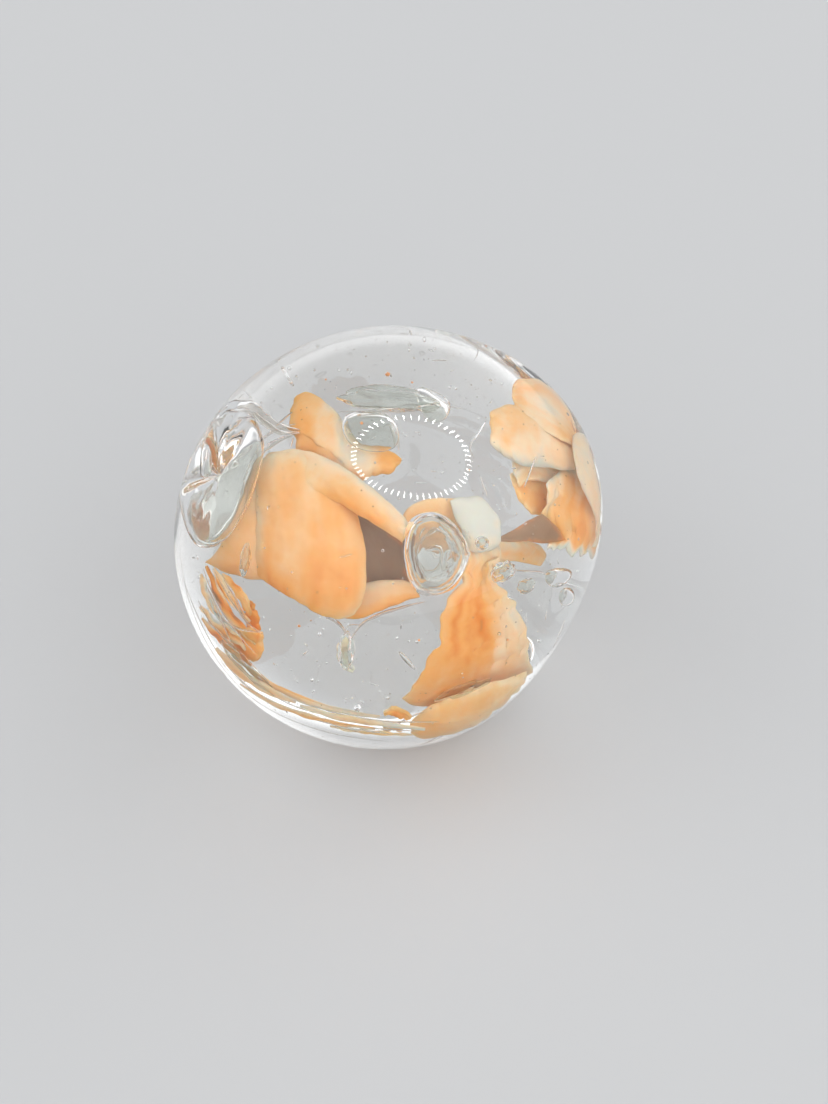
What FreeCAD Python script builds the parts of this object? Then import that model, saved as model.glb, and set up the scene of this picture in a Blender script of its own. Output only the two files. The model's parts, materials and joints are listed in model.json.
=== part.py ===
import FreeCAD, Part
import math
import os

# Hand-made glass paperweight: a clear, slightly out-of-round ball with a ground flat base, a flower of opal glass
# petals laid round a clear core gather, and air bubbles trapped under the outer gather.
# Millimetres. +Z up, -Y towards the front of the flower, origin at the centre of the ground base.

os.makedirs("parts", exist_ok=True)
V = FreeCAD.Vector
doc = FreeCAD.newDocument("paperweight")

# ---------------------------------------------------------------- driving dimensions
sheet = doc.addObject("Spreadsheet::Sheet", "dims")
DIMS = [
    ("ball_radius", 38.00),          # half the ball's width
    ("ball_half_height", 37.60),    # vertical semi-axis of the ball
    ("centre_height", 31.9709),      # ball centre above the ground base
    ("base_bevel", 0.6),            # polished edge round the ground base
    ("shoulder_rise", 0.048),       # out-of-round: share of the radius added in that direction ...
    ("shoulder_spread", 24.0),      # ... and the angle over which it fades, degrees
    ("side_rise", -0.062),
    ("side_spread", 21.0),
    ("back_rise", -0.010),
    ("back_spread", 28.0),
    ("core_upper_radius", 11.5),    # clear core gather: two rounded ends joined by a cone
    ("core_upper_height", 31.5),
    ("core_lower_radius", 9.0),
    ("core_lower_height", 19.0),
    ("petal_thickness", 1.0),       # factor on every petal's thickness
    ("petal_rim", 0.36),            # thickness at a petal's free edge
    ("frit_radius", 0.34),          # half the size of a loose grain of colour
    ("bubble_centre_width", 4.97),
    ("bubble_centre_height", 6.07),
    ("bubble_centre_depth", 4.20),
    ("bubble_small_width", 1.06),
    ("bubble_small_height", 1.01),
    ("bubble_small_depth", 0.75),
    ("bubble_pinched_width", 1.94),
    ("bubble_pinched_height", 1.33),
    ("bubble_pinched_depth", 1.00),
    ("bubble_flank_width", 5.68),
    ("bubble_flank_height", 9.93),
    ("bubble_flank_depth", 1.40),
    ("bubble_upper_width", 6.60),
    ("bubble_upper_height", 2.02),
    ("bubble_upper_depth", 0.90),
    ("bubble_almond_width", 0.83),
    ("bubble_almond_height", 2.33),
    ("bubble_almond_depth", 0.45),
    ("bubble_seam_width", 6.14),
    ("bubble_seam_height", 0.89),
    ("bubble_seam_depth", 0.45),
    ("bubble_stub_width", 1.14),
    ("bubble_stub_height", 2.73),
    ("bubble_stub_depth", 0.70),
    ("bubble_lens_width", 1.41),
    ("bubble_lens_height", 1.10),
    ("bubble_lens_depth", 0.45),
    ("bubble_glint_width", 3.74),
    ("bubble_glint_height", 0.96),
    ("bubble_glint_depth", 0.35),
    ("bubble_low_width", 6.00),
    ("bubble_low_height", 1.73),
    ("bubble_low_depth", 0.50),
]
for row, (alias, value) in enumerate(DIMS, start=1):
    sheet.set("A%d" % row, alias)
    sheet.set("B%d" % row, str(value))
    sheet.setAlias("B%d" % row, alias)
doc.recompute()


def dim(alias):
    return float(sheet.get(alias))


def origin_plane(body, role):
    return [f for f in body.Origin.OriginFeatures if f.Role == role][0]


CENTRE = V(0, 0, dim("centre_height"))

# ---------------------------------------------------------------- outer gather, as blown and ground
# The ball was shaped by hand: a fuller shoulder at the upper right, a flatter side at the lower right and a slightly
# flatter back. Its skin is a closed net of curves from the top down to the bevel of the ground base.
HUMPS = [
    (V(0.8290, 0.3594, 0.4284), dim("shoulder_rise"), dim("shoulder_spread")),
    (V(0.8572, -0.3311, -0.3945), dim("side_rise"), dim("side_spread")),
    (V(-0.5000, 0.5567, 0.6634), dim("back_rise"), dim("back_spread")),
]
RINGS, ROUND = 14, 24


def ball_point(polar, azimuth):
    d = V(math.sin(polar) * math.cos(azimuth), math.sin(polar) * math.sin(azimuth), math.cos(polar))
    f = 1.0
    for axis, rise, spread in HUMPS:
        off = math.degrees(math.acos(max(-1.0, min(1.0, d.dot(axis)))))
        f += rise * math.exp(-off ** 2 / (2 * spread ** 2))
    r = math.hypot(math.hypot(d.x, d.y) / dim("ball_radius"), d.z / dim("ball_half_height"))
    return CENTRE + d * (f / r)


def base_polar(azimuth, height):
    lo, hi = math.pi / 2, math.pi
    for _ in range(50):
        mid = (lo + hi) / 2
        if ball_point(mid, azimuth).z > height:
            lo = mid
        else:
            hi = mid
    return (lo + hi) / 2


def ring_curve(points):
    """closed smooth curve through points that go once round the axis"""
    c = Part.BSplineCurve()
    c.interpolate(Points=points, PeriodicFlag=True, Parameters=[float(k) for k in range(len(points) + 1)])
    return c


bevel = dim("base_bevel")
meridians = []
for i in range(ROUND):
    a = 2 * math.pi * i / ROUND
    end = base_polar(a, bevel)
    line = [ball_point(end * k / RINGS, a) for k in range(RINGS + 1)]
    step = [line[1] - line[0], line[-1] - line[-2]]
    c = Part.BSplineCurve()
    c.interpolate(Points=line, Parameters=[float(k) for k in range(RINGS + 1)],
                  InitialTangent=V(math.cos(a), math.sin(a), 0) * step[0].Length,
                  FinalTangent=(ball_point(end + 0.01, a) - ball_point(end - 0.01, a)) * (end / RINGS / 0.02),
                  Scale=False)
    meridians.append(c)
v_knots, v_mults = meridians[0].getKnots(), meridians[0].getMultiplicities()
assert all(m.getKnots() == v_knots and m.getMultiplicities() == v_mults for m in meridians)
rows = []
for j in range(2, meridians[0].NbPoles + 1):
    ring = ring_curve([m.getPole(j) for m in meridians])
    u_knots, u_mults = ring.getKnots(), ring.getMultiplicities()
    rows.append(ring.getPoles())
rows.insert(0, [meridians[0].getPole(1)] * len(rows[0]))      # every meridian starts at the top
ball_skin = Part.BSplineSurface()
ball_skin.buildFromPolesMultsKnots([[rows[j][i] for j in range(len(rows))] for i in range(len(rows[0]))],
                              u_mults, v_mults, u_knots, v_knots, True, False, 3, 3)
rim = ball_skin.vIso(v_knots[-1])
foot = ring_curve([V(m.EndPoint.x, m.EndPoint.y, 0) * (1 - bevel / math.hypot(m.EndPoint.x, m.EndPoint.y)) for m in meridians])
foot_edge, rim_edge = foot.toShape(), rim.toShape()
faces = [ball_skin.toShape(), Part.makeRuledSurface(rim_edge, foot_edge), Part.Face(Part.Wire([foot_edge]))]
shell = Part.makeShell(faces)
shell.sewShape(1e-3)
solid = Part.Solid(Part.Shell(shell.Faces))
if solid.Volume < 0:
    solid.reverse()
blank = doc.addObject("Part::Feature", "casing_blank")
blank.Shape = solid
doc.recompute()
assert blank.Shape.isValid() and blank.Shape.isClosed()

# ---------------------------------------------------------------- clear core gather
core = doc.addObject("PartDesign::Body", "clear_core")
core.Label = "clear_core"
sk = core.newObject("Sketcher::SketchObject", "core_profile")
sk.AttachmentSupport = [(origin_plane(core, "XZ_Plane"), "")]
sk.MapMode = "FlatFace"
ru, hu, rl, hl = (dim(a) for a in ("core_upper_radius", "core_upper_height", "core_lower_radius", "core_lower_height"))
tilt = math.asin((ru - rl) / (hu - hl))          # slope of the tangent line between the two ends
up_t = V(ru * math.cos(tilt), hu - ru * math.sin(tilt), 0)
lo_t = V(rl * math.cos(tilt), hl - rl * math.sin(tilt), 0)
zdir = V(0, 0, 1)
sk.addGeometry(Part.ArcOfCircle(Part.Circle(V(0, hu, 0), zdir, ru), -tilt, math.pi / 2), False)
sk.addGeometry(Part.LineSegment(up_t, lo_t), False)
sk.addGeometry(Part.ArcOfCircle(Part.Circle(V(0, hl, 0), zdir, rl), -math.pi / 2, -tilt), False)
sk.addGeometry(Part.LineSegment(V(0, hl - rl, 0), V(0, hu + ru, 0)), False)
C = Sketcher.Constraint
sk.addConstraint([
    C("PointOnObject", 0, 3, -2), C("PointOnObject", 2, 3, -2),
    C("Tangent", 0, 1, 1, 1), C("Tangent", 1, 2, 2, 2),
    C("Coincident", 0, 2, 3, 2), C("Coincident", 2, 1, 3, 1),
    C("PointOnObject", 3, 1, -2), C("PointOnObject", 3, 2, -2),
])
names = {}
for key, c in (("ru", C("Radius", 0, ru)), ("rl", C("Radius", 2, rl)),
               ("hu", C("DistanceY", -1, 1, 0, 3, hu)), ("hl", C("DistanceY", -1, 1, 2, 3, hl))):
    names[key] = sk.addConstraint(c)
sk.setExpression("Constraints[%d]" % names["ru"], "dims.core_upper_radius")
sk.setExpression("Constraints[%d]" % names["rl"], "dims.core_lower_radius")
sk.setExpression("Constraints[%d]" % names["hu"], "dims.core_upper_height")
sk.setExpression("Constraints[%d]" % names["hl"], "dims.core_lower_height")
rev = core.newObject("PartDesign::Revolution", "core_turned")
rev.Profile = sk
rev.ReferenceAxis = (sk, ["V_Axis"])
rev.Angle = 360.0
doc.recompute()
assert core.Shape.Volume > 4 / 3 * math.pi * ru ** 3 * 0.9

# ---------------------------------------------------------------- air bubbles, as voids in the outer gather
# name: centre, axis of the width, axis of the height
BUBBLES = {
    "centre": (V(7.42, -19.86, 45.22), V(0.9999, 0.0105, -0.0117), V(-0.0023, -0.6362, -0.7716)),
    "small": (V(13.93, -17.45, 45.29), V(0.9999, 0.0132, -0.0085), V(0.0018, -0.6361, -0.7716)),
    "pinched": (V(16.64, -17.01, 39.63), V(0.8848, 0.3069, 0.3507), V(0.4658, -0.5573, -0.6874)),
    "flank": (V(-25.11, -7.55, 48.14), V(0.9513, -0.1846, -0.2469), V(-0.3079, -0.6089, -0.7310)),
    "upper": (V(0.61, -1.25, 58.94), V(0.9970, -0.0365, -0.0686), V(-0.0762, -0.6350, -0.7687)),
    "almond": (V(-20.32, -15.57, 40.55), V(0.9947, -0.0529, -0.0878), V(-0.1014, -0.6341, -0.7665)),
    "seam": (V(21.73, -14.17, 44.94), V(0.9821, 0.1310, 0.1351), V(0.1876, -0.6221, -0.7601)),
    "stub": (V(-5.65, -23.26, 30.27), V(0.9995, 0.0290, 0.0114), V(0.0273, -0.6356, -0.7715)),
    "lens": (V(20.12, -17.24, 37.18), V(0.9001, 0.2875, 0.3273), V(0.4353, -0.5677, -0.6987)),
    "glint": (V(10.94, -24.36, 23.53), V(0.9351, 0.2364, 0.2640), V(0.3540, -0.5904, -0.7253)),
    "low": (V(-21.75, -23.98, 25.58), V(0.7330, -0.4239, -0.5320), V(-0.6801, -0.4746, -0.5588)),
}
voids = []
for name, (centre, width_axis, height_axis) in BUBBLES.items():
    e = doc.addObject("Part::Ellipsoid", "bubble_" + name)
    e.setExpression("Radius2", "dims.bubble_%s_width" % name)
    e.setExpression("Radius3", "dims.bubble_%s_height" % name)
    e.setExpression("Radius1", "dims.bubble_%s_depth" % name)
    e.Placement = FreeCAD.Placement(centre, FreeCAD.Rotation(width_axis, height_axis, width_axis.cross(height_axis), "XYZ"))
    voids.append(e)
doc.recompute()

# ---------------------------------------------------------------- petals
# Each petal is a sheet of opal glass drawn out by hand: no plane, cylinder or extrusion fits it. It is given by the
# net of points that its middle surface follows, rows from top to bottom, and the thickness at its middle. It thins towards
# its free edges. Two bicubic skins and four ruled edge faces close it into one solid.


def clamped(count, degree=3):
    """Knots and multiplicities of a clamped uniform spline with this many poles."""
    inner = count - degree - 1
    knots = [float(k) for k in range(inner + 2)]
    return knots, [degree + 1] + [1] * inner + [degree + 1]


def skin(points):
    """Smooth bicubic sheet over a net of poles: it stays inside the net, so it can't ripple."""
    s = Part.BSplineSurface()
    uk, um = clamped(len(points))
    vk, vm = clamped(len(points[0]))
    s.buildFromPolesMultsKnots(points, um, vm, uk, vk, False, False, 3, 3)
    return s


def sheet_solid(grid, thickness):
    rows, cols = len(grid), len(grid[0])
    rim = dim("petal_rim")
    thick = thickness * dim("petal_thickness")
    mid = [[V(*p) for p in row] for row in grid]
    normals = []
    for j in range(rows):
        line = []
        for i in range(cols):
            du = mid[j][min(i + 1, cols - 1)] - mid[j][max(i - 1, 0)]
            dv = mid[min(j + 1, rows - 1)][i] - mid[max(j - 1, 0)][i]
            n = du.cross(dv)
            line.append(n)
        normals.append(line)
    # smooth the normals a little, then scale them to unit length
    unit = []
    for j in range(rows):
        line = []
        for i in range(cols):
            n = V(0, 0, 0)
            for jj in range(max(0, j - 1), min(rows, j + 2)):
                for ii in range(max(0, i - 1), min(cols, i + 2)):
                    k = V(normals[jj][ii])
                    if k.Length > 1e-6:
                        k.normalize()
                        n = n + k
            n.normalize()
            line.append(n)
        unit.append(line)
    front, back = [], []
    for j in range(rows):
        fl, bl = [], []
        for i in range(cols):
            u, v = i / (cols - 1.0), j / (rows - 1.0)
            swell = (1 - abs(2 * u - 1) ** 3) * (1 - abs(2 * v - 1) ** 3)
            half = (rim + (thick - rim) * swell) / 2
            fl.append(mid[j][i] + unit[j][i] * half)
            bl.append(mid[j][i] - unit[j][i] * half)
        front.append(fl)
        back.append(bl)
    sf, sb = skin(front), skin(back)
    faces = [sf.toShape(), sb.toShape()]
    fu0, fu1, fv0, fv1 = sf.bounds()
    bu0, bu1, bv0, bv1 = sb.bounds()
    pairs = [(sf.uIso(fu0), sb.uIso(bu0)), (sf.uIso(fu1), sb.uIso(bu1)),
             (sf.vIso(fv0), sb.vIso(bv0)), (sf.vIso(fv1), sb.vIso(bv1))]
    for a, b in pairs:
        faces.append(Part.makeRuledSurface(a.toShape(), b.toShape()))
    shell = Part.Compound(faces)
    shell.sewShape()
    shells = shell.Shells
    assert len(shells) == 1, "a petal's skins did not close"
    solid = Part.Solid(shells[0])
    if solid.Volume < 0:
        solid.reverse()
    return solid


PETALS = {
    # big rounded front lobe of the left petal, bulging towards the front
    "petal_left": (2.0, [
        [(-17.31, -3.76, 45.02), (-15.96, -5.56, 47.02), (-14.45, -7.05, 48.41), (-12.86, -8.17, 49.36), (-11.25, -9.14, 49.83), (-9.69, -10.03, 49.78), (-8.17, -10.7, 49.37), (-6.72, -11.15, 48.61), (-5.39, -11.42, 47.48)],
        [(-17.68, -5.77, 44.69), (-16.21, -7.96, 46.81), (-14.58, -9.71, 48.24), (-12.85, -11, 49.16), (-11.07, -12.02, 49.56), (-9.33, -12.83, 49.43), (-7.62, -13.34, 48.9), (-5.97, -13.5, 48.02), (-4.43, -13.33, 46.82)],
        [(-17.84, -7.58, 44.11), (-16.3, -10.05, 46.24), (-14.58, -11.99, 47.62), (-12.76, -13.41, 48.47), (-10.9, -14.47, 48.78), (-9.02, -15.22, 48.58), (-7.17, -15.6, 47.95), (-5.39, -15.53, 47.01), (-3.7, -15.02, 45.81)],
        [(-17.9, -9.1, 43.25), (-16.31, -11.79, 45.3), (-14.55, -13.87, 46.59), (-12.69, -15.4, 47.32), (-10.78, -16.5, 47.54), (-8.82, -17.19, 47.28), (-6.88, -17.49, 46.58), (-4.99, -17.25, 45.63), (-3.19, -16.47, 44.5)],
        [(-17.87, -10.32, 42.12), (-16.27, -13.16, 44.03), (-14.49, -15.34, 45.19), (-12.63, -16.95, 45.78), (-10.7, -18.08, 45.89), (-8.69, -18.75, 45.59), (-6.7, -18.99, 44.85), (-4.74, -18.64, 43.93), (-2.86, -17.68, 42.93)],
        [(-17.73, -11.28, 40.77), (-16.13, -14.19, 42.48), (-14.38, -16.42, 43.46), (-12.54, -18.07, 43.88), (-10.63, -19.23, 43.87), (-8.6, -19.88, 43.54), (-6.57, -20.1, 42.77), (-4.57, -19.69, 41.92), (-2.63, -18.64, 41.13)],
        [(-17.55, -11.88, 39.15), (-16.02, -14.78, 40.59), (-14.34, -17, 41.35), (-12.6, -18.67, 41.58), (-10.76, -19.82, 41.44), (-8.78, -20.48, 41.09), (-6.78, -20.7, 40.33), (-4.8, -20.31, 39.61), (-2.86, -19.27, 39.1)],
        [(-17.19, -12.24, 37.37), (-15.79, -14.99, 38.47), (-14.27, -17.1, 38.95), (-12.7, -18.69, 38.95), (-11.02, -19.81, 38.66), (-9.17, -20.47, 38.31), (-7.29, -20.71, 37.6), (-5.41, -20.4, 37.07), (-3.54, -19.5, 36.95)],
        [(-16.56, -12.41, 35.56), (-15.36, -14.81, 36.19), (-14.08, -16.67, 36.32), (-12.77, -18.08, 36.03), (-11.35, -19.09, 35.58), (-9.73, -19.74, 35.24), (-8.06, -20.03, 34.6), (-6.38, -19.87, 34.32), (-4.69, -19.25, 34.7)],
    ]),
    # fold-over lip of the left petal, running to the centre bubble
    "petal_left_lip": (1.5, [
        [(-17.79, -2.97, 47.81), (-16.04, -3.21, 49.99), (-13.7, -4.94, 51.75), (-11.27, -6.5, 52.92), (-8.96, -8.15, 53.43), (-6.76, -9.89, 53.34), (-4.65, -11.41, 52.85), (-2.66, -12.72, 51.98), (-0.69, -13.75, 50.84), (1.18, -14.56, 49.4), (2.88, -15.19, 47.62)],
        [(-18.6, -5.91, 48.7), (-16.67, -6.81, 50.84), (-14.26, -8.63, 52.34), (-11.79, -9.89, 53.42), (-9.43, -10.97, 53.98), (-7.13, -12.31, 53.88), (-4.95, -13.58, 53.3), (-2.9, -14.69, 52.31), (-0.86, -15.47, 51.07), (1.08, -16.02, 49.52), (2.85, -16.38, 47.63)],
        [(-18.83, -8.5, 49.04), (-16.77, -9.84, 50.93), (-14.37, -11.67, 52.12), (-11.94, -12.63, 53.16), (-9.61, -13.17, 53.84), (-7.27, -14.13, 53.8), (-5.1, -15.17, 53.17), (-3.04, -16.1, 52.11), (-0.98, -16.68, 50.83), (0.96, -17.04, 49.24), (2.76, -17.17, 47.32)],
        [(-18.73, -10.5, 48.83), (-16.57, -12.17, 50.35), (-14.24, -13.95, 51.2), (-11.9, -14.62, 52.21), (-9.66, -14.69, 53.08), (-7.33, -15.3, 53.13), (-5.19, -16.15, 52.5), (-3.16, -16.94, 51.41), (-1.13, -17.37, 50.15), (0.79, -17.58, 48.58), (2.59, -17.59, 46.7)],
        [(-17.97, -12.14, 48.39), (-15.79, -13.95, 49.38), (-13.61, -15.58, 49.81), (-11.44, -15.95, 50.77), (-9.36, -15.56, 51.82), (-7.12, -15.85, 51.98), (-5.09, -16.51, 51.35), (-3.17, -17.19, 50.26), (-1.23, -17.51, 49.05), (0.6, -17.66, 47.56), (2.33, -17.61, 45.78)],
    ]),
    # inner wall of the left petal, deep in the hollow under the lip
    "petal_left_inner": (1.2, [
        [(-5.57, -8.62, 45.52), (-4.25, -9.59, 45.28), (-2.9, -10.32, 44.88), (-1.54, -10.85, 44.3), (-0.22, -11.22, 43.53), (1.09, -11.39, 42.59), (2.38, -11.35, 41.49)],
        [(-5.05, -10.42, 43.08), (-3.81, -10.99, 42.67), (-2.55, -11.38, 42.24), (-1.3, -11.64, 41.76), (-0.07, -11.82, 41.16), (1.15, -11.88, 40.49), (2.36, -11.82, 39.75)],
        [(-4.45, -12.1, 40.57), (-3.29, -12.38, 40.09), (-2.11, -12.5, 39.73), (-0.94, -12.54, 39.39), (0.22, -12.55, 38.96), (1.36, -12.48, 38.53), (2.49, -12.34, 38.1)],
        [(-4.21, -13.53, 37.86), (-3.02, -13.67, 37.46), (-1.83, -13.66, 37.27), (-0.63, -13.55, 37.13), (0.55, -13.4, 36.91), (1.72, -13.18, 36.7), (2.87, -12.87, 36.51)],
        [(-4.59, -14.62, 34.89), (-3.25, -14.82, 34.73), (-1.91, -14.83, 34.83), (-0.57, -14.68, 34.99), (0.76, -14.42, 35.01), (2.07, -14.01, 35.01), (3.36, -13.46, 35.02)],
    ]),
    # strip that closes the hollow at the bottom
    "petal_left_hem": (1.1, [
        [(-3.81, -15.83, 36.12), (-2.65, -15.73, 36.89), (-1.38, -15.7, 37.25), (-0.05, -15.69, 37.39), (1.29, -15.67, 37.37), (2.55, -15.65, 37.18), (3.74, -15.76, 36.41)],
        [(-4.57, -16.51, 34.95), (-3.16, -16.67, 35.59), (-1.71, -16.75, 36.05), (-0.23, -16.72, 36.46), (1.24, -16.61, 36.71), (2.69, -16.46, 36.73), (4.1, -16.33, 36.26)],
        [(-5.38, -16.85, 33.57), (-3.74, -17.28, 34.07), (-2.11, -17.51, 34.63), (-0.48, -17.52, 35.35), (1.13, -17.37, 35.89), (2.75, -17.11, 36.13), (4.38, -16.76, 35.96)],
        [(-6.23, -16.78, 31.95), (-4.37, -17.52, 32.31), (-2.56, -17.94, 33), (-0.8, -18.06, 34.05), (0.94, -17.93, 34.9), (2.74, -17.59, 35.37), (4.58, -17.05, 35.49)],
    ]),
    # flank of the left petal, turned to the left
    "petal_left_side": (1.4, [
        [(-18.47, -2.44, 44.58), (-18.08, -2.02, 44.37), (-17.68, -1.61, 44.07), (-17.27, -1.21, 43.69), (-16.85, -0.81, 43.22), (-16.42, -0.39, 42.66)],
        [(-19.18, -4.98, 44.36), (-18.64, -4.64, 44.13), (-18.09, -4.28, 43.84), (-17.53, -3.92, 43.49), (-16.97, -3.52, 43.08), (-16.41, -3.11, 42.6)],
        [(-19.93, -6.97, 43.62), (-19.23, -6.72, 43.37), (-18.53, -6.43, 43.09), (-17.81, -6.1, 42.75), (-17.09, -5.7, 42.38), (-16.38, -5.27, 41.95)],
        [(-20.78, -8.42, 42.41), (-19.92, -8.29, 42.17), (-19.05, -8.07, 41.89), (-18.16, -7.78, 41.56), (-17.28, -7.37, 41.21), (-16.4, -6.9, 40.8)],
        [(-21.73, -9.3, 40.81), (-20.68, -9.36, 40.6), (-19.62, -9.28, 40.35), (-18.54, -9.06, 40.05), (-17.46, -8.66, 39.72), (-16.38, -8.15, 39.31)],
        [(-22.78, -9.53, 38.78), (-21.52, -9.88, 38.67), (-20.24, -10, 38.49), (-18.93, -9.9, 38.23), (-17.63, -9.55, 37.93), (-16.32, -9.02, 37.52)],
        [(-23.81, -9.12, 36.33), (-22.37, -9.86, 36.38), (-20.88, -10.23, 36.29), (-19.35, -10.27, 36.07), (-17.82, -9.96, 35.79), (-16.29, -9.36, 35.33)],
        [(-24.74, -7.87, 33.34), (-23.17, -9.15, 33.66), (-21.5, -9.86, 33.71), (-19.76, -10.07, 33.55), (-18, -9.78, 33.26), (-16.23, -9.05, 32.7)],
    ]),
    # crumpled fragment low on the left side
    "petal_left_tail": (1.0, [
        [(-25.74, -12.11, 34.92), (-24.33, -13.85, 35.88), (-22.86, -15.21, 36.61), (-21.34, -16.25, 37.19), (-19.86, -17.03, 37.37), (-18.41, -17.62, 37.12)],
        [(-26.03, -12.51, 32.74), (-24.38, -14.28, 33.72), (-22.7, -15.67, 34.52), (-20.99, -16.79, 35.2), (-19.32, -17.63, 35.6), (-17.71, -18.27, 35.7)],
        [(-25.99, -12.84, 30.58), (-24.25, -14.51, 31.47), (-22.51, -15.86, 32.24), (-20.75, -17, 32.96), (-19.05, -17.89, 33.55), (-17.41, -18.6, 33.98)],
        [(-25.45, -13.52, 28.74), (-23.76, -14.85, 29.35), (-22.09, -16.01, 29.97), (-20.42, -17.09, 30.63), (-18.82, -17.99, 31.34), (-17.27, -18.76, 32.07)],
        [(-24.62, -14.15, 27.03), (-23.05, -15.06, 27.27), (-21.53, -16, 27.68), (-20.01, -16.99, 28.25), (-18.57, -17.92, 29.05), (-17.2, -18.81, 30.07)],
        [(-23.54, -14.65, 25.43), (-22.17, -15.08, 25.23), (-20.86, -15.73, 25.36), (-19.56, -16.61, 25.78), (-18.36, -17.61, 26.65), (-17.23, -18.68, 27.97)],
        [(-22.18, -15.14, 24.03), (-21.08, -14.98, 23.29), (-20.05, -15.24, 23.05), (-19.03, -15.93, 23.22), (-18.16, -17, 24.12), (-17.36, -18.32, 25.72)],
    ]),
    # petal behind the left one, drawn out to a point towards the right
    "petal_back_left": (1.6, [
        [(-11.7, 8.27, 48.67), (-10.26, 6.81, 50.71), (-8.84, 4.28, 52.41), (-7.57, 1.73, 53.39), (-6.44, -0.61, 53.75), (-5.57, -2.78, 53.59), (-4.51, -4.5, 53.15), (-3, -5.36, 52.66), (-1.18, -5.24, 52.15), (0.49, -5.18, 51.3), (2.04, -5.28, 50.11)],
        [(-12.85, 5.51, 49.69), (-11.31, 3.9, 51.59), (-9.76, 1.6, 52.96), (-8.36, -0.68, 53.68), (-7.08, -2.76, 53.86), (-5.99, -4.59, 53.59), (-4.73, -5.89, 53.12), (-3.1, -6.45, 52.61), (-1.24, -6.17, 52.07), (0.47, -5.81, 51.22), (2.04, -5.41, 50.07)],
        [(-13.12, 2.53, 50.46), (-11.53, 0.99, 52.02), (-9.95, -0.97, 53.06), (-8.51, -2.92, 53.53), (-7.17, -4.71, 53.55), (-5.96, -6.2, 53.22), (-4.58, -7.09, 52.78), (-2.94, -7.38, 52.32), (-1.12, -6.96, 51.81), (0.54, -6.35, 51.04), (2.04, -5.54, 50.03)],
        [(-13.04, 0.03, 50.56), (-11.47, -1.42, 51.81), (-9.9, -3.07, 52.59), (-8.46, -4.72, 52.88), (-7.11, -6.25, 52.81), (-5.8, -7.45, 52.49), (-4.34, -8, 52.16), (-2.71, -8.06, 51.79), (-0.97, -7.57, 51.37), (0.61, -6.79, 50.77), (2.03, -5.66, 49.99)],
        [(-12.59, -2.08, 50.23), (-11.08, -3.37, 51.14), (-9.57, -4.72, 51.68), (-8.18, -6.09, 51.84), (-6.85, -7.38, 51.7), (-5.49, -8.33, 51.44), (-4, -8.6, 51.26), (-2.42, -8.5, 51.05), (-0.79, -7.99, 50.78), (0.68, -7.13, 50.4), (1.98, -5.78, 49.96)],
        [(-12.25, -3.6, 49.27), (-10.8, -4.76, 49.88), (-9.35, -5.84, 50.26), (-8.01, -6.98, 50.33), (-6.7, -8.08, 50.19), (-5.28, -8.84, 50.04), (-3.73, -8.9, 50.09), (-2.2, -8.7, 50.08), (-0.67, -8.24, 50.02), (0.71, -7.38, 49.95), (1.91, -5.9, 49.93)],
    ]),
    # arched sheet behind the centre bubble
    "petal_throat": (1.2, [
        [(2.2, -12.13, 44.81), (2.68, -11.34, 45.72), (3.54, -10.65, 46.33), (4.67, -10.09, 46.64), (5.91, -9.66, 46.7), (7.18, -9.31, 46.56), (8.44, -8.98, 46.27), (9.7, -8.65, 45.83)],
        [(2.36, -12.82, 43.76), (2.99, -12.11, 44.51), (3.9, -11.5, 44.99), (5.03, -11.01, 45.19), (6.24, -10.6, 45.17), (7.48, -10.24, 44.99), (8.69, -9.85, 44.71), (9.88, -9.37, 44.38)],
        [(2.63, -13.44, 42.7), (3.37, -12.82, 43.3), (4.33, -12.29, 43.64), (5.44, -11.86, 43.72), (6.61, -11.48, 43.63), (7.78, -11.12, 43.41), (8.93, -10.68, 43.16), (10.05, -10.11, 42.96)],
        [(3.01, -14, 41.64), (3.85, -13.46, 42.07), (4.83, -13, 42.26), (5.91, -12.64, 42.22), (7.01, -12.29, 42.05), (8.11, -11.94, 41.8), (9.18, -11.49, 41.61), (10.21, -10.86, 41.56)],
        [(3.53, -14.48, 40.56), (4.44, -14.02, 40.81), (5.43, -13.63, 40.85), (6.44, -13.33, 40.68), (7.46, -13.03, 40.44), (8.47, -12.69, 40.17), (9.43, -12.26, 40.04), (10.36, -11.63, 40.17)],
    ]),
    # opal white crest at the top of the front right petal
    "petal_front_crest": (1.5, [
        [(8.77, -10.67, 47.26), (10.04, -10.1, 47.67), (11.4, -9.74, 47.42), (12.74, -9.22, 46.8), (13.87, -8.86, 45.69), (14.7, -8.71, 44.19)],
        [(9.15, -11.88, 46.61), (10.49, -11.62, 47.06), (11.9, -11.33, 46.86), (13.28, -10.75, 46.25), (14.45, -10.08, 45.16), (15.32, -9.34, 43.64)],
        [(9.59, -12.84, 45.78), (10.91, -12.81, 46.16), (12.29, -12.59, 45.98), (13.61, -11.99, 45.4), (14.75, -11.13, 44.41), (15.61, -10.01, 43.03)],
        [(10.1, -13.55, 44.77), (11.33, -13.67, 44.99), (12.6, -13.49, 44.76), (13.82, -12.91, 44.21), (14.87, -11.95, 43.37), (15.69, -10.62, 42.24)],
        [(10.55, -14.07, 43.59), (11.66, -14.23, 43.55), (12.8, -14.03, 43.25), (13.88, -13.46, 42.72), (14.83, -12.47, 42.09), (15.61, -11.05, 41.32)],
        [(10.97, -14.38, 42.24), (11.9, -14.47, 41.87), (12.85, -14.21, 41.45), (13.76, -13.66, 40.97), (14.58, -12.71, 40.61), (15.3, -11.35, 40.33)],
    ]),
    # long leaf of the front right petal, widening downwards
    "petal_front_right": (1.9, [
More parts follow.
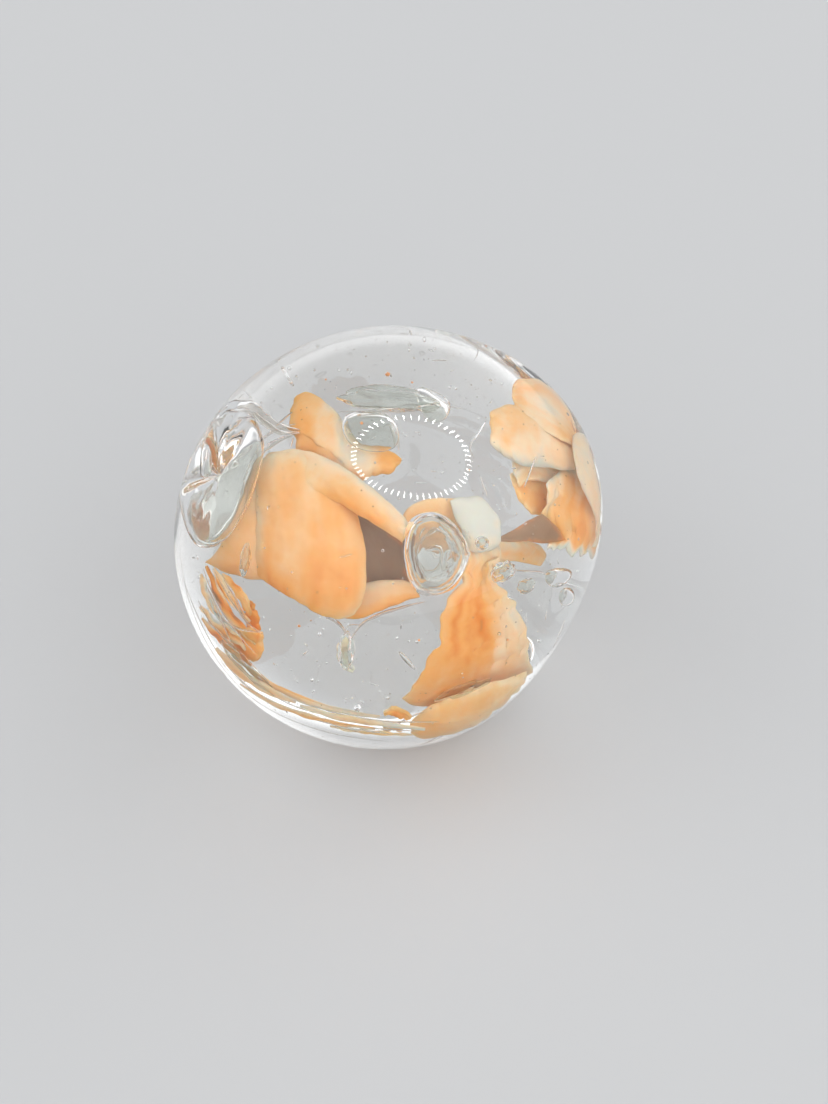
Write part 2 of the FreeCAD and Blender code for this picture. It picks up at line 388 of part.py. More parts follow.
        [(10.92, -13.23, 40.6), (11.46, -13.29, 40.33), (12.02, -13.23, 40.08), (12.58, -13.04, 39.81), (13.14, -12.74, 39.52), (13.68, -12.32, 39.25), (14.18, -11.72, 39.09), (14.59, -11.05, 38.97), (14.91, -10.28, 38.93)],
        [(11.47, -14.59, 39.16), (11.87, -14.6, 38.8), (12.29, -14.48, 38.59), (12.71, -14.27, 38.44), (13.14, -14.01, 38.3), (13.55, -13.69, 38.19), (13.96, -13.28, 38.19), (14.28, -12.86, 38.28), (14.52, -12.37, 38.54)],
        [(10.83, -16.37, 38.04), (11.27, -16.25, 37.53), (11.73, -16.02, 37.29), (12.2, -15.73, 37.2), (12.67, -15.43, 37.13), (13.14, -15.11, 37.09), (13.62, -14.77, 37.14), (14.02, -14.45, 37.3), (14.36, -14.09, 37.72)],
        [(9.71, -18.05, 37.08), (10.35, -17.76, 36.38), (11.01, -17.36, 36.07), (11.67, -16.94, 35.97), (12.33, -16.52, 35.91), (13.01, -16.12, 35.84), (13.7, -15.72, 35.82), (14.33, -15.38, 35.94), (14.9, -15.03, 36.4)],
        [(8.96, -19.34, 35.71), (9.79, -18.86, 34.84), (10.66, -18.3, 34.5), (11.5, -17.75, 34.43), (12.35, -17.22, 34.4), (13.23, -16.72, 34.34), (14.13, -16.24, 34.26), (14.98, -15.84, 34.34), (15.77, -15.47, 34.84)],
        [(8.71, -20.23, 33.76), (9.68, -19.55, 32.77), (10.69, -18.83, 32.45), (11.67, -18.17, 32.47), (12.66, -17.56, 32.56), (13.69, -16.96, 32.54), (14.74, -16.41, 32.46), (15.76, -15.96, 32.56), (16.74, -15.59, 33.15)],
        [(7.5, -21.2, 32.21), (8.75, -20.33, 31.08), (10.03, -19.49, 30.77), (11.28, -18.72, 30.85), (12.53, -17.99, 30.99), (13.82, -17.25, 30.95), (15.14, -16.53, 30.76), (16.43, -15.91, 30.75), (17.7, -15.42, 31.31)],
        [(6.67, -21.75, 30.17), (8.14, -20.68, 28.91), (9.65, -19.72, 28.64), (11.11, -18.88, 28.83), (12.57, -18.07, 29.05), (14.09, -17.21, 29.02), (15.62, -16.31, 28.74), (17.12, -15.51, 28.64), (18.65, -14.89, 29.18)],
        [(5.74, -22, 27.98), (7.32, -20.77, 26.6), (8.95, -19.79, 26.41), (10.53, -19.01, 26.75), (12.1, -18.27, 27.12), (13.74, -17.44, 27.17), (15.38, -16.53, 26.88), (17.02, -15.73, 26.76), (18.7, -15.19, 27.37)],
        [(4.56, -21.98, 25.79), (6.27, -20.58, 24.26), (8.03, -19.62, 24.14), (9.73, -18.95, 24.62), (11.44, -18.32, 25.13), (13.21, -17.53, 25.23), (14.98, -16.59, 24.87), (16.75, -15.77, 24.68), (18.61, -15.29, 25.29)],
        [(3.31, -21.55, 23.42), (5.2, -19.91, 21.73), (7.15, -18.97, 21.68), (9.03, -18.44, 22.31), (10.92, -17.92, 22.94), (12.86, -17.11, 23.04), (14.77, -16, 22.54), (16.68, -14.99, 22.16), (18.75, -14.38, 22.6)],
        [(2, -20.61, 20.86), (4.04, -18.64, 19), (6.15, -17.79, 19.04), (8.2, -17.5, 19.85), (10.26, -17.18, 20.63), (12.35, -16.39, 20.75), (14.36, -15.09, 20.07), (16.33, -13.77, 19.39), (18.55, -12.63, 19.25)],
    ]),
    # crescent under the front right petal
    "petal_front_foot": (1.4, [
        [(3.33, -19.12, 16.21), (5.1, -20.07, 18.07), (6.96, -20.37, 19.3), (8.89, -20.28, 20.16), (10.81, -20.02, 20.91), (12.75, -19.32, 21.06), (14.68, -18.2, 20.66), (16.58, -16.83, 20.1), (18.45, -14.79, 18.94)],
        [(3.17, -20.78, 16.25), (4.99, -21.12, 17.21), (6.94, -21.3, 18.21), (8.93, -21.14, 18.96), (10.91, -20.8, 19.64), (12.86, -20.05, 19.87), (14.79, -18.89, 19.67), (16.66, -17.46, 19.3), (18.49, -15.33, 18.37)],
        [(3.07, -21.42, 15.82), (4.91, -21.09, 15.78), (6.92, -21.18, 16.54), (8.94, -20.99, 17.18), (10.93, -20.63, 17.82), (12.87, -19.93, 18.19), (14.76, -18.88, 18.28), (16.6, -17.54, 18.22), (18.38, -15.61, 17.74)],
        [(3.06, -21.08, 14.98), (4.85, -19.82, 13.8), (6.86, -19.77, 14.26), (8.86, -19.57, 14.78), (10.81, -19.26, 15.38), (12.71, -18.76, 15.95), (14.56, -18.02, 16.45), (16.36, -17.04, 16.87), (18.12, -15.66, 17.09)],
        [(3.09, -19.68, 13.75), (4.71, -16.76, 11.2), (6.6, -16.37, 11.24), (8.49, -16.11, 11.56), (10.36, -15.9, 12.07), (12.22, -15.87, 12.9), (14.08, -15.92, 14.01), (15.9, -15.78, 15.16), (17.71, -15.53, 16.46)],
    ]),
    # rolled upper lip of the right petal, hollow inside
    "petal_right_curl": (1.4, [
        [(18.05, 9.77, 51.31), (18.82, 13.37, 48.85), (19.8, 15.89, 45.89), (20.63, 17.24, 43.48), (21.5, 17.66, 41.77), (22.24, 17.85, 40.26), (23.47, 16.23, 40.74), (24.69, 13.83, 41.77), (25.7, 11.1, 42.74)],
        [(17.55, 9.64, 50.27), (18.25, 12.59, 47.89), (19.13, 14.61, 45.26), (19.95, 15.62, 43.22), (20.86, 15.83, 41.86), (21.75, 15.76, 40.83), (22.84, 14.93, 40.59), (24.04, 13.41, 41.01), (25.22, 11.52, 41.62)],
        [(17.38, 9.07, 50), (18.13, 11.29, 47.96), (19.05, 12.79, 45.83), (19.94, 13.56, 44.12), (20.87, 13.77, 42.84), (21.78, 13.88, 41.72), (22.8, 13.43, 41.16), (23.92, 12.49, 41.12), (25.05, 11.43, 41.19)],
        [(17.52, 7.97, 50.49), (18.4, 9.31, 49.03), (19.42, 10.14, 47.55), (20.42, 10.53, 46.29), (21.42, 10.67, 45.17), (22.38, 10.93, 43.98), (23.34, 10.98, 43), (24.3, 10.78, 42.27), (25.23, 10.75, 41.51)],
        [(17.97, 6.44, 51.58), (18.97, 6.82, 50.72), (20.04, 6.98, 49.8), (21.09, 7.02, 48.89), (22.13, 7.05, 47.91), (23.14, 7.44, 46.72), (24.1, 7.91, 45.44), (24.97, 8.46, 44.12), (25.71, 9.53, 42.48)],
        [(18.68, 4.55, 53.14), (19.77, 3.98, 52.8), (20.83, 3.5, 52.31), (21.87, 3.2, 51.65), (22.89, 3.15, 50.79), (23.92, 3.65, 49.6), (24.9, 4.49, 48.14), (25.75, 5.71, 46.36), (26.37, 7.85, 43.94)],
    ]),
    # body of the right petal
    "petal_right": (1.8, [
        [(14.41, 5.63, 49.26), (15.57, 8.1, 47.33), (16.4, 11.41, 44.35), (17.42, 11.89, 42.84), (18.38, 12.36, 41.22), (18.94, 13.76, 38.61), (19.61, 14.63, 36.67), (20.42, 15.3, 35.26), (21, 16.36, 33.61)],
        [(14.38, 2.71, 50.66), (15.75, 4.5, 49.31), (16.99, 6.8, 47.52), (18.21, 7.49, 46.11), (19.34, 8.28, 44.56), (20.43, 8.96, 42.89), (21.34, 10.07, 40.87), (21.73, 12.3, 37.81), (21.25, 15.63, 33.64)],
        [(14.47, 0.58, 51.09), (15.91, 1.94, 49.96), (17.3, 3.77, 48.56), (18.58, 4.75, 47.19), (19.77, 5.91, 45.67), (20.97, 6.57, 44.11), (22.04, 7.74, 42.22), (22.81, 9.69, 39.72), (22.77, 12.91, 35.99)],
        [(14.53, -1.09, 50.97), (16.01, -0.06, 49.92), (17.46, 1.46, 48.7), (18.79, 2.7, 47.4), (20, 4.22, 45.96), (21.27, 4.9, 44.46), (22.42, 6.18, 42.64), (23.34, 8.14, 40.34), (23.71, 11.04, 37.23)],
        [(14.78, -2.07, 50.28), (16.22, -1.31, 49.22), (17.67, -0.04, 48.06), (18.99, 1.44, 46.84), (20.18, 3.27, 45.5), (21.45, 3.94, 44.07), (22.63, 5.3, 42.34), (23.61, 7.26, 40.22), (24.16, 9.99, 37.49)],
        [(15.36, -2.27, 48.94), (16.71, -1.74, 47.83), (18.07, -0.67, 46.67), (19.3, 1.03, 45.52), (20.37, 3.15, 44.26), (21.58, 3.76, 42.94), (22.71, 5.14, 41.34), (23.67, 7.02, 39.45), (24.31, 9.48, 37.14)],
    ]),
    # opal lining between the body and the wing
    "petal_right_lining": (1.0, [
        [(18.34, 2.55, 43.09), (18.73, 5.74, 40.8), (18.81, 8.9, 37.61), (19.17, 10.46, 35.45), (19.97, 11.07, 34.68), (20.77, 11.76, 33.96), (21.44, 12.66, 33.11), (21.87, 13.9, 31.99)],
        [(18.35, 0.08, 44.01), (19.06, 2.5, 42.67), (19.72, 4.49, 41.07), (20.37, 5.99, 39.34), (20.81, 8.06, 37.12), (20.84, 10.84, 34.22), (21.43, 12.03, 33.03), (21.91, 13.23, 31.89)],
        [(18.18, -2, 44.55), (19.06, 0.04, 43.71), (19.92, 1.87, 42.59), (20.77, 3.4, 41.24), (21.59, 4.94, 39.6), (22.24, 6.76, 37.67), (22.55, 9.04, 35.32), (22.21, 12.08, 32.26)],
        [(17.88, -3.83, 44.83), (18.86, -2.03, 44.34), (19.85, -0.2, 43.54), (20.85, 1.49, 42.42), (21.84, 2.91, 40.94), (22.73, 4.52, 39.18), (23.37, 6.46, 37.13), (23.59, 8.89, 34.62)],
        [(17.45, -5.44, 44.92), (18.52, -3.81, 44.68), (19.62, -1.94, 44.16), (20.72, -0.06, 43.24), (21.86, 1.33, 41.83), (22.9, 2.84, 40.1), (23.7, 4.68, 38.08), (24.15, 6.97, 35.63)],
    ]),
    # inner fold of the right petal
    "petal_right_pocket": (1.1, [
        [(15.93, 1.5, 41.83), (16.54, 4.12, 39.85), (16.78, 7.47, 36.57), (17.48, 8.36, 35.25), (18.2, 8.32, 34.57), (18.79, 7.95, 33.82)],
        [(15.93, 0.87, 41.09), (16.54, 2.91, 39.36), (16.99, 5.13, 37.06), (17.37, 7, 34.73), (18.05, 7.23, 33.94), (18.7, 7.18, 33.3)],
        [(16.04, 0.04, 40.57), (16.64, 1.41, 39.16), (17.21, 2.74, 37.56), (17.7, 3.98, 35.78), (18.02, 5.57, 33.89), (18.57, 6.24, 32.98)],
        [(16.29, -0.92, 40.19), (16.84, -0.23, 39.1), (17.39, 0.44, 37.94), (17.94, 0.99, 36.73), (18.42, 2.01, 35.54), (18.76, 3.78, 34.07)],
        [(16.7, -1.98, 39.93), (17.12, -1.96, 39.13), (17.55, -1.83, 38.28), (18.01, -1.67, 37.34), (18.46, -0.82, 36.48), (18.85, 0.92, 35.49)],
    ]),
    # lower wing of the right petal
    "petal_right_wing": (1.6, [
        [(22.47, -2.2, 43.16), (22.98, -0.28, 42.57), (23.62, 1.32, 41.52), (24.29, 3.01, 40.18), (24.95, 3.9, 39), (25.67, 4.24, 38.01), (26.44, 4.38, 37.21), (27.3, 4.27, 36.53)],
        [(22.16, -3.44, 42.73), (22.88, -2.02, 42.35), (23.73, -0.8, 41.54), (24.62, 0.57, 40.45), (25.47, 1.43, 39.33), (26.31, 2.05, 38.22), (27.13, 2.69, 37.14), (27.95, 3.3, 35.97)],
        [(21.83, -4.63, 42.27), (22.72, -3.62, 41.99), (23.72, -2.69, 41.3), (24.77, -1.57, 40.35), (25.77, -0.71, 39.27), (26.72, 0.13, 38.09), (27.62, 1.18, 36.83), (28.45, 2.44, 35.26)],
        [(21.45, -5.84, 41.82), (22.47, -5.14, 41.54), (23.59, -4.42, 40.89), (24.76, -3.47, 40), (25.88, -2.59, 38.91), (26.94, -1.56, 37.68), (27.93, -0.13, 36.27), (28.79, 1.82, 34.32)],
        [(21.35, -6.59, 40.96), (22.41, -6.16, 40.64), (23.56, -5.64, 40.02), (24.75, -4.87, 39.18), (25.91, -4.03, 38.14), (27.03, -2.91, 36.95), (28.08, -1.3, 35.56), (28.97, 1.09, 33.4)],
        [(21.38, -7.13, 39.91), (22.43, -6.91, 39.5), (23.54, -6.54, 38.86), (24.71, -5.91, 38.04), (25.87, -5.11, 37.06), (27, -3.94, 35.94), (28.08, -2.21, 34.61), (28.99, 0.58, 32.32)],
        [(21.15, -7.97, 39.2), (22.2, -7.85, 38.59), (23.31, -7.55, 37.85), (24.46, -6.99, 36.99), (25.62, -6.17, 36), (26.78, -4.92, 34.93), (27.91, -3.04, 33.64), (28.84, 0.26, 31.1)],
        [(20.58, -9.25, 38.88), (21.64, -9.16, 38.03), (22.74, -8.87, 37.14), (23.87, -8.35, 36.2), (25.05, -7.53, 35.2), (26.26, -6.26, 34.2), (27.47, -4.39, 33.04), (28.55, -1.19, 30.68)],
    ]),
    # pale strip close under the surface at the right
    "petal_right_edge": (0.9, [
        [(26.42, 10.78, 42.75), (26.78, 11.35, 42.19), (27.16, 11.79, 41.69), (27.57, 12.1, 41.24)],
        [(27.62, 7.99, 42.92), (27.97, 9.11, 41.94), (28.28, 10.34, 40.81), (28.75, 9.87, 41.03)],
        [(28.55, 5.57, 42.52), (28.95, 6.83, 41.47), (29.28, 8.29, 40.24), (29.68, 8.29, 40.12)],
        [(29.28, 3.71, 41.49), (29.71, 4.88, 40.57), (30.08, 6.25, 39.48), (30.28, 8.55, 37.62)],
        [(29.9, 2.81, 39.66), (30.31, 3.63, 39.02), (30.69, 4.58, 38.3), (30.99, 5.94, 37.28)],
        [(30.28, 1.82, 37.81), (30.71, 2.31, 37.45), (31.1, 2.9, 37.04), (31.43, 3.68, 36.53)],
        [(30.37, 0.23, 36.38), (30.88, 0.5, 36.18), (31.3, 0.89, 35.94), (31.63, 1.44, 35.67)],
        [(30.2, -1.49, 35.01), (30.81, -1.35, 34.91), (31.28, -1.04, 34.75), (31.61, -0.52, 34.56)],
        [(29.67, -3.85, 34.16), (30.42, -3.76, 34.06), (30.99, -3.33, 33.81), (31.36, -2.59, 33.51)],
    ]),
    # thin sheet to the right of the front petal neck
    "petal_front_skirt": (0.9, [
        [(14.84, -7.89, 37.84), (15.85, -7, 37.28), (16.82, -6.04, 36.53), (17.73, -4.97, 35.57), (18.53, -3.84, 34.41), (19.19, -2.65, 32.94)],
        [(14.46, -8.43, 37.12), (15.62, -7.31, 36.43), (16.72, -6.09, 35.48), (17.73, -4.73, 34.24), (18.58, -3.15, 32.74), (19.19, -1.19, 30.81)],
        [(14.35, -8.72, 36.17), (15.51, -7.55, 35.5), (16.59, -6.31, 34.55), (17.57, -4.96, 33.26), (18.4, -3.33, 31.73), (18.97, -1.19, 29.8)],
        [(14.4, -8.87, 35.1), (15.42, -7.83, 34.58), (16.39, -6.77, 33.79), (17.26, -5.68, 32.64), (18.04, -4.38, 31.36), (18.68, -2.77, 29.91)],
    ]),
}
petals = []
for name, (thickness, grid) in PETALS.items():
    f = doc.addObject("Part::Feature", name)
    f.Label = name
    f.Shape = sheet_solid(grid, thickness)
    f.Placement = FreeCAD.Placement()
    petals.append(f)

# ---------------------------------------------------------------- loose grains of colour
GRAINS = [
    (V(0.14, 3.36, 59.77), 1.00),
    (V(-3.6, -6.21, 58.52), 0.70),
    (V(3.82, 1.76, 59.65), 0.50),
    (V(-8.75, 3.85, 58.29), 0.45),
    (V(17.85, -22.85, 31.29), 0.55),
    (V(-12.43, -23.78, 34.95), 0.60),
    (V(4.67, -21.49, 31.24), 0.50),
    (V(12.67, -13.09, 55.81), 0.45),
]
grain_solids = []
for n, (centre, size) in enumerate(GRAINS, start=1):
    g = doc.addObject("Part::Prism", "grain_%d" % n)      # crushed glass: small angular chips
    g.Polygon = 5
    g.setExpression("Circumradius", "dims.frit_radius * %.3f" % size)
    g.setExpression("Height", "dims.frit_radius * %.3f" % (size * 1.5))
    g.Placement = FreeCAD.Placement(centre, FreeCAD.Rotation(37.0 * n, 21.0 * n, 11.0 * n))
    grain_solids.append(g)
frit = doc.addObject("Part::Compound", "frit_specks")
frit.Label = "frit_specks"
frit.Links = grain_solids
doc.recompute()

# ---------------------------------------------------------------- outer gather with everything it encloses
enclosed = doc.addObject("Part::Compound", "enclosed")
enclosed.Links = voids + petals + [core, frit]
casing = doc.addObject("Part::Cut", "clear_casing")
casing.Label = "clear_casing"
casing.Base, casing.Tool = blank, enclosed
doc.recompute()

# ---------------------------------------------------------------- check, then write one file per piece
for obj in doc.Objects:
    bad = [s for s in obj.State if s in ("Invalid", "Error")]
    assert not bad, "%s is %s" % (obj.Label, bad)
parts = [casing, core] + petals + [frit]
for obj in parts:
    shape = obj.Shape
    assert not shape.isNull() and shape.isValid(), obj.Label
    assert shape.Volume > 0 and len(shape.Solids) >= 1, obj.Label
    if obj is not frit:
        assert len(shape.Solids) == 1, "%s has %d solids" % (obj.Label, len(shape.Solids))
for obj in parts:
    obj.Shape.exportStep(os.path.join("parts", obj.Label + ".step"))
print("wrote", len(parts), "parts; casing volume", round(casing.Shape.Volume / 1000, 1), "cm3, shells", len(casing.Shape.Solids[0].Shells))
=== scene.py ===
import json
import math
import random

import bmesh
import bpy
import numpy as np
from mathutils import Matrix, Vector, noise


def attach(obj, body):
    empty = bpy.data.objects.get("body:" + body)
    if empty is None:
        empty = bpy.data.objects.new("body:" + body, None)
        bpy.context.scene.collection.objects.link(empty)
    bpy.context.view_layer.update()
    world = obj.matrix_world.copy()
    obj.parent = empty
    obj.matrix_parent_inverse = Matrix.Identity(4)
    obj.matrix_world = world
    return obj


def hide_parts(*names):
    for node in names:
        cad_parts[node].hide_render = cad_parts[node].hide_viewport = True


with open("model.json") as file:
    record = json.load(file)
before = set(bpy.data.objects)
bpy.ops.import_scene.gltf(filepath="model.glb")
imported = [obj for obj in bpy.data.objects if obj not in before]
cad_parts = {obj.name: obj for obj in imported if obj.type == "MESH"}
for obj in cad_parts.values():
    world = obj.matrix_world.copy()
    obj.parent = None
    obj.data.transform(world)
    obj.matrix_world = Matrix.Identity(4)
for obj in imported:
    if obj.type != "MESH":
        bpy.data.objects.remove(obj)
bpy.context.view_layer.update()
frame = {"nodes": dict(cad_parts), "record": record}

MM = 0.001
scene = bpy.context.scene

# ------------------------------------------------------------------ shape of the ball (millimetres, row frame)
RADIUS, HALF_HEIGHT, CENTRE_Z, BEVEL = 38.0, 37.6, 31.9709, 0.6
S = np.array([0.0, 0.0, CENTRE_Z])
HUMPS = [(np.array([0.8290, 0.3594, 0.4284]), 0.048, 24.0), (np.array([0.8572, -0.3311, -0.3945]), -0.062, 21.0), (np.array([-0.5000, 0.5567, 0.6634]), -0.010, 28.0)]


def ball_radius(d):
    """distance from S to the skin in unit directions d, shape (n, 3)"""
    f = np.ones(len(d))
    for axis, rise, spread in HUMPS:
        off = np.degrees(np.arccos(np.clip(d @ axis, -1, 1)))
        f += rise * np.exp(-off ** 2 / (2 * spread ** 2))
    # the hand-made skin is very slightly wavy; the waves only go inwards, so the CAD box holds
    x, y, z = d.T
    wave = (np.sin(5.1 * x + 3.3 * z + 0.7) * np.sin(4.3 * y - 2.9 * x + 1.9) + 0.6 * np.sin(9.7 * z + 4.1 * y + 2.2) * np.sin(8.3 * x - 5.2 * y + 0.4))
    f -= 0.0008 * (1.6 - wave) / 3.2
    return f / np.sqrt((x ** 2 + y ** 2) / RADIUS ** 2 + z ** 2 / HALF_HEIGHT ** 2)


def ball_normal(d):
    """outward normals of the skin in directions d"""
    p = d * ball_radius(d)[:, None]

    def level(q):
        r = np.linalg.norm(q, axis=1)
        return r - ball_radius(q / r[:, None])
    n = np.stack([(level(p + e) - level(p - e)) for e in np.eye(3) * 1e-3], 1)
    return n / np.linalg.norm(n, axis=1)[:, None]


def new_object(name, verts, faces, smooth=True):
    me = bpy.data.meshes.new(name)
    me.from_pydata([tuple(v) for v in verts], [], [tuple(int(i) for i in f) for f in faces])
    me.validate()
    if smooth:
        me.polygons.foreach_set("use_smooth", [True] * len(me.polygons))
    me.update()
    ob = bpy.data.objects.new(name, me)
    scene.collection.objects.link(ob)
    return ob


def make_ball():
    rows, cols = 170, 288
    az = np.arange(cols) * 2 * math.pi / cols
    # polar angle where each meridian meets the bevel
    lo, hi = np.full(cols, math.pi / 2), np.full(cols, math.pi)
    for _ in range(50):
        mid = (lo + hi) / 2
        d = np.stack([np.sin(mid) * np.cos(az), np.sin(mid) * np.sin(az), np.cos(mid)], 1)
        z = CENTRE_Z + d[:, 2] * ball_radius(d)
        lo, hi = np.where(z > BEVEL, mid, lo), np.where(z > BEVEL, hi, mid)
    end = (lo + hi) / 2
    verts, normals = [S + np.array([0, 0, ball_radius(np.array([[0, 0, 1.0]]))[0]])], [ball_normal(np.array([[0, 0, 1.0]]))[0]]
    for j in range(1, rows + 1):
        t = end * j / rows
        d = np.stack([np.sin(t) * np.cos(az), np.sin(t) * np.sin(az), np.cos(t)], 1)
        verts += list(S + d * ball_radius(d)[:, None])
        normals += list(ball_normal(d))
    def idx(j, i):
        return 1 + (j - 1) * cols + i % cols
    faces = [(0, idx(1, i), idx(1, i + 1)) for i in range(cols)]
    for j in range(1, rows):
        faces += [(idx(j, i), idx(j + 1, i), idx(j + 1, i + 1), idx(j, i + 1)) for i in range(cols)]
    skin_faces = len(faces)
    # bevel, then the ground face in rings
    rim = np.array([verts[idx(rows, i)] for i in range(cols)])
    out = rim[:, :2] / np.linalg.norm(rim[:, :2], axis=1)[:, None]
    foot = np.c_[rim[:, :2] - out * BEVEL, np.zeros(cols)]
    start = len(verts)
    verts += list(foot)
    faces += [(idx(rows, i), start + i, start + (i + 1) % cols, idx(rows, i + 1)) for i in range(cols)]
    bevel_faces = len(faces)
    prev = start
    for k in range(1, 24):
        ring = len(verts)
        verts += list(foot * np.array([1 - k / 24, 1 - k / 24, 1]))
        faces += [(prev + i, ring + i, ring + (i + 1) % cols, prev + (i + 1) % cols) for i in range(cols)]
        prev = ring
    hub = len(verts)
    verts.append(np.array([0, 0, 0.0]))
    faces += [(prev + i, hub, prev + (i + 1) % cols) for i in range(cols)]
    ob = new_object("clear_ball", np.array(verts) * MM, faces)
    me = ob.data
    loops = []
    slope = np.array([1.0, -1.0]) / math.sqrt(2)
    for p in me.polygons:
        for v in p.vertices:
            if p.index < skin_faces:
                loops.append(tuple(normals[v]))
            elif p.index < bevel_faces:
                i = (v - 1) % cols if v < start else v - start
                loops.append((out[i][0] * slope[0], out[i][1] * slope[0], slope[1]))
            else:
                loops.append((0.0, 0.0, -1.0))
    me.normals_split_custom_set(loops)
    return ob


# ------------------------------------------------------------------ air bubbles: shells whose outside is the glass
def ico(level):
    bm = bmesh.new()
    bmesh.ops.create_icosphere(bm, subdivisions=level, radius=1)
    co = np.array([v.co[:] for v in bm.verts])
    fs = [[v.index for v in f.verts] for f in bm.faces]
    bm.free()
    return co, fs


ICO5, ICO4, ICO1 = ico(6), ico(4), ico(2)


def bubble(c, u, v, d, half, shape=None, lumps=0.0, seed=0, flat=0.0, dimple=0.0, crumple=0.0, sphere=ICO5):
    """an egg round c with half axes u, v and d * half; shape scales the outline in the u, v plane by angle,
    flat pushes the two faces towards plane ones and dimple presses their middle in"""
    co, fs = sphere
    co = co.copy()
    if flat:
        rho = np.clip(np.hypot(co[:, 0], co[:, 1]), 0, 1)
        push = rho ** (1.0 / (1 + 2.5 * flat)) / np.maximum(rho, 1e-6)
        co[:, 0] *= push
        co[:, 1] *= push
        co[:, 2] = np.sign(co[:, 2]) * np.abs(co[:, 2]) ** (1 - 0.35 * flat) * (1 - dimple * np.exp(-(np.hypot(co[:, 0], co[:, 1]) / 0.5) ** 2))
    r = np.ones(len(co))
    ang = np.arctan2(co[:, 1], co[:, 0])
    if shape:
        w = np.clip(np.hypot(co[:, 0], co[:, 1]), 0, 1)
        r *= 1 + (np.interp(np.degrees(ang) % 360, shape[0] + [360], shape[1] + [shape[1][0]]) - 1) * w
    if lumps:
        for k in range(len(co)):
            r[k] += lumps * noise.noise(Vector(co[k]) * 1.7 + Vector((seed * 7.1, 3.3, seed * 1.9)))
    p = co * r[:, None]
    if crumple:
        inner = np.clip(1 - np.hypot(co[:, 0], co[:, 1]) / 0.85, 0, 1)
        for k in np.nonzero((co[:, 2] * (1 if d[1] < 0 else -1) < 0) & (inner > 0))[0]:
            q = Vector(co[k])
            p[k, 2] *= max(-0.4, 1 + crumple * inner[k] * (noise.noise(q * 2.9 + Vector((seed, 0, 0))) + 0.5 * noise.noise(q * 6.3)))
    pts = np.array(c) + p[:, :1] * np.array(u) + p[:, 1:2] * np.array(v) + p[:, 2:] * (np.array(d) * half)
    # faces wound inwards: the glass is on the outside of the shell
    hand = np.dot(np.cross(u, v), d) > 0
    return pts, [f[::-1] if hand else f for f in fs]


def merged(name, shells):
    verts, faces, n = [], [], 0
    for pts, fs in shells:
        verts.append(pts)
        faces += [[i + n for i in f] for f in fs]
        n += len(pts)
    return new_object(name, np.vstack(verts) * MM, faces)


def fine(grid, m):
    """a net refined m times with Catmull-Rom rows and columns"""
    def along(g):
        n = g.shape[0]
        pad = np.concatenate([2 * g[:1] - g[1:2], g, 2 * g[-1:] - g[-2:-1]])
        out = []
        for k in range(n - 1):
            p0, p1, p2, p3 = pad[k], pad[k + 1], pad[k + 2], pad[k + 3]
            for s in range(m):
                t = s / m
                out.append(0.5 * (2 * p1 + (p2 - p0) * t + (2 * p0 - 5 * p1 + 4 * p2 - p3) * t * t + (3 * p1 - p0 - 3 * p2 + p3) * t ** 3))
        out.append(g[-1])
        return np.array(out)
    return along(along(grid).transpose(1, 0, 2)).transpose(1, 0, 2)


def hair(width, depth, points):
    """a thin flat tube of air along the points, tapering to nothing at both ends"""
    p = np.array(points, float)
    line = fine(p[:, None, :].repeat(2, 1), 5)[:, 0, :]
    n, k = len(line), 12
    tan = np.gradient(line, axis=0)
    tan /= np.linalg.norm(tan, axis=1)[:, None]
    out = line - S
    out /= np.linalg.norm(out, axis=1)[:, None]
    side = np.cross(tan, out)
    side /= np.linalg.norm(side, axis=1)[:, None]
    out = np.cross(side, tan)
    s = np.linspace(0, 1, n)
    grow = np.sin(np.pi * np.clip(s, 0.004, 0.996)) ** 0.55
    a = 2 * np.pi * np.arange(k) / k
    wob = np.array([1 + 0.35 * noise.noise(Vector(q) * 0.8) for q in line])
    ring = (line[:, None] + (side[:, None] * np.cos(a)[None, :, None] * width + out[:, None] * np.sin(a)[None, :, None] * depth) * (grow * wob)[:, None, None])
    verts = np.concatenate([ring.reshape(-1, 3), line[:1], line[-1:]])
    faces = []
    for j in range(n - 1):
        for i in range(k):
            i2 = (i + 1) % k
            faces.append([j * k + i, j * k + i2, (j + 1) * k + i2, (j + 1) * k + i])
    e0, e1 = n * k, n * k + 1
    for i in range(k):
        faces.append([e0, (i + 1) % k, i])
        faces.append([e1, (n - 1) * k + i, (n - 1) * k + (i + 1) % k])
    # wound so that the outside of the shell is the glass
    f = faces[(n // 2) * k]
    c = verts[f].mean(0)
    nrm = np.cross(verts[f[1]] - verts[f[0]], verts[f[2]] - verts[f[0]])
    if np.dot(nrm, c - line[n // 2]) > 0:
        faces = [g[::-1] for g in faces]
    return verts, faces


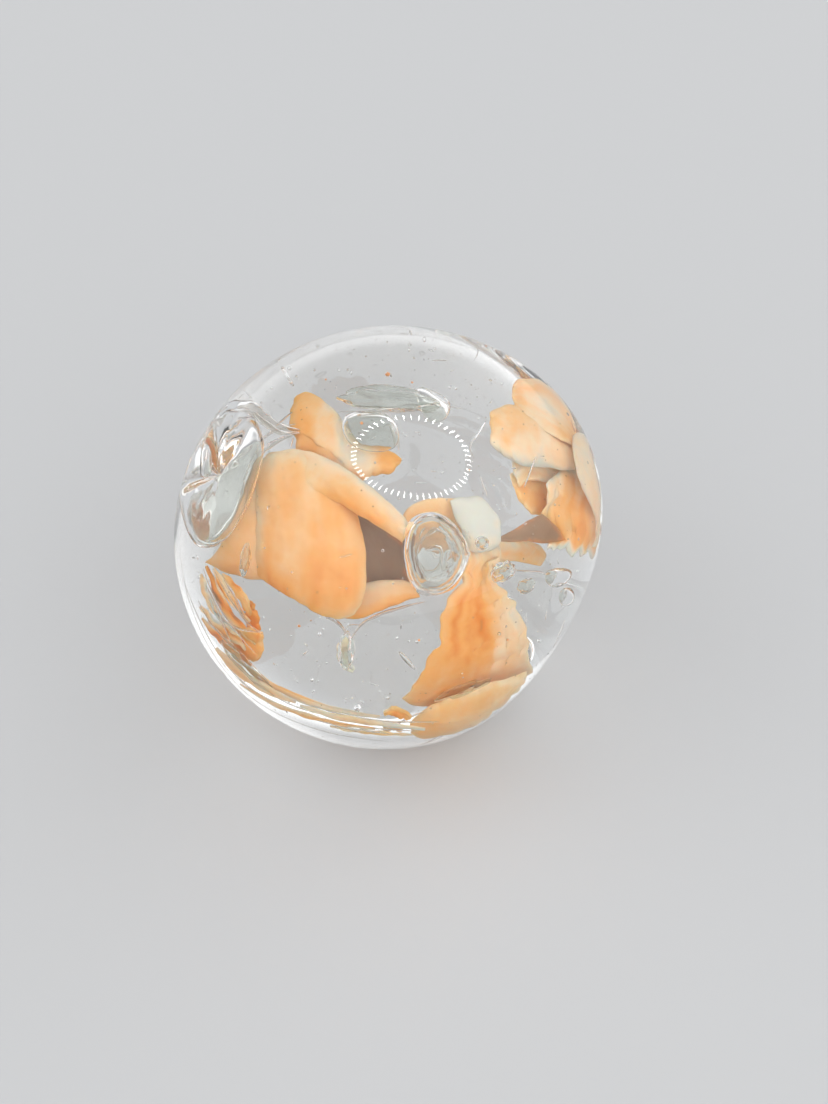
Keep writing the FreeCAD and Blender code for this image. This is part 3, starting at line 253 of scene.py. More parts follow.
def blob(c, outline, d, half, lumps=0.06, seed=1, rings=22):
    """a flattened bubble with the given outline; its faces bulge towards d and away from it"""
    c, d = np.array(c), np.array(d)
    edge = fine(np.array(outline + outline[:1])[:, None, :].repeat(2, 1), 4)[:-1, 0, :]
    k = len(edge)
    verts, faces = [], []
    rho = np.sin(np.linspace(0, np.pi / 2, rings + 1))[1:]
    for side in (1, -1):
        for q in rho:
            p = c + (edge - c) * q
            bulge = half * (1 - q ** 2.6) ** 0.5
            if q < 1:
                lump = np.array([1 + lumps * 2 * noise.noise(Vector(x) * 0.28 + Vector((seed * side, 1, 2))) + lumps * noise.noise(Vector(x) * 0.8) for x in p])
            else:
                lump = np.ones(k)
            verts.append(p + d * (side * bulge * lump)[:, None])
    verts = np.vstack(verts)
    hubs = [c + d * half, c - d * half]
    nr = rings
    def at(s, j, i):
        return (s * nr + j) * k + i % k
    for s in (0, 1):
        hub = 2 * nr * k + s
        for i in range(k):
            faces.append([hub, at(s, 0, i), at(s, 0, i + 1)] if s == 0 else [hub, at(s, 0, i + 1), at(s, 0, i)])
            for j in range(nr - 1):
                f = [at(s, j, i), at(s, j + 1, i), at(s, j + 1, i + 1), at(s, j, i + 1)]
                faces.append(f if s == 0 else f[::-1])
    verts = np.vstack([verts, hubs])
    # both sides share the outline: weld the outer rings
    last = {at(1, nr - 1, i): at(0, nr - 1, i) for i in range(k)}
    faces = [[last.get(i, i) for i in f] for f in faces]
    f = faces[1]
    nrm = np.cross(verts[f[1]] - verts[f[0]], verts[f[2]] - verts[f[1]])
    if np.dot(nrm, d) > 0:       # wound inwards
        faces = [g[::-1] for g in faces]
    used = sorted({i for f in faces for i in f})
    back = {i: n for n, i in enumerate(used)}
    return verts[used], [[back[i] for i in f] for f in faces]


BUBBLES = {
    "centre": ([7.42, -19.86, 45.22], [4.969, 0.052, -0.058], [0.015, -3.859, -4.681], [-0.064, 0.779, -0.624], 3.36, {'shape': ([0, 20, 41, 70, 97, 122, 143, 166, 194, 214, 230, 263, 294, 323, 349], [1.0, 0.94, 0.93, 0.96, 1.0, 1.06, 1.02, 0.97, 1.03, 1.1, 1.11, 1.03, 0.9, 0.86, 0.94]), 'lumps': 0.03, 'seed': 3, 'flat': 0.8, 'dimple': 0.25, 'crumple': 3.6}),
    "small": ([13.93, -17.45, 45.29], [1.064, 0.014, -0.009], [-0.001, -0.643, -0.780], [-0.117, 0.769, -0.629], 0.75, {}),
    "pinched": ([16.64, -17.01, 39.63], [1.718, 0.596, 0.681], [0.711, -0.707, -0.875], [-0.152, 0.788, -0.597], 1.00, {'lumps': 0.3, 'seed': 2}),
    "upper": ([0.61, -1.25, 58.94], [6.582, -0.241, -0.453], [-0.130, -1.284, -1.555], [-0.015, 0.642, -0.766], 0.90, {'lumps': 0.45, 'seed': 9}),
    "almond": ([-20.32, -15.57, 40.55], [0.827, -0.044, -0.073], [-0.429, -1.464, -1.765], [0.171, 0.776, -0.606], 0.45, {'lumps': 0.2, 'seed': 11}),
    "stub": ([-5.65, -23.26, 30.27], [1.136, 0.033, 0.013], [-0.076, -1.737, -2.105], [0.034, 0.850, -0.526], 0.70, {'lumps': 0.3, 'seed': 4}),
    "lens": ([20.12, -17.24, 37.18], [1.268, 0.405, 0.461], [0.620, -0.571, -0.707], [-0.204, 0.797, -0.568], 0.45, {'lumps': 0.3, 'seed': 8}),
    "glint": ([10.94, -24.36, 23.53], [3.500, 0.885, 0.988], [0.369, -0.561, -0.690], [-0.140, 0.893, -0.427], 0.14, {'lumps': 0.5, 'seed': 1}),
    "low": ([-21.75, -23.98, 25.58], [4.395, -2.542, -3.190], [-1.250, -0.779, -0.914], [0.249, 0.878, -0.409], 0.50, {'lumps': 0.4, 'seed': 6}),
}

BLOBS = {
    "flank": ([-24.49, -5.16, 48.12], [[-21.48, 9.55, 47.19], [-19.96, 6.42, 49.83], [-18.91, 2.85, 51.70], [-18.18, -0.53, 52.60], [-17.71, -3.28, 52.75], [-17.78, -5.53, 52.35], [-18.22, -7.43, 51.62], [-18.71, -9.08, 50.69], [-19.28, -10.52, 49.64], [-20.01, -11.80, 48.50], [-20.88, -12.90, 47.26], [-21.88, -13.78, 45.89], [-23.08, -14.34, 44.40], [-24.62, -14.42, 42.79], [-26.59, -13.48, 41.02], [-28.63, -11.23, 39.50], [-29.97, -8.50, 39.21], [-30.86, -5.75, 39.28], [-31.46, -2.94, 39.35], [-31.75, 0.20, 39.24], [-31.69, 4.76, 37.94], [-30.94, 3.56, 41.24], [-30.13, 4.52, 42.66], [-29.11, 5.75, 43.71], [-27.78, 7.19, 44.32], [-26.22, 8.91, 44.41], [-24.66, 11.01, 44.10], [-23.06, 12.66, 43.85]], [0.256, 0.672, -0.695], 2.00),
    "drop": ([-28.61, -3.33, 50.41], [[-28.85, 1.67, 50.26], [-28.29, -0.20, 51.18], [-27.83, -2.34, 51.71], [-27.62, -3.76, 51.78], [-27.58, -4.77, 51.63], [-27.56, -5.72, 51.40], [-27.58, -6.64, 51.08], [-27.88, -7.05, 50.48], [-28.65, -6.50, 49.48], [-29.33, -5.29, 48.75], [-29.60, -3.92, 48.65], [-29.65, -2.59, 48.81], [-29.66, -1.45, 48.93], [-29.63, -0.43, 49.04], [-29.51, 0.58, 49.25], [-29.26, 1.65, 49.59]], [0.343, 0.612, -0.712], 0.45),
    "upper_fold": ([-2.20, -5.87, 56.58], [[-5.85, -2.66, 56.54], [-4.97, -2.14, 56.79], [-3.79, -2.11, 57.00], [-2.56, -2.25, 57.14], [-1.41, -2.43, 57.21], [-0.36, -2.80, 57.21], [0.61, -3.51, 57.12], [1.40, -4.54, 56.92], [1.87, -5.84, 56.62], [1.93, -7.23, 56.24], [1.52, -8.39, 55.90], [0.65, -9.08, 55.69], [-0.51, -9.34, 55.59], [-1.74, -9.31, 55.54], [-2.89, -9.08, 55.52], [-3.95, -8.60, 55.54], [-4.90, -7.83, 55.63], [-5.67, -6.75, 55.79], [-6.16, -5.39, 56.02], [-6.24, -3.88, 56.28]], [0.006, 0.685, -0.729], 0.70),
    "upper_right": ([6.86, -1.08, 57.44], [[4.60, 2.11, 57.88], [5.20, 2.43, 57.74], [6.08, 2.30, 57.56], [7.04, 1.96, 57.34], [7.94, 1.57, 57.10], [8.67, 1.07, 56.88], [9.15, 0.33, 56.73], [9.30, -0.77, 56.67], [9.10, -2.05, 56.67], [8.58, -3.21, 56.73], [7.79, -4.03, 56.87], [6.92, -4.43, 57.06], [6.15, -4.33, 57.28], [5.59, -3.74, 57.50], [5.16, -2.77, 57.71], [4.79, -1.51, 57.89], [4.49, -0.11, 57.99], [4.39, 1.19, 57.98]], [-0.068, 0.648, -0.758], 0.55),
    "sparkle_1": ([25.13, -13.86, 36.16], [[23.32, -16.08, 38.19], [23.66, -15.49, 38.41], [24.29, -14.59, 38.14], [25.09, -13.46, 37.46], [25.90, -12.22, 36.50], [26.55, -11.14, 35.43], [26.84, -10.67, 34.55], [26.70, -11.13, 34.10], [26.23, -12.19, 34.03], [25.61, -13.41, 34.26], [24.94, -14.54, 34.73], [24.29, -15.46, 35.44], [23.74, -16.06, 36.40], [23.37, -16.28, 37.43]], [-0.301, 0.784, -0.543], 0.50),
    "sparkle_2": ([26.88, -14.40, 32.70], [[25.90, -15.87, 34.69], [26.37, -15.08, 34.69], [26.97, -14.07, 34.16], [27.51, -13.11, 33.19], [27.86, -12.41, 31.99], [27.97, -12.11, 30.88], [27.78, -12.48, 30.29], [27.30, -13.52, 30.42], [26.70, -14.71, 31.06], [26.18, -15.65, 32.03], [25.84, -16.17, 33.13], [25.73, -16.24, 34.10]], [-0.377, 0.797, -0.472], 0.40),
}

HAIRS = {
    "rim_1": (0.26, 0.12, [(-33.14, -8.63, 36.89), (-33.02, -9.62, 35.77), (-32.83, -10.59, 34.65), (-32.60, -11.50, 33.50), (-32.34, -12.30, 32.28), (-32.02, -13.08, 31.06), (-31.60, -13.94, 29.91), (-31.11, -14.80, 28.78), (-30.58, -15.59, 27.63), (-30.03, -16.27, 26.43), (-29.40, -16.96, 25.24), (-28.70, -17.64, 24.08), (-27.94, -18.31, 22.95), (-27.13, -18.94, 21.85), (-26.28, -19.53, 20.79), (-25.36, -20.12, 19.74), (-24.36, -20.71, 18.74), (-23.30, -21.34, 17.86), (-22.18, -22.06, 17.20), (-21.01, -22.92, 16.79), (-19.75, -23.83, 16.50), (-18.42, -24.72, 16.27), (-17.05, -25.57, 16.08), (-15.67, -26.36, 15.94), (-14.28, -27.08, 15.85), (-12.88, -27.70, 15.72), (-11.45, -28.23, 15.56), (-10.00, -28.67, 15.38), (-8.55, -29.04, 15.21), (-7.09, -29.37, 15.10), (-5.63, -29.63, 15.01), (-4.17, -29.76, 14.83), (-2.70, -29.78, 14.57), (-1.23, -29.69, 14.25), (0.26, -29.50, 13.90), (1.75, -29.23, 13.53)]),
    "rim_2": (0.34, 0.12, [(-32.15, -9.75, 32.38), (-31.67, -11.23, 31.77), (-31.15, -12.57, 31.06), (-30.59, -13.79, 30.28), (-30.01, -14.89, 29.43), (-29.40, -15.89, 28.49), (-28.76, -16.79, 27.48), (-28.07, -17.62, 26.44), (-27.33, -18.42, 25.43), (-26.54, -19.21, 24.50), (-25.66, -20.01, 23.59), (-24.71, -20.80, 22.71), (-23.70, -21.58, 21.90), (-22.63, -22.38, 21.21), (-21.52, -23.22, 20.70), (-20.32, -24.09, 20.32), (-19.04, -24.96, 20.01), (-17.71, -25.80, 19.74), (-16.35, -26.59, 19.52), (-14.98, -27.30, 19.35), (-13.60, -27.94, 19.19), (-12.19, -28.50, 19.00), (-10.77, -28.98, 18.80), (-9.32, -29.38, 18.60), (-7.87, -29.71, 18.40), (-6.43, -29.97, 18.22), (-4.98, -30.15, 18.00), (-3.52, -30.23, 17.73), (-2.06, -30.20, 17.40), (-0.59, -30.09, 17.02), (0.88, -29.87, 16.62), (2.36, -29.56, 16.18)]),
    "rim_3": (0.42, 0.12, [(-25.23, -18.06, 22.64), (-24.31, -18.83, 21.77), (-23.34, -19.63, 21.03), (-22.30, -20.48, 20.44), (-21.21, -21.39, 20.03), (-20.03, -22.34, 19.73), (-18.77, -23.28, 19.51), (-17.48, -24.19, 19.36), (-16.17, -25.04, 19.26), (-14.83, -25.82, 19.20), (-13.46, -26.52, 19.13), (-12.07, -27.15, 19.06), (-10.67, -27.71, 19.00), (-9.26, -28.18, 18.95), (-7.85, -28.56, 18.84), (-6.42, -28.85, 18.69), (-4.99, -29.05, 18.52), (-3.56, -29.18, 18.35), (-2.13, -29.25, 18.19), (-0.69, -29.22, 18.00), (0.74, -29.09, 17.73), (2.18, -28.85, 17.40), (3.61, -28.51, 17.02), (5.05, -28.07, 16.59)]),
    "rim_4": (0.25, 0.10, [(-22.49, -19.70, 23.80), (-21.48, -20.46, 22.97), (-20.40, -21.21, 22.22), (-19.28, -21.95, 21.60), (-18.09, -22.72, 21.12), (-16.83, -23.45, 20.67), (-15.51, -24.16, 20.28), (-14.15, -24.85, 19.99), (-12.77, -25.53, 19.88), (-11.35, -26.19, 19.88), (-9.89, -26.78, 19.90), (-8.41, -27.29, 19.90), (-6.92, -27.69, 19.87), (-5.44, -27.98, 19.78), (-3.97, -28.16, 19.62), (-2.49, -28.23, 19.42), (-1.00, -28.21, 19.16), (0.48, -28.09, 18.87)]),
    "rim_5": (0.20, 0.10, [(-28.18, -15.19, 23.97), (-27.36, -16.16, 23.07), (-26.47, -17.15, 22.27), (-25.52, -18.16, 21.57), (-24.51, -19.19, 21.00), (-23.44, -20.23, 20.56), (-22.29, -21.31, 20.22), (-21.05, -22.40, 19.96), (-19.75, -23.44, 19.75), (-18.41, -24.43, 19.59), (-17.06, -25.34, 19.49), (-15.68, -26.18, 19.41), (-14.27, -26.92, 19.30), (-12.83, -27.58, 19.18), (-11.38, -28.16, 19.05), (-9.92, -28.64, 18.92), (-8.46, -29.04, 18.78), (-6.99, -29.35, 18.60), (-5.52, -29.56, 18.38), (-4.04, -29.68, 18.12), (-2.55, -29.71, 17.84), (-1.05, -29.66, 17.55)]),
    "rim_6": (0.30, 0.10, [(-12.79, -25.07, 21.59), (-11.39, -25.60, 21.25), (-9.97, -26.04, 20.91), (-8.53, -26.41, 20.58), (-7.09, -26.71, 20.29), (-5.63, -26.96, 20.08), (-4.16, -27.14, 19.88), (-2.67, -27.21, 19.62), (-1.18, -27.19, 19.34), (0.32, -27.08, 19.07), (1.81, -26.93, 18.88), (3.30, -26.70, 18.70), (4.78, -26.33, 18.42), (6.25, -25.81, 18.02), (7.71, -25.12, 17.49)]),
    "crease_1": (0.26, 0.26, [(-9.42, -19.15, 34.54), (-8.37, -19.89, 34.29), (-7.28, -20.55, 34.00), (-6.35, -21.22, 33.52), (-5.64, -21.87, 32.68), (-5.05, -22.44, 31.69)]),
    "crease_2": (0.24, 0.24, [(-5.05, -22.44, 31.69), (-4.27, -22.31, 33.30), (-3.21, -22.11, 34.61), (-1.85, -21.89, 35.47), (-0.41, -21.62, 36.03), (1.08, -21.16, 36.28), (2.57, -20.62, 36.42), (4.05, -19.98, 36.47), (5.53, -19.24, 36.39)]),
    "crease_3": (0.12, 0.12, [(-5.72, -21.44, 32.58), (-5.54, -21.46, 33.31), (-5.22, -21.51, 33.72), (-4.68, -21.61, 33.93), (-4.16, -21.71, 34.00), (-3.63, -21.80, 34.07)]),
    "swirl_1": (0.90, 0.25, [(-27.36, 5.62, 46.53), (-26.35, 8.03, 46.00), (-25.18, 9.62, 45.88), (-23.89, 10.67, 46.13), (-22.53, 10.48, 47.25), (-21.19, 8.13, 49.34), (-19.73, 6.43, 50.77), (-18.59, 4.39, 51.52), (-17.50, 2.16, 51.98), (-16.26, 0.52, 52.25), (-14.94, -0.67, 52.42), (-13.54, -1.27, 52.55), (-12.06, -1.64, 52.65)]),
    "swirl_2": (0.45, 0.16, [(-22.44, 7.18, 49.73), (-20.74, 5.04, 51.29), (-19.23, 3.41, 52.13), (-17.97, 1.26, 52.56), (-16.62, -0.39, 52.63), (-15.16, -1.59, 52.47), (-13.63, -1.82, 52.34), (-12.02, -1.65, 52.21)]),
    "swirl_3": (0.70, 0.20, [(-12.05, -2.01, 52.40), (-13.52, -1.87, 51.79), (-14.87, -1.93, 51.12), (-16.10, -2.14, 50.43), (-17.27, -2.58, 49.65), (-18.29, -3.32, 48.85), (-19.02, -4.36, 48.18), (-19.62, -5.74, 47.60), (-20.22, -7.16, 47.01), (-20.87, -8.37, 46.28), (-21.54, -9.47, 45.45), (-22.26, -10.39, 44.50), (-23.06, -11.12, 43.40), (-23.92, -11.65, 42.17)]),
    "swirl_4": (0.42, 0.14, [(-12.64, -0.55, 52.84), (-14.05, -0.41, 52.29), (-15.36, -0.48, 51.71), (-16.57, -0.69, 51.10), (-17.71, -1.06, 50.46), (-18.77, -1.76, 49.77), (-19.56, -2.78, 49.23), (-20.17, -4.12, 48.72), (-20.65, -5.53, 48.21), (-21.04, -7.02, 47.72), (-21.48, -8.41, 47.16), (-22.03, -9.59, 46.41), (-22.68, -10.54, 45.52), (-23.46, -11.21, 44.49), (-24.43, -11.53, 43.23), (-25.54, -11.42, 41.88), (-26.82, -10.77, 40.34), (-28.27, -9.44, 38.45)]),
    "swirl_5": (0.30, 0.12, [(-17.67, -0.16, 51.72), (-18.04, -0.76, 51.37), (-18.22, -1.47, 51.16), (-18.28, -2.25, 51.02), (-18.16, -3.15, 51.01), (-17.78, -4.21, 51.17)]),
    "swirl_6": (0.30, 0.12, [(-31.79, -1.54, 40.70), (-31.43, -3.65, 40.28), (-30.91, -5.70, 39.97), (-30.23, -7.72, 39.68), (-29.14, -9.86, 39.69), (-27.63, -11.78, 40.21), (-25.96, -13.20, 41.27), (-24.39, -13.74, 42.77)]),
    "skirt_line": (0.16, 0.10, [(15.68, -11.56, 36.51), (17.07, -10.96, 35.39), (18.47, -10.00, 34.42), (19.83, -8.74, 33.40), (21.07, -7.68, 32.11), (22.27, -6.70, 30.73), (23.38, -5.36, 29.19), (24.36, -2.98, 27.20)]),
    "skirt_line_2": (0.20, 0.12, [(16.74, -12.72, 38.44), (16.07, -13.55, 38.46), (15.62, -14.20, 38.17), (15.32, -14.76, 37.57), (15.40, -14.95, 36.80), (16.00, -14.62, 35.75)]),
    "fold_line": (0.12, 0.12, [(15.45, -11.09, 40.65), (16.63, -9.84, 40.44), (17.82, -8.47, 39.99), (19.02, -7.02, 39.36), (20.14, -5.44, 38.76), (21.14, -3.58, 38.10)]),
    "leaf_line_3": (0.24, 0.12, [(1.15, -21.49, 16.00), (1.88, -22.17, 17.04), (2.65, -22.63, 17.86), (3.45, -22.89, 18.47), (4.27, -23.02, 18.93), (5.13, -23.01, 19.22)]),
    "top_1": (0.10, 0.10, [(12.78, 18.78, 51.57), (13.13, 16.82, 53.06), (13.32, 15.11, 54.20), (13.36, 13.52, 55.19), (13.24, 11.95, 56.09), (12.97, 10.42, 56.94)]),
    "top_2": (0.12, 0.12, [(6.71, 6.57, 60.46), (7.21, 6.94, 60.25), (7.72, 7.23, 60.05), (8.22, 7.45, 59.85), (8.72, 7.58, 59.66), (9.22, 7.62, 59.48)]),
    "top_3": (0.30, 0.12, [(-0.26, -3.28, 55.74), (0.76, -2.90, 55.78), (1.25, -4.04, 55.60), (1.55, -5.38, 55.20), (1.77, -6.46, 54.71), (1.89, -7.52, 54.15)]),
    "top_4": (0.22, 0.12, [(-6.82, -1.30, 55.99), (-5.28, -1.63, 56.44), (-3.73, -1.92, 56.80), (-2.17, -2.17, 57.05), (-0.61, -2.32, 57.21), (0.95, -2.36, 57.27), (2.51, -2.23, 57.22), (4.07, -1.96, 57.08), (5.63, -1.57, 56.85), (7.18, -1.04, 56.52)]),
    "top_5": (0.24, 0.12, [(5.62, 2.17, 57.88), (6.60, 1.21, 57.71), (7.60, 0.34, 57.46), (8.62, -0.35, 57.13), (9.75, -0.56, 56.71), (10.98, -0.42, 56.20)]),
    "right_1": (0.24, 0.12, [(14.01, 1.01, 52.17), (13.48, -0.87, 52.53), (12.89, -2.62, 52.76), (12.13, -4.29, 52.94), (12.03, -5.61, 52.68), (12.56, -6.65, 52.05)]),
    "right_2": (0.12, 0.12, [(20.95, -0.07, 47.02), (20.75, -1.66, 47.21), (20.52, -3.16, 47.29), (20.26, -4.57, 47.28), (19.97, -5.91, 47.20), (19.67, -7.17, 47.05)]),
    "right_3": (0.30, 0.12, [(30.75, 7.44, 41.36), (31.20, 6.44, 40.57), (31.60, 5.46, 39.74), (31.95, 4.38, 38.95), (32.26, 3.54, 37.94), (32.49, 1.99, 37.40)]),
    "tail_line_1": (0.22, 0.12, [(-28.18, -15.10, 38.32), (-27.60, -16.13, 37.26), (-26.94, -17.11, 36.22), (-26.23, -18.05, 35.20), (-25.42, -18.98, 34.22), (-24.55, -19.85, 33.27), (-23.62, -20.68, 32.34), (-22.64, -21.46, 31.44), (-21.62, -22.17, 30.52), (-20.56, -22.81, 29.61), (-19.47, -23.38, 28.70)]),
    "tail_line_2": (0.20, 0.12, [(-25.73, -16.04, 38.44), (-24.87, -17.18, 37.51), (-23.97, -18.23, 36.57), (-23.00, -19.22, 35.64), (-22.01, -20.11, 34.66), (-21.04, -20.86, 33.57), (-20.07, -21.48, 32.39)]),
    "tail_line_3": (0.24, 0.12, [(-29.31, -15.59, 32.24), (-28.49, -16.57, 31.18), (-27.56, -17.60, 30.29), (-26.52, -18.66, 29.56), (-25.33, -19.80, 29.02), (-24.11, -20.84, 28.48), (-22.86, -21.78, 27.94), (-21.56, -22.65, 27.42)]),
    "tail_line_4": (0.20, 0.12, [(-24.13, -17.17, 37.90), (-23.19, -18.34, 37.06), (-22.31, -19.33, 36.05), (-21.55, -20.10, 34.76), (-20.74, -20.78, 33.48), (-19.63, -21.61, 32.67), (-18.23, -22.55, 32.19)]),
    "tail_line_5": (0.20, 0.12, [(-26.90, -16.19, 32.71), (-25.82, -17.34, 31.90), (-24.59, -18.54, 31.48), (-23.22, -19.77, 31.42), (-21.64, -21.07, 31.67), (-20.03, -22.20, 32.26), (-18.36, -23.20, 32.96)]),
    "tail_line_6": (0.30, 0.14, [(-27.55, -16.19, 35.90), (-26.70, -17.45, 34.93), (-25.91, -18.47, 33.75), (-25.19, -19.24, 32.33), (-24.48, -19.84, 30.78), (-23.72, -20.34, 29.19), (-22.92, -20.70, 27.54)]),
    "heart_1": (0.42, 0.18, [(9.69, -15.98, 40.63), (9.20, -16.78, 39.60), (8.31, -17.55, 38.85), (6.98, -18.09, 38.93), (5.64, -18.32, 39.51), (4.73, -18.09, 40.62), (4.40, -17.52, 41.88), (4.51, -16.76, 43.06), (5.08, -15.92, 44.02), (5.88, -15.03, 44.78), (7.03, -14.26, 45.07), (8.29, -14.20, 44.38), (9.22, -14.51, 43.32), (9.80, -15.02, 42.11), (9.77, -15.77, 40.93)]),
    "heart_2": (0.50, 0.20, [(5.33, -16.27, 43.42), (6.17, -15.24, 44.38), (7.61, -14.40, 44.58), (8.92, -14.58, 43.47), (9.18, -15.42, 42.09), (8.49, -16.43, 41.05)]),
    "heart_3": (0.34, 0.16, [(5.05, -17.24, 42.05), (5.88, -17.47, 41.17), (7.05, -17.09, 41.07), (7.81, -16.38, 41.72), (7.29, -15.94, 42.79), (6.16, -16.40, 42.81)]),
    "heart_4": (0.40, 0.16, [(5.86, -18.09, 39.89), (6.64, -18.09, 39.27), (7.38, -17.87, 39.09), (8.10, -17.42, 39.42), (8.68, -16.95, 39.82), (9.16, -16.44, 40.34)]),
}

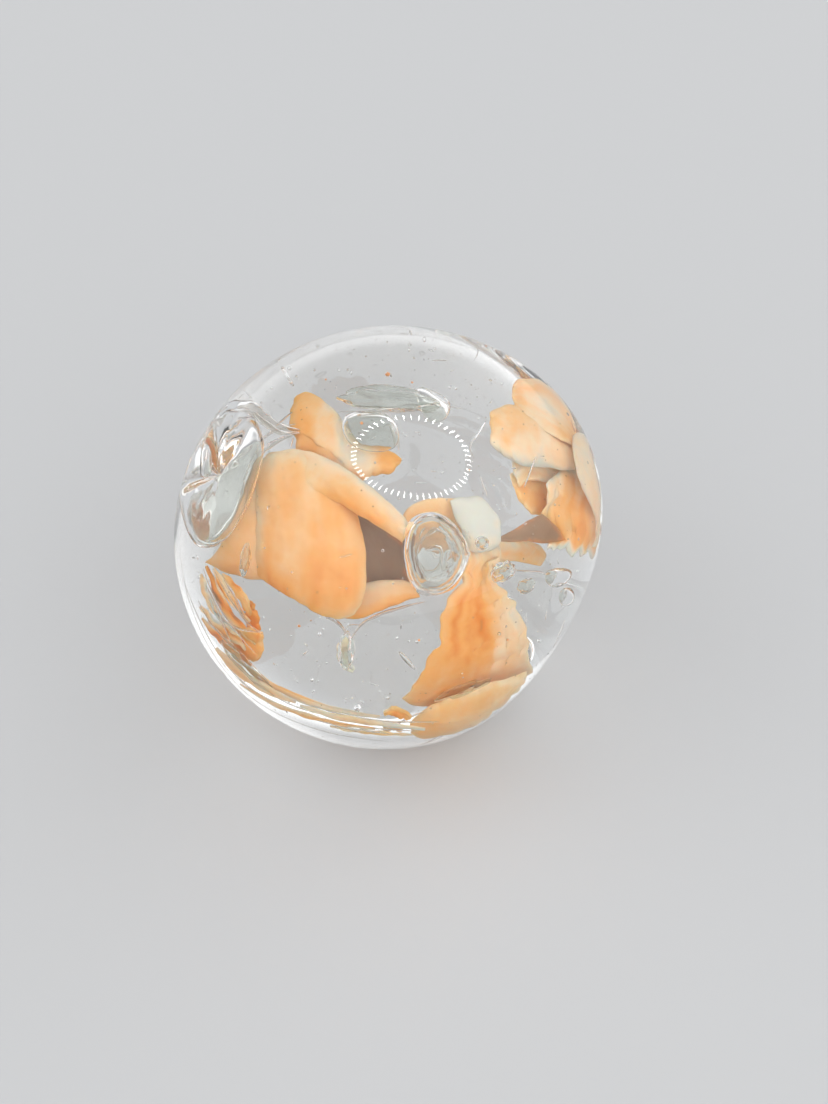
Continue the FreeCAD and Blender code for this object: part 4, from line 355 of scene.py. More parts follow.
# ------------------------------------------------------------------ petals: two skins over a net of points
NETS = {
    "petal_left": (2.0, 25, 25, [
        -1798,-284,4610,-1772,-279,4699,-1738,-286,4784,-1696,-306,4863,-1641,-336,4944,-1578,-376,5019,-1515,-428,5083,-1447,-481,5140,-1378,-531,5192,-1308,-580,5235,-1238,-635,5268,-1168,-693,5293,-1100,-745,5309,-1032,-800,5316,-968,-853,5313,-911,-903,5300,
        -859,-954,5275,-811,-1005,5241,-765,-1051,5200,-718,-1090,5156,-672,-1124,5108,-628,-1154,5056,-584,-1180,4999,-541,-1202,4939,-500,-1221,4874,-1801,-358,4598,-1773,-361,4687,-1737,-374,4772,-1694,-399,4851,-1638,-432,4930,-1574,-475,5004,-1510,-529,5066,
        -1441,-582,5121,-1371,-633,5171,-1300,-682,5213,-1229,-737,5245,-1159,-794,5267,-1090,-846,5282,-1021,-899,5288,-956,-950,5283,-897,-998,5269,-844,-1047,5243,-794,-1094,5209,-746,-1137,5168,-697,-1173,5124,-650,-1205,5076,-603,-1231,5025,-557,-1253,4970,
        -513,-1272,4911,-470,-1287,4849,-1801,-429,4583,-1772,-439,4673,-1734,-458,4757,-1689,-487,4835,-1632,-524,4913,-1568,-569,4984,-1502,-625,5044,-1433,-679,5098,-1362,-731,5146,-1290,-780,5187,-1218,-835,5217,-1147,-891,5237,-1077,-941,5251,-1007,-993,5256,
        -942,-1043,5249,-882,-1088,5234,-827,-1135,5208,-775,-1180,5173,-725,-1220,5133,-675,-1253,5090,-625,-1282,5042,-576,-1305,4992,-529,-1324,4938,-482,-1340,4881,-437,-1351,4821,-1803,-495,4562,-1772,-511,4651,-1733,-535,4735,-1687,-569,4811,-1629,-610,4888,
        -1564,-657,4957,-1498,-714,5015,-1428,-770,5067,-1356,-822,5114,-1284,-872,5153,-1211,-926,5182,-1140,-982,5201,-1069,-1031,5213,-998,-1082,5217,-932,-1131,5209,-871,-1175,5194,-814,-1219,5167,-761,-1261,5132,-710,-1298,5092,-657,-1329,5049,-606,-1356,5002,
        -555,-1376,4953,-506,-1392,4901,-458,-1405,4846,-411,-1412,4789,-1799,-562,4543,-1766,-584,4631,-1726,-613,4712,-1679,-650,4787,-1621,-694,4861,-1556,-744,4928,-1489,-801,4984,-1419,-858,5034,-1347,-911,5078,-1275,-961,5116,-1202,-1014,5143,-1131,-1069,5160,
        -1060,-1118,5171,-989,-1167,5173,-922,-1215,5164,-860,-1257,5148,-803,-1299,5121,-749,-1339,5085,-696,-1373,5046,-642,-1401,5003,-589,-1426,4957,-537,-1444,4909,-487,-1456,4860,-437,-1467,4806,-389,-1471,4752,-1795,-626,4520,-1761,-653,4606,-1720,-686,4686,
        -1672,-727,4758,-1613,-773,4830,-1548,-825,4894,-1481,-884,4947,-1411,-941,4995,-1339,-994,5038,-1266,-1044,5073,-1193,-1098,5099,-1123,-1152,5114,-1051,-1200,5124,-980,-1247,5125,-914,-1294,5115,-851,-1334,5098,-793,-1374,5071,-738,-1412,5035,-683,-1444,4996,
        -629,-1469,4954,-574,-1492,4908,-521,-1507,4862,-470,-1517,4814,-418,-1525,4763,-369,-1527,4712,-1795,-682,4490,-1760,-715,4574,-1718,-753,4652,-1669,-797,4722,-1610,-846,4791,-1544,-900,4854,-1478,-960,4905,-1407,-1017,4950,-1335,-1072,4991,-1263,-1122,5025,
        -1189,-1175,5050,-1119,-1229,5063,-1047,-1276,5072,-976,-1323,5072,-909,-1369,5060,-846,-1407,5043,-786,-1445,5015,-730,-1481,4979,-675,-1510,4941,-619,-1534,4900,-563,-1555,4854,-508,-1568,4810,-456,-1575,4765,-403,-1581,4716,-352,-1580,4668,-1796,-736,4458,
        -1759,-773,4540,-1716,-816,4615,-1666,-864,4684,-1606,-916,4750,-1541,-972,4810,-1474,-1032,4859,-1403,-1091,4903,-1331,-1146,4942,-1258,-1197,4975,-1184,-1249,4998,-1113,-1303,5009,-1041,-1349,5017,-969,-1395,5016,-903,-1439,5003,-838,-1477,4985,-777,-1513,4957,
        -720,-1547,4921,-663,-1573,4884,-605,-1595,4844,-548,-1614,4799,-491,-1625,4757,-438,-1630,4714,-383,-1634,4667,-331,-1630,4622,-1804,-780,4417,-1766,-824,4498,-1721,-871,4572,-1670,-923,4638,-1610,-977,4703,-1544,-1036,4760,-1476,-1098,4807,-1405,-1157,4849,
        -1332,-1213,4887,-1259,-1265,4918,-1185,-1318,4940,-1114,-1371,4950,-1041,-1417,4957,-969,-1461,4955,-902,-1505,4941,-836,-1541,4923,-774,-1576,4895,-715,-1608,4859,-657,-1632,4822,-597,-1652,4783,-538,-1670,4739,-480,-1679,4699,-424,-1682,4658,-368,-1684,4614,
        -314,-1678,4573,-1811,-824,4376,-1771,-872,4454,-1726,-924,4526,-1674,-979,4590,-1613,-1036,4652,-1548,-1097,4707,-1480,-1160,4752,-1409,-1221,4792,-1336,-1277,4828,-1263,-1330,4858,-1189,-1382,4879,-1118,-1436,4886,-1045,-1481,4893,-972,-1524,4890,-905,-1567,4874,
        -838,-1602,4856,-775,-1635,4828,-715,-1665,4792,-655,-1688,4756,-595,-1706,4718,-534,-1722,4675,-474,-1729,4637,-417,-1730,4599,-360,-1731,4558,-304,-1722,4520,-1804,-879,4345,-1764,-931,4420,-1717,-985,4488,-1665,-1043,4548,-1605,-1102,4607,-1539,-1163,4659,
        -1472,-1227,4701,-1401,-1287,4738,-1329,-1344,4772,-1255,-1396,4800,-1182,-1448,4818,-1112,-1500,4824,-1039,-1544,4829,-966,-1587,4825,-899,-1628,4808,-832,-1662,4789,-769,-1692,4761,-708,-1721,4725,-648,-1741,4690,-586,-1757,4653,-525,-1772,4611,-464,-1778,4574,
        -406,-1777,4539,-347,-1775,4500,-291,-1765,4466,-1798,-932,4311,-1756,-988,4383,-1709,-1044,4447,-1657,-1104,4504,-1596,-1164,4560,-1531,-1227,4608,-1464,-1290,4647,-1394,-1351,4682,-1321,-1408,4713,-1249,-1460,4739,-1175,-1511,4756,-1106,-1562,4759,-1033,-1605,4763,
        -961,-1646,4758,-894,-1687,4739,-827,-1718,4719,-762,-1747,4691,-702,-1774,4655,-640,-1792,4621,-577,-1807,4585,-515,-1820,4544,-453,-1824,4510,-395,-1821,4477,-335,-1818,4441,-278,-1806,4410,-1800,-975,4269,-1757,-1034,4337,-1709,-1094,4398,-1657,-1156,4452,
        -1597,-1218,4505,-1532,-1282,4549,-1466,-1346,4586,-1396,-1407,4619,-1324,-1464,4647,-1252,-1516,4671,-1179,-1567,4687,-1111,-1618,4688,-1038,-1660,4691,-966,-1700,4685,-900,-1739,4664,-832,-1770,4644,-768,-1797,4616,-706,-1822,4580,-644,-1839,4547,-581,-1852,4512,
        -518,-1864,4472,-455,-1866,4440,-396,-1862,4411,-335,-1858,4377,-277,-1844,4351,-1808,-1009,4220,-1764,-1072,4285,-1716,-1136,4343,-1663,-1200,4394,-1603,-1265,4443,-1539,-1330,4485,-1473,-1395,4520,-1404,-1456,4550,-1333,-1514,4577,-1261,-1567,4599,-1189,-1618,4614,
        -1121,-1668,4613,-1048,-1710,4615,-977,-1749,4608,-911,-1787,4586,-843,-1816,4566,-777,-1843,4538,-716,-1866,4502,-653,-1881,4471,-588,-1893,4437,-524,-1905,4398,-460,-1906,4369,-400,-1901,4343,-338,-1895,4312,-279,-1880,4290,-1812,-1044,4171,-1767,-1111,4233,
        -1719,-1177,4288,-1666,-1244,4335,-1606,-1310,4382,-1543,-1377,4421,-1477,-1442,4452,-1409,-1505,4481,-1338,-1563,4505,-1267,-1616,4526,-1194,-1666,4539,-1127,-1716,4537,-1055,-1757,4538,-984,-1796,4530,-918,-1833,4506,-850,-1861,4486,-784,-1886,4458,-721,-1908,4423,
        -658,-1922,4393,-592,-1933,4361,-527,-1943,4323,-462,-1944,4297,-402,-1938,4274,-339,-1931,4246,-279,-1915,4227,-1801,-1089,4131,-1756,-1159,4188,-1708,-1227,4239,-1655,-1295,4282,-1596,-1362,4325,-1533,-1428,4360,-1468,-1494,4388,-1401,-1556,4414,-1332,-1613,4436,
        -1261,-1666,4454,-1190,-1716,4466,-1123,-1765,4461,-1052,-1805,4461,-982,-1842,4451,-917,-1877,4426,-849,-1904,4406,-783,-1928,4378,-720,-1948,4343,-656,-1961,4314,-591,-1970,4284,-525,-1980,4247,-459,-1979,4223,-399,-1972,4203,-335,-1965,4179,-275,-1947,4164,
        -1797,-1125,4082,-1751,-1197,4136,-1702,-1267,4183,-1650,-1337,4223,-1591,-1405,4261,-1529,-1472,4293,-1465,-1538,4319,-1399,-1600,4341,-1330,-1657,4361,-1260,-1710,4378,-1189,-1759,4388,-1124,-1807,4381,-1053,-1847,4380,-983,-1883,4369,-919,-1917,4343,-851,-1943,4322,
        -784,-1965,4295,-721,-1984,4260,-657,-1996,4233,-590,-2004,4204,-524,-2013,4169,-457,-2012,4148,-396,-2004,4132,-332,-1996,4110,-271,-1978,4100,-1797,-1152,4028,-1751,-1227,4078,-1702,-1300,4120,-1650,-1371,4157,-1591,-1440,4192,-1531,-1508,4220,-1468,-1574,4243,
        -1402,-1636,4263,-1334,-1694,4281,-1264,-1747,4296,-1195,-1796,4305,-1130,-1843,4296,-1060,-1882,4294,-991,-1917,4283,-927,-1950,4255,-859,-1975,4234,-792,-1997,4207,-729,-2015,4173,-664,-2025,4148,-597,-2034,4121,-530,-2042,4087,-463,-2041,4070,-401,-2032,4057,
        -336,-2024,4039,-274,-2004,4033,-1797,-1175,3970,-1751,-1253,4016,-1702,-1328,4054,-1650,-1401,4087,-1592,-1471,4118,-1532,-1540,4143,-1470,-1606,4163,-1406,-1668,4181,-1339,-1726,4197,-1270,-1779,4210,-1201,-1827,4217,-1138,-1874,4206,-1069,-1912,4203,-1000,-1946,4191,
        -938,-1979,4162,-869,-2003,4141,-802,-2023,4115,-739,-2040,4082,-674,-2050,4058,-607,-2059,4034,-539,-2067,4002,-471,-2065,3987,-409,-2057,3979,-343,-2048,3964,-281,-2028,3963,-1801,-1191,3906,-1754,-1272,3948,-1705,-1348,3982,-1654,-1422,4011,-1597,-1494,4039,
        -1539,-1563,4060,-1478,-1629,4077,-1414,-1692,4093,-1348,-1750,4107,-1281,-1803,4118,-1213,-1851,4124,-1151,-1897,4111,-1082,-1935,4108,-1014,-1968,4095,-953,-2000,4064,-885,-2023,4044,-818,-2043,4018,-755,-2059,3986,-689,-2069,3965,-621,-2078,3943,-553,-2086,3913,
        -485,-2085,3902,-423,-2077,3898,-356,-2068,3887,-294,-2048,3891,-1794,-1214,3848,-1747,-1295,3885,-1699,-1373,3915,-1648,-1447,3939,-1593,-1518,3962,-1536,-1587,3979,-1477,-1653,3993,-1415,-1714,4006,-1351,-1772,4017,-1285,-1824,4026,-1219,-1872,4030,-1159,-1916,4016,
        -1092,-1953,4011,-1025,-1986,3998,-966,-2015,3966,-898,-2038,3945,-832,-2057,3920,-770,-2073,3890,-704,-2083,3871,-637,-2091,3852,-569,-2099,3823,-501,-2098,3816,-439,-2091,3816,-372,-2082,3809,-310,-2062,3819,-1783,-1236,3791,-1737,-1318,3822,-1690,-1396,3846,
        -1640,-1469,3865,-1586,-1540,3884,-1532,-1607,3896,-1475,-1672,3907,-1415,-1732,3916,-1353,-1789,3925,-1289,-1840,3932,-1225,-1887,3934,-1167,-1930,3917,-1102,-1965,3911,-1037,-1997,3897,-979,-2025,3864,-913,-2047,3844,-848,-2065,3820,-786,-2080,3790,-722,-2090,3774,
        -655,-2098,3757,-588,-2106,3731,-520,-2106,3728,-459,-2099,3733,-393,-2091,3730,-331,-2071,3745,-1777,-1250,3726,-1732,-1333,3752,-1686,-1410,3771,-1638,-1483,3785,-1586,-1552,3799,-1533,-1619,3807,-1478,-1682,3814,-1421,-1741,3821,-1361,-1797,3826,-1300,-1848,3831,
        -1237,-1893,3832,-1182,-1934,3812,-1118,-1969,3806,-1056,-1999,3791,-1000,-2025,3756,-935,-2046,3737,-871,-2064,3714,-811,-2078,3686,-747,-2088,3673,-681,-2097,3659,-615,-2106,3635,-548,-2107,3637,-488,-2101,3646,-422,-2093,3648,-361,-2075,3669,-1774,-1259,3658,
        -1730,-1341,3678,-1685,-1417,3692,-1639,-1488,3700,-1590,-1557,3710,-1540,-1621,3713,-1487,-1683,3716,-1433,-1741,3720,-1376,-1795,3723,-1317,-1844,3726,-1257,-1889,3726,-1205,-1927,3704,-1144,-1961,3697,-1084,-1990,3682,-1030,-2014,3646,-968,-2034,3627,-905,-2052,3606,
        -846,-2066,3580,-784,-2076,3570,-719,-2086,3560,-654,-2096,3540,-588,-2098,3546,-530,-2093,3560,-465,-2087,3567,-405,-2070,3595,-1765,-1271,3593,-1722,-1352,3607,-1679,-1426,3614,-1634,-1496,3617,-1587,-1562,3621,-1540,-1624,3619,-1491,-1683,3618,-1439,-1739,3619,
        -1385,-1791,3619,-1328,-1839,3619,-1271,-1882,3617,-1222,-1918,3592,-1163,-1950,3584,-1106,-1977,3568,-1055,-1999,3531,-994,-2019,3513,-933,-2036,3493,-876,-2049,3469,-816,-2061,3462,-753,-2071,3455,-689,-2081,3438,-624,-2085,3448,-567,-2082,3468,-504,-2076,3480,
        -445,-2061,3514,]),
    "petal_left_lip": (1.5, 13, 31, [
        -1686,-143,4638,-1636,-147,4727,-1583,-169,4823,-1520,-254,4929,-1451,-344,5031,-1378,-412,5116,-1302,-465,5178,-1222,-526,5219,-1143,-588,5253,-1066,-646,5293,-989,-725,5332,-915,-812,5363,-840,-885,5383,-764,-944,5387,-689,-995,5379,-618,-1049,5365,
        -548,-1104,5353,-479,-1164,5342,-411,-1222,5327,-345,-1274,5302,-280,-1316,5266,-211,-1346,5229,-146,-1379,5186,-85,-1417,5142,-24,-1453,5098,43,-1478,5054,105,-1498,4999,162,-1515,4933,222,-1525,4868,275,-1541,4800,317,-1565,4727,-1681,-174,4652,
        -1632,-189,4741,-1580,-224,4838,-1519,-315,4943,-1451,-407,5040,-1379,-478,5119,-1304,-532,5176,-1226,-594,5215,-1149,-659,5248,-1072,-723,5288,-998,-804,5328,-924,-887,5359,-848,-953,5378,-772,-1006,5380,-697,-1053,5371,-625,-1104,5357,-556,-1160,5347,
        -487,-1221,5339,-419,-1280,5326,-353,-1331,5300,-289,-1369,5263,-219,-1395,5223,-154,-1424,5180,-93,-1461,5136,-31,-1498,5095,35,-1524,5053,98,-1545,5000,155,-1560,4935,216,-1566,4869,269,-1577,4799,312,-1597,4725,-1673,-200,4664,-1625,-228,4753,
        -1575,-275,4850,-1514,-371,4953,-1448,-466,5045,-1378,-538,5119,-1304,-594,5170,-1227,-657,5206,-1152,-726,5239,-1078,-795,5280,-1004,-877,5320,-930,-955,5351,-854,-1014,5368,-778,-1062,5368,-703,-1105,5359,-631,-1155,5347,-562,-1213,5342,-495,-1277,5336,
        -427,-1335,5323,-361,-1381,5294,-296,-1415,5253,-227,-1437,5212,-161,-1466,5171,-100,-1506,5131,-38,-1545,5094,28,-1572,5054,91,-1589,4999,148,-1598,4931,209,-1599,4863,263,-1609,4794,307,-1630,4723,-1666,-221,4670,-1618,-261,4759,-1569,-320,4856,
        -1510,-421,4956,-1445,-518,5044,-1376,-592,5111,-1304,-649,5158,-1229,-714,5191,-1155,-788,5224,-1083,-863,5266,-1011,-946,5306,-937,-1018,5336,-861,-1069,5352,-785,-1111,5350,-709,-1153,5342,-638,-1205,5335,-569,-1265,5333,-502,-1330,5329,-435,-1384,5313,
        -369,-1425,5281,-304,-1454,5237,-235,-1476,5198,-169,-1508,5161,-108,-1551,5126,-46,-1590,5092,21,-1613,5049,83,-1623,4990,141,-1628,4919,202,-1629,4853,257,-1642,4790,303,-1667,4725,-1658,-238,4672,-1611,-291,4760,-1563,-361,4856,-1505,-466,4954,
        -1442,-566,5036,-1374,-640,5097,-1304,-700,5139,-1230,-767,5171,-1159,-846,5205,-1089,-926,5247,-1018,-1009,5286,-944,-1074,5314,-868,-1117,5328,-791,-1155,5326,-716,-1198,5321,-645,-1252,5319,-577,-1314,5321,-510,-1376,5315,-443,-1425,5296,-377,-1461,5260,
        -312,-1488,5217,-243,-1513,5182,-177,-1549,5151,-116,-1594,5119,-53,-1628,5082,13,-1644,5035,75,-1650,4973,133,-1655,4905,195,-1661,4846,251,-1679,4788,298,-1703,4726,-1651,-253,4670,-1604,-318,4757,-1557,-399,4852,-1500,-508,4946,-1439,-609,5022,
        -1373,-684,5077,-1304,-746,5115,-1232,-816,5146,-1163,-899,5181,-1095,-984,5222,-1025,-1065,5259,-951,-1123,5285,-875,-1160,5298,-798,-1195,5297,-723,-1239,5297,-652,-1295,5300,-585,-1357,5303,-519,-1415,5295,-451,-1459,5271,-385,-1491,5234,-321,-1520,5194,
        -252,-1550,5165,-185,-1587,5138,-125,-1629,5104,-61,-1656,5064,4,-1667,5014,66,-1674,4954,125,-1683,4892,188,-1693,4838,244,-1709,4782,292,-1726,4716,-1645,-267,4664,-1599,-343,4751,-1553,-435,4844,-1497,-547,4935,-1438,-649,5004,-1373,-725,5053,
        -1305,-789,5087,-1236,-862,5117,-1168,-950,5152,-1102,-1039,5192,-1033,-1117,5225,-959,-1167,5250,-883,-1198,5262,-806,-1233,5265,-731,-1279,5270,-660,-1335,5277,-593,-1394,5279,-528,-1446,5266,-460,-1486,5240,-394,-1519,5205,-330,-1552,5169,-261,-1583,5144,
        -195,-1618,5117,-134,-1654,5081,-70,-1677,5038,-4,-1688,4990,58,-1698,4935,117,-1710,4877,180,-1717,4824,237,-1727,4765,286,-1739,4698,-1638,-282,4661,-1593,-369,4746,-1547,-470,4836,-1492,-585,4922,-1434,-686,4985,-1371,-763,5027,-1305,-830,5057,
        -1238,-906,5087,-1172,-999,5122,-1108,-1089,5159,-1040,-1163,5188,-966,-1207,5211,-890,-1233,5225,-813,-1268,5232,-739,-1316,5241,-668,-1371,5249,-601,-1424,5249,-536,-1472,5233,-469,-1511,5206,-403,-1545,5175,-339,-1580,5143,-270,-1610,5118,-203,-1640,5089,
        -142,-1672,5051,-79,-1695,5011,-13,-1709,4967,49,-1721,4914,109,-1728,4856,172,-1730,4800,230,-1738,4742,280,-1752,4679,-1626,-297,4666,-1581,-395,4748,-1537,-504,4834,-1482,-620,4915,-1426,-721,4969,-1364,-799,5005,-1300,-868,5031,-1235,-948,5061,
        -1172,-1044,5094,-1109,-1135,5127,-1043,-1205,5152,-969,-1241,5172,-893,-1265,5189,-817,-1301,5201,-743,-1349,5212,-672,-1400,5220,-606,-1448,5217,-541,-1494,5199,-475,-1534,5175,-410,-1570,5146,-346,-1603,5114,-277,-1629,5087,-210,-1656,5058,-150,-1688,5021,
        -86,-1713,4985,-21,-1728,4943,41,-1735,4887,100,-1736,4826,164,-1737,4772,222,-1749,4719,274,-1767,4662,-1615,-315,4672,-1570,-422,4751,-1526,-538,4833,-1473,-656,4907,-1418,-756,4954,-1358,-834,4982,-1296,-906,5005,-1233,-990,5035,-1172,-1088,5066,
        -1111,-1179,5094,-1045,-1244,5113,-972,-1275,5133,-897,-1297,5154,-821,-1333,5169,-747,-1379,5182,-676,-1425,5188,-610,-1470,5183,-547,-1515,5166,-481,-1557,5144,-416,-1592,5115,-353,-1621,5081,-285,-1643,5052,-218,-1670,5025,-157,-1706,4993,-93,-1731,4959,
        -28,-1740,4914,32,-1740,4854,92,-1741,4794,156,-1747,4746,215,-1763,4700,268,-1777,4642,-1608,-335,4675,-1564,-452,4751,-1520,-575,4827,-1467,-693,4895,-1414,-792,4934,-1355,-871,4956,-1296,-946,4976,-1235,-1034,5005,-1175,-1133,5034,-1116,-1222,5055,
        -1051,-1283,5070,-979,-1310,5092,-903,-1331,5117,-828,-1367,5135,-754,-1409,5147,-683,-1450,5152,-618,-1493,5147,-555,-1540,5133,-490,-1581,5111,-425,-1611,5080,-362,-1636,5043,-293,-1657,5016,-226,-1688,4994,-166,-1725,4965,-102,-1744,4929,-37,-1746,4877,
        23,-1744,4817,84,-1749,4764,148,-1760,4723,207,-1774,4676,261,-1778,4613,-1601,-356,4680,-1556,-481,4752,-1513,-612,4822,-1461,-730,4884,-1409,-828,4914,-1352,-907,4931,-1294,-986,4948,-1236,-1077,4976,-1178,-1177,5002,-1120,-1264,5016,-1057,-1320,5027,
        -984,-1345,5051,-909,-1364,5080,-834,-1398,5099,-760,-1436,5110,-689,-1474,5115,-624,-1517,5114,-562,-1564,5100,-497,-1602,5076,-433,-1626,5041,-370,-1649,5004,-302,-1675,4982,-235,-1708,4966,-175,-1741,4935,-110,-1751,4893,-46,-1749,4840,14,-1751,4784,
        75,-1762,4738,140,-1771,4698,200,-1776,4646,254,-1774,4581,-1591,-375,4686,-1547,-509,4753,-1504,-645,4818,-1453,-764,4872,-1403,-860,4895,-1347,-941,4905,-1292,-1025,4920,-1235,-1118,4947,-1179,-1217,4968,-1122,-1302,4975,-1060,-1355,4983,-989,-1379,5011,
        -914,-1396,5044,-839,-1426,5063,-765,-1460,5073,-694,-1497,5080,-630,-1541,5081,-569,-1587,5067,-504,-1618,5038,-440,-1638,5001,-377,-1663,4968,-310,-1694,4952,-243,-1726,4936,-183,-1751,4899,-118,-1755,4854,-54,-1754,4805,6,-1763,4756,67,-1772,4711,
        131,-1774,4666,191,-1774,4613,247,-1775,4553,]),
    "petal_left_inner": (1.2, 13, 15, [
        -557,-852,4544,-501,-903,4541,-444,-950,4536,-387,-992,4527,-329,-1026,4511,-270,-1051,4490,-212,-1070,4462,-154,-1085,4430,-98,-1099,4395,-41,-1113,4360,15,-1127,4325,71,-1140,4290,128,-1149,4252,183,-1153,4209,239,-1150,4161,-539,-911,4461,
        -484,-955,4454,-429,-996,4446,-373,-1031,4435,-316,-1059,4418,-259,-1078,4396,-202,-1092,4369,-146,-1104,4338,-91,-1115,4306,-36,-1128,4275,19,-1142,4245,74,-1154,4214,129,-1163,4181,184,-1167,4144,238,-1163,4101,-522,-971,4379,-468,-1009,4370,
        -414,-1044,4359,-359,-1073,4345,-304,-1094,4327,-248,-1107,4304,-193,-1116,4278,-138,-1125,4249,-84,-1134,4220,-30,-1145,4192,24,-1158,4166,77,-1169,4140,131,-1177,4111,184,-1179,4077,237,-1174,4039,-505,-1033,4300,-452,-1066,4288,-399,-1095,4275,
        -345,-1118,4259,-292,-1132,4240,-237,-1140,4217,-183,-1145,4191,-130,-1150,4164,-77,-1157,4138,-25,-1166,4114,28,-1177,4091,80,-1187,4068,133,-1193,4042,184,-1192,4012,236,-1185,3977,-488,-1096,4222,-436,-1124,4208,-384,-1148,4193,-332,-1165,4176,
        -279,-1174,4156,-226,-1177,4133,-174,-1178,4109,-122,-1179,4084,-70,-1184,4061,-19,-1192,4040,32,-1202,4020,84,-1209,4000,134,-1212,3978,185,-1208,3950,235,-1198,3919,-468,-1157,4142,-417,-1181,4127,-366,-1200,4111,-315,-1213,4094,-264,-1218,4074,
        -212,-1216,4052,-161,-1213,4030,-110,-1213,4008,-59,-1216,3988,-9,-1223,3970,41,-1230,3954,91,-1235,3937,141,-1234,3916,190,-1227,3891,239,-1215,3863,-445,-1214,4060,-396,-1235,4044,-346,-1250,4028,-296,-1259,4010,-245,-1260,3991,-194,-1255,3972,
        -144,-1250,3952,-94,-1248,3934,-44,-1250,3917,5,-1256,3903,54,-1261,3890,104,-1263,3875,152,-1258,3856,201,-1248,3834,249,-1233,3810,-427,-1265,3972,-378,-1283,3957,-328,-1296,3941,-278,-1301,3924,-228,-1299,3907,-178,-1292,3890,-128,-1285,3873,
        -79,-1282,3858,-29,-1284,3846,20,-1288,3836,69,-1291,3825,117,-1290,3813,166,-1282,3797,214,-1269,3778,261,-1252,3757,-419,-1309,3879,-370,-1325,3864,-320,-1336,3850,-270,-1339,3834,-219,-1334,3819,-169,-1325,3805,-119,-1317,3793,-69,-1314,3782,
        -19,-1315,3774,31,-1319,3767,80,-1320,3760,129,-1315,3750,178,-1304,3736,226,-1288,3720,274,-1270,3704,-421,-1350,3783,-370,-1364,3770,-319,-1373,3756,-268,-1373,3742,-217,-1367,3730,-165,-1356,3719,-114,-1348,3711,-63,-1345,3705,-12,-1346,3701,
        38,-1348,3698,89,-1346,3693,139,-1338,3685,189,-1323,3674,238,-1305,3662,287,-1286,3650,-427,-1389,3687,-375,-1403,3675,-322,-1410,3663,-270,-1409,3651,-217,-1401,3641,-164,-1389,3635,-112,-1381,3632,-59,-1377,3630,-7,-1378,3630,46,-1378,3630,
        98,-1373,3627,149,-1360,3621,200,-1342,3612,251,-1320,3603,301,-1299,3595,-440,-1429,3590,-385,-1443,3581,-331,-1449,3571,-276,-1447,3562,-221,-1438,3556,-166,-1426,3554,-112,-1418,3555,-57,-1414,3558,-2,-1414,3562,52,-1411,3564,106,-1402,3563,
        160,-1385,3559,213,-1362,3552,265,-1338,3546,318,-1314,3542,-459,-1467,3492,-402,-1482,3486,-345,-1489,3480,-287,-1487,3475,-230,-1478,3473,-172,-1467,3476,-115,-1460,3483,-58,-1457,3491,0,-1456,3499,57,-1450,3503,114,-1436,3504,170,-1414,3501,
        226,-1388,3496,281,-1360,3493,336,-1332,3492,]),
    "petal_left_hem": (1.1, 9, 17, [
        -381,-1591,3619,-339,-1588,3652,-295,-1584,3680,-249,-1579,3701,-203,-1574,3713,-155,-1570,3721,-105,-1567,3729,-55,-1565,3734,-5,-1566,3736,45,-1569,3738,95,-1571,3740,145,-1572,3741,193,-1571,3740,240,-1570,3729,286,-1570,3705,330,-1570,3673,
        374,-1570,3636,-409,-1621,3577,-363,-1622,3608,-315,-1621,3634,-267,-1618,3653,-218,-1616,3665,-167,-1613,3677,-115,-1611,3689,-63,-1611,3700,-10,-1613,3706,42,-1615,3712,94,-1616,3718,146,-1615,3720,197,-1611,3721,246,-1607,3714,294,-1603,3694,
        342,-1599,3666,388,-1597,3635,-438,-1642,3530,-388,-1646,3556,-337,-1647,3579,-285,-1647,3598,-233,-1647,3611,-180,-1646,3626,-126,-1646,3642,-72,-1647,3659,-17,-1650,3668,38,-1651,3678,91,-1651,3689,146,-1649,3693,199,-1643,3696,250,-1636,3693,
        301,-1629,3678,352,-1624,3656,402,-1619,3630,-467,-1659,3480,-413,-1667,3502,-359,-1670,3523,-305,-1672,3539,-249,-1674,3553,-194,-1675,3571,-137,-1676,3592,-81,-1678,3613,-24,-1681,3626,32,-1682,3640,88,-1679,3654,145,-1675,3659,200,-1667,3664,
        253,-1657,3666,307,-1649,3657,360,-1641,3639,414,-1635,3619,-497,-1679,3433,-440,-1688,3450,-383,-1694,3468,-325,-1698,3483,-267,-1702,3496,-208,-1705,3517,-150,-1708,3543,-92,-1710,3569,-32,-1713,3584,26,-1712,3601,83,-1707,3618,142,-1701,3625,
        199,-1691,3632,255,-1678,3638,311,-1667,3634,368,-1658,3621,424,-1648,3606,-528,-1695,3384,-467,-1708,3397,-407,-1717,3412,-346,-1724,3426,-285,-1731,3440,-224,-1737,3465,-164,-1741,3495,-104,-1744,3527,-42,-1747,3544,19,-1745,3564,78,-1738,3585,
        139,-1730,3593,198,-1718,3603,256,-1704,3613,315,-1690,3614,375,-1678,3605,434,-1664,3595,-559,-1701,3328,-495,-1718,3337,-431,-1731,3351,-368,-1742,3364,-304,-1753,3380,-241,-1763,3409,-178,-1770,3444,-117,-1775,3481,-52,-1778,3501,11,-1776,3525,
        71,-1768,3550,135,-1759,3561,196,-1747,3573,256,-1731,3589,318,-1716,3595,381,-1700,3591,443,-1683,3584,-591,-1694,3264,-524,-1715,3269,-457,-1732,3281,-390,-1748,3294,-324,-1764,3312,-258,-1778,3345,-194,-1789,3386,-130,-1796,3428,-63,-1800,3451,
        2,-1797,3479,64,-1790,3510,130,-1781,3523,193,-1769,3539,255,-1753,3561,320,-1736,3572,386,-1718,3572,451,-1697,3569,-623,-1679,3196,-553,-1704,3196,-483,-1725,3206,-413,-1745,3218,-344,-1765,3238,-277,-1784,3275,-210,-1799,3321,-145,-1807,3369,
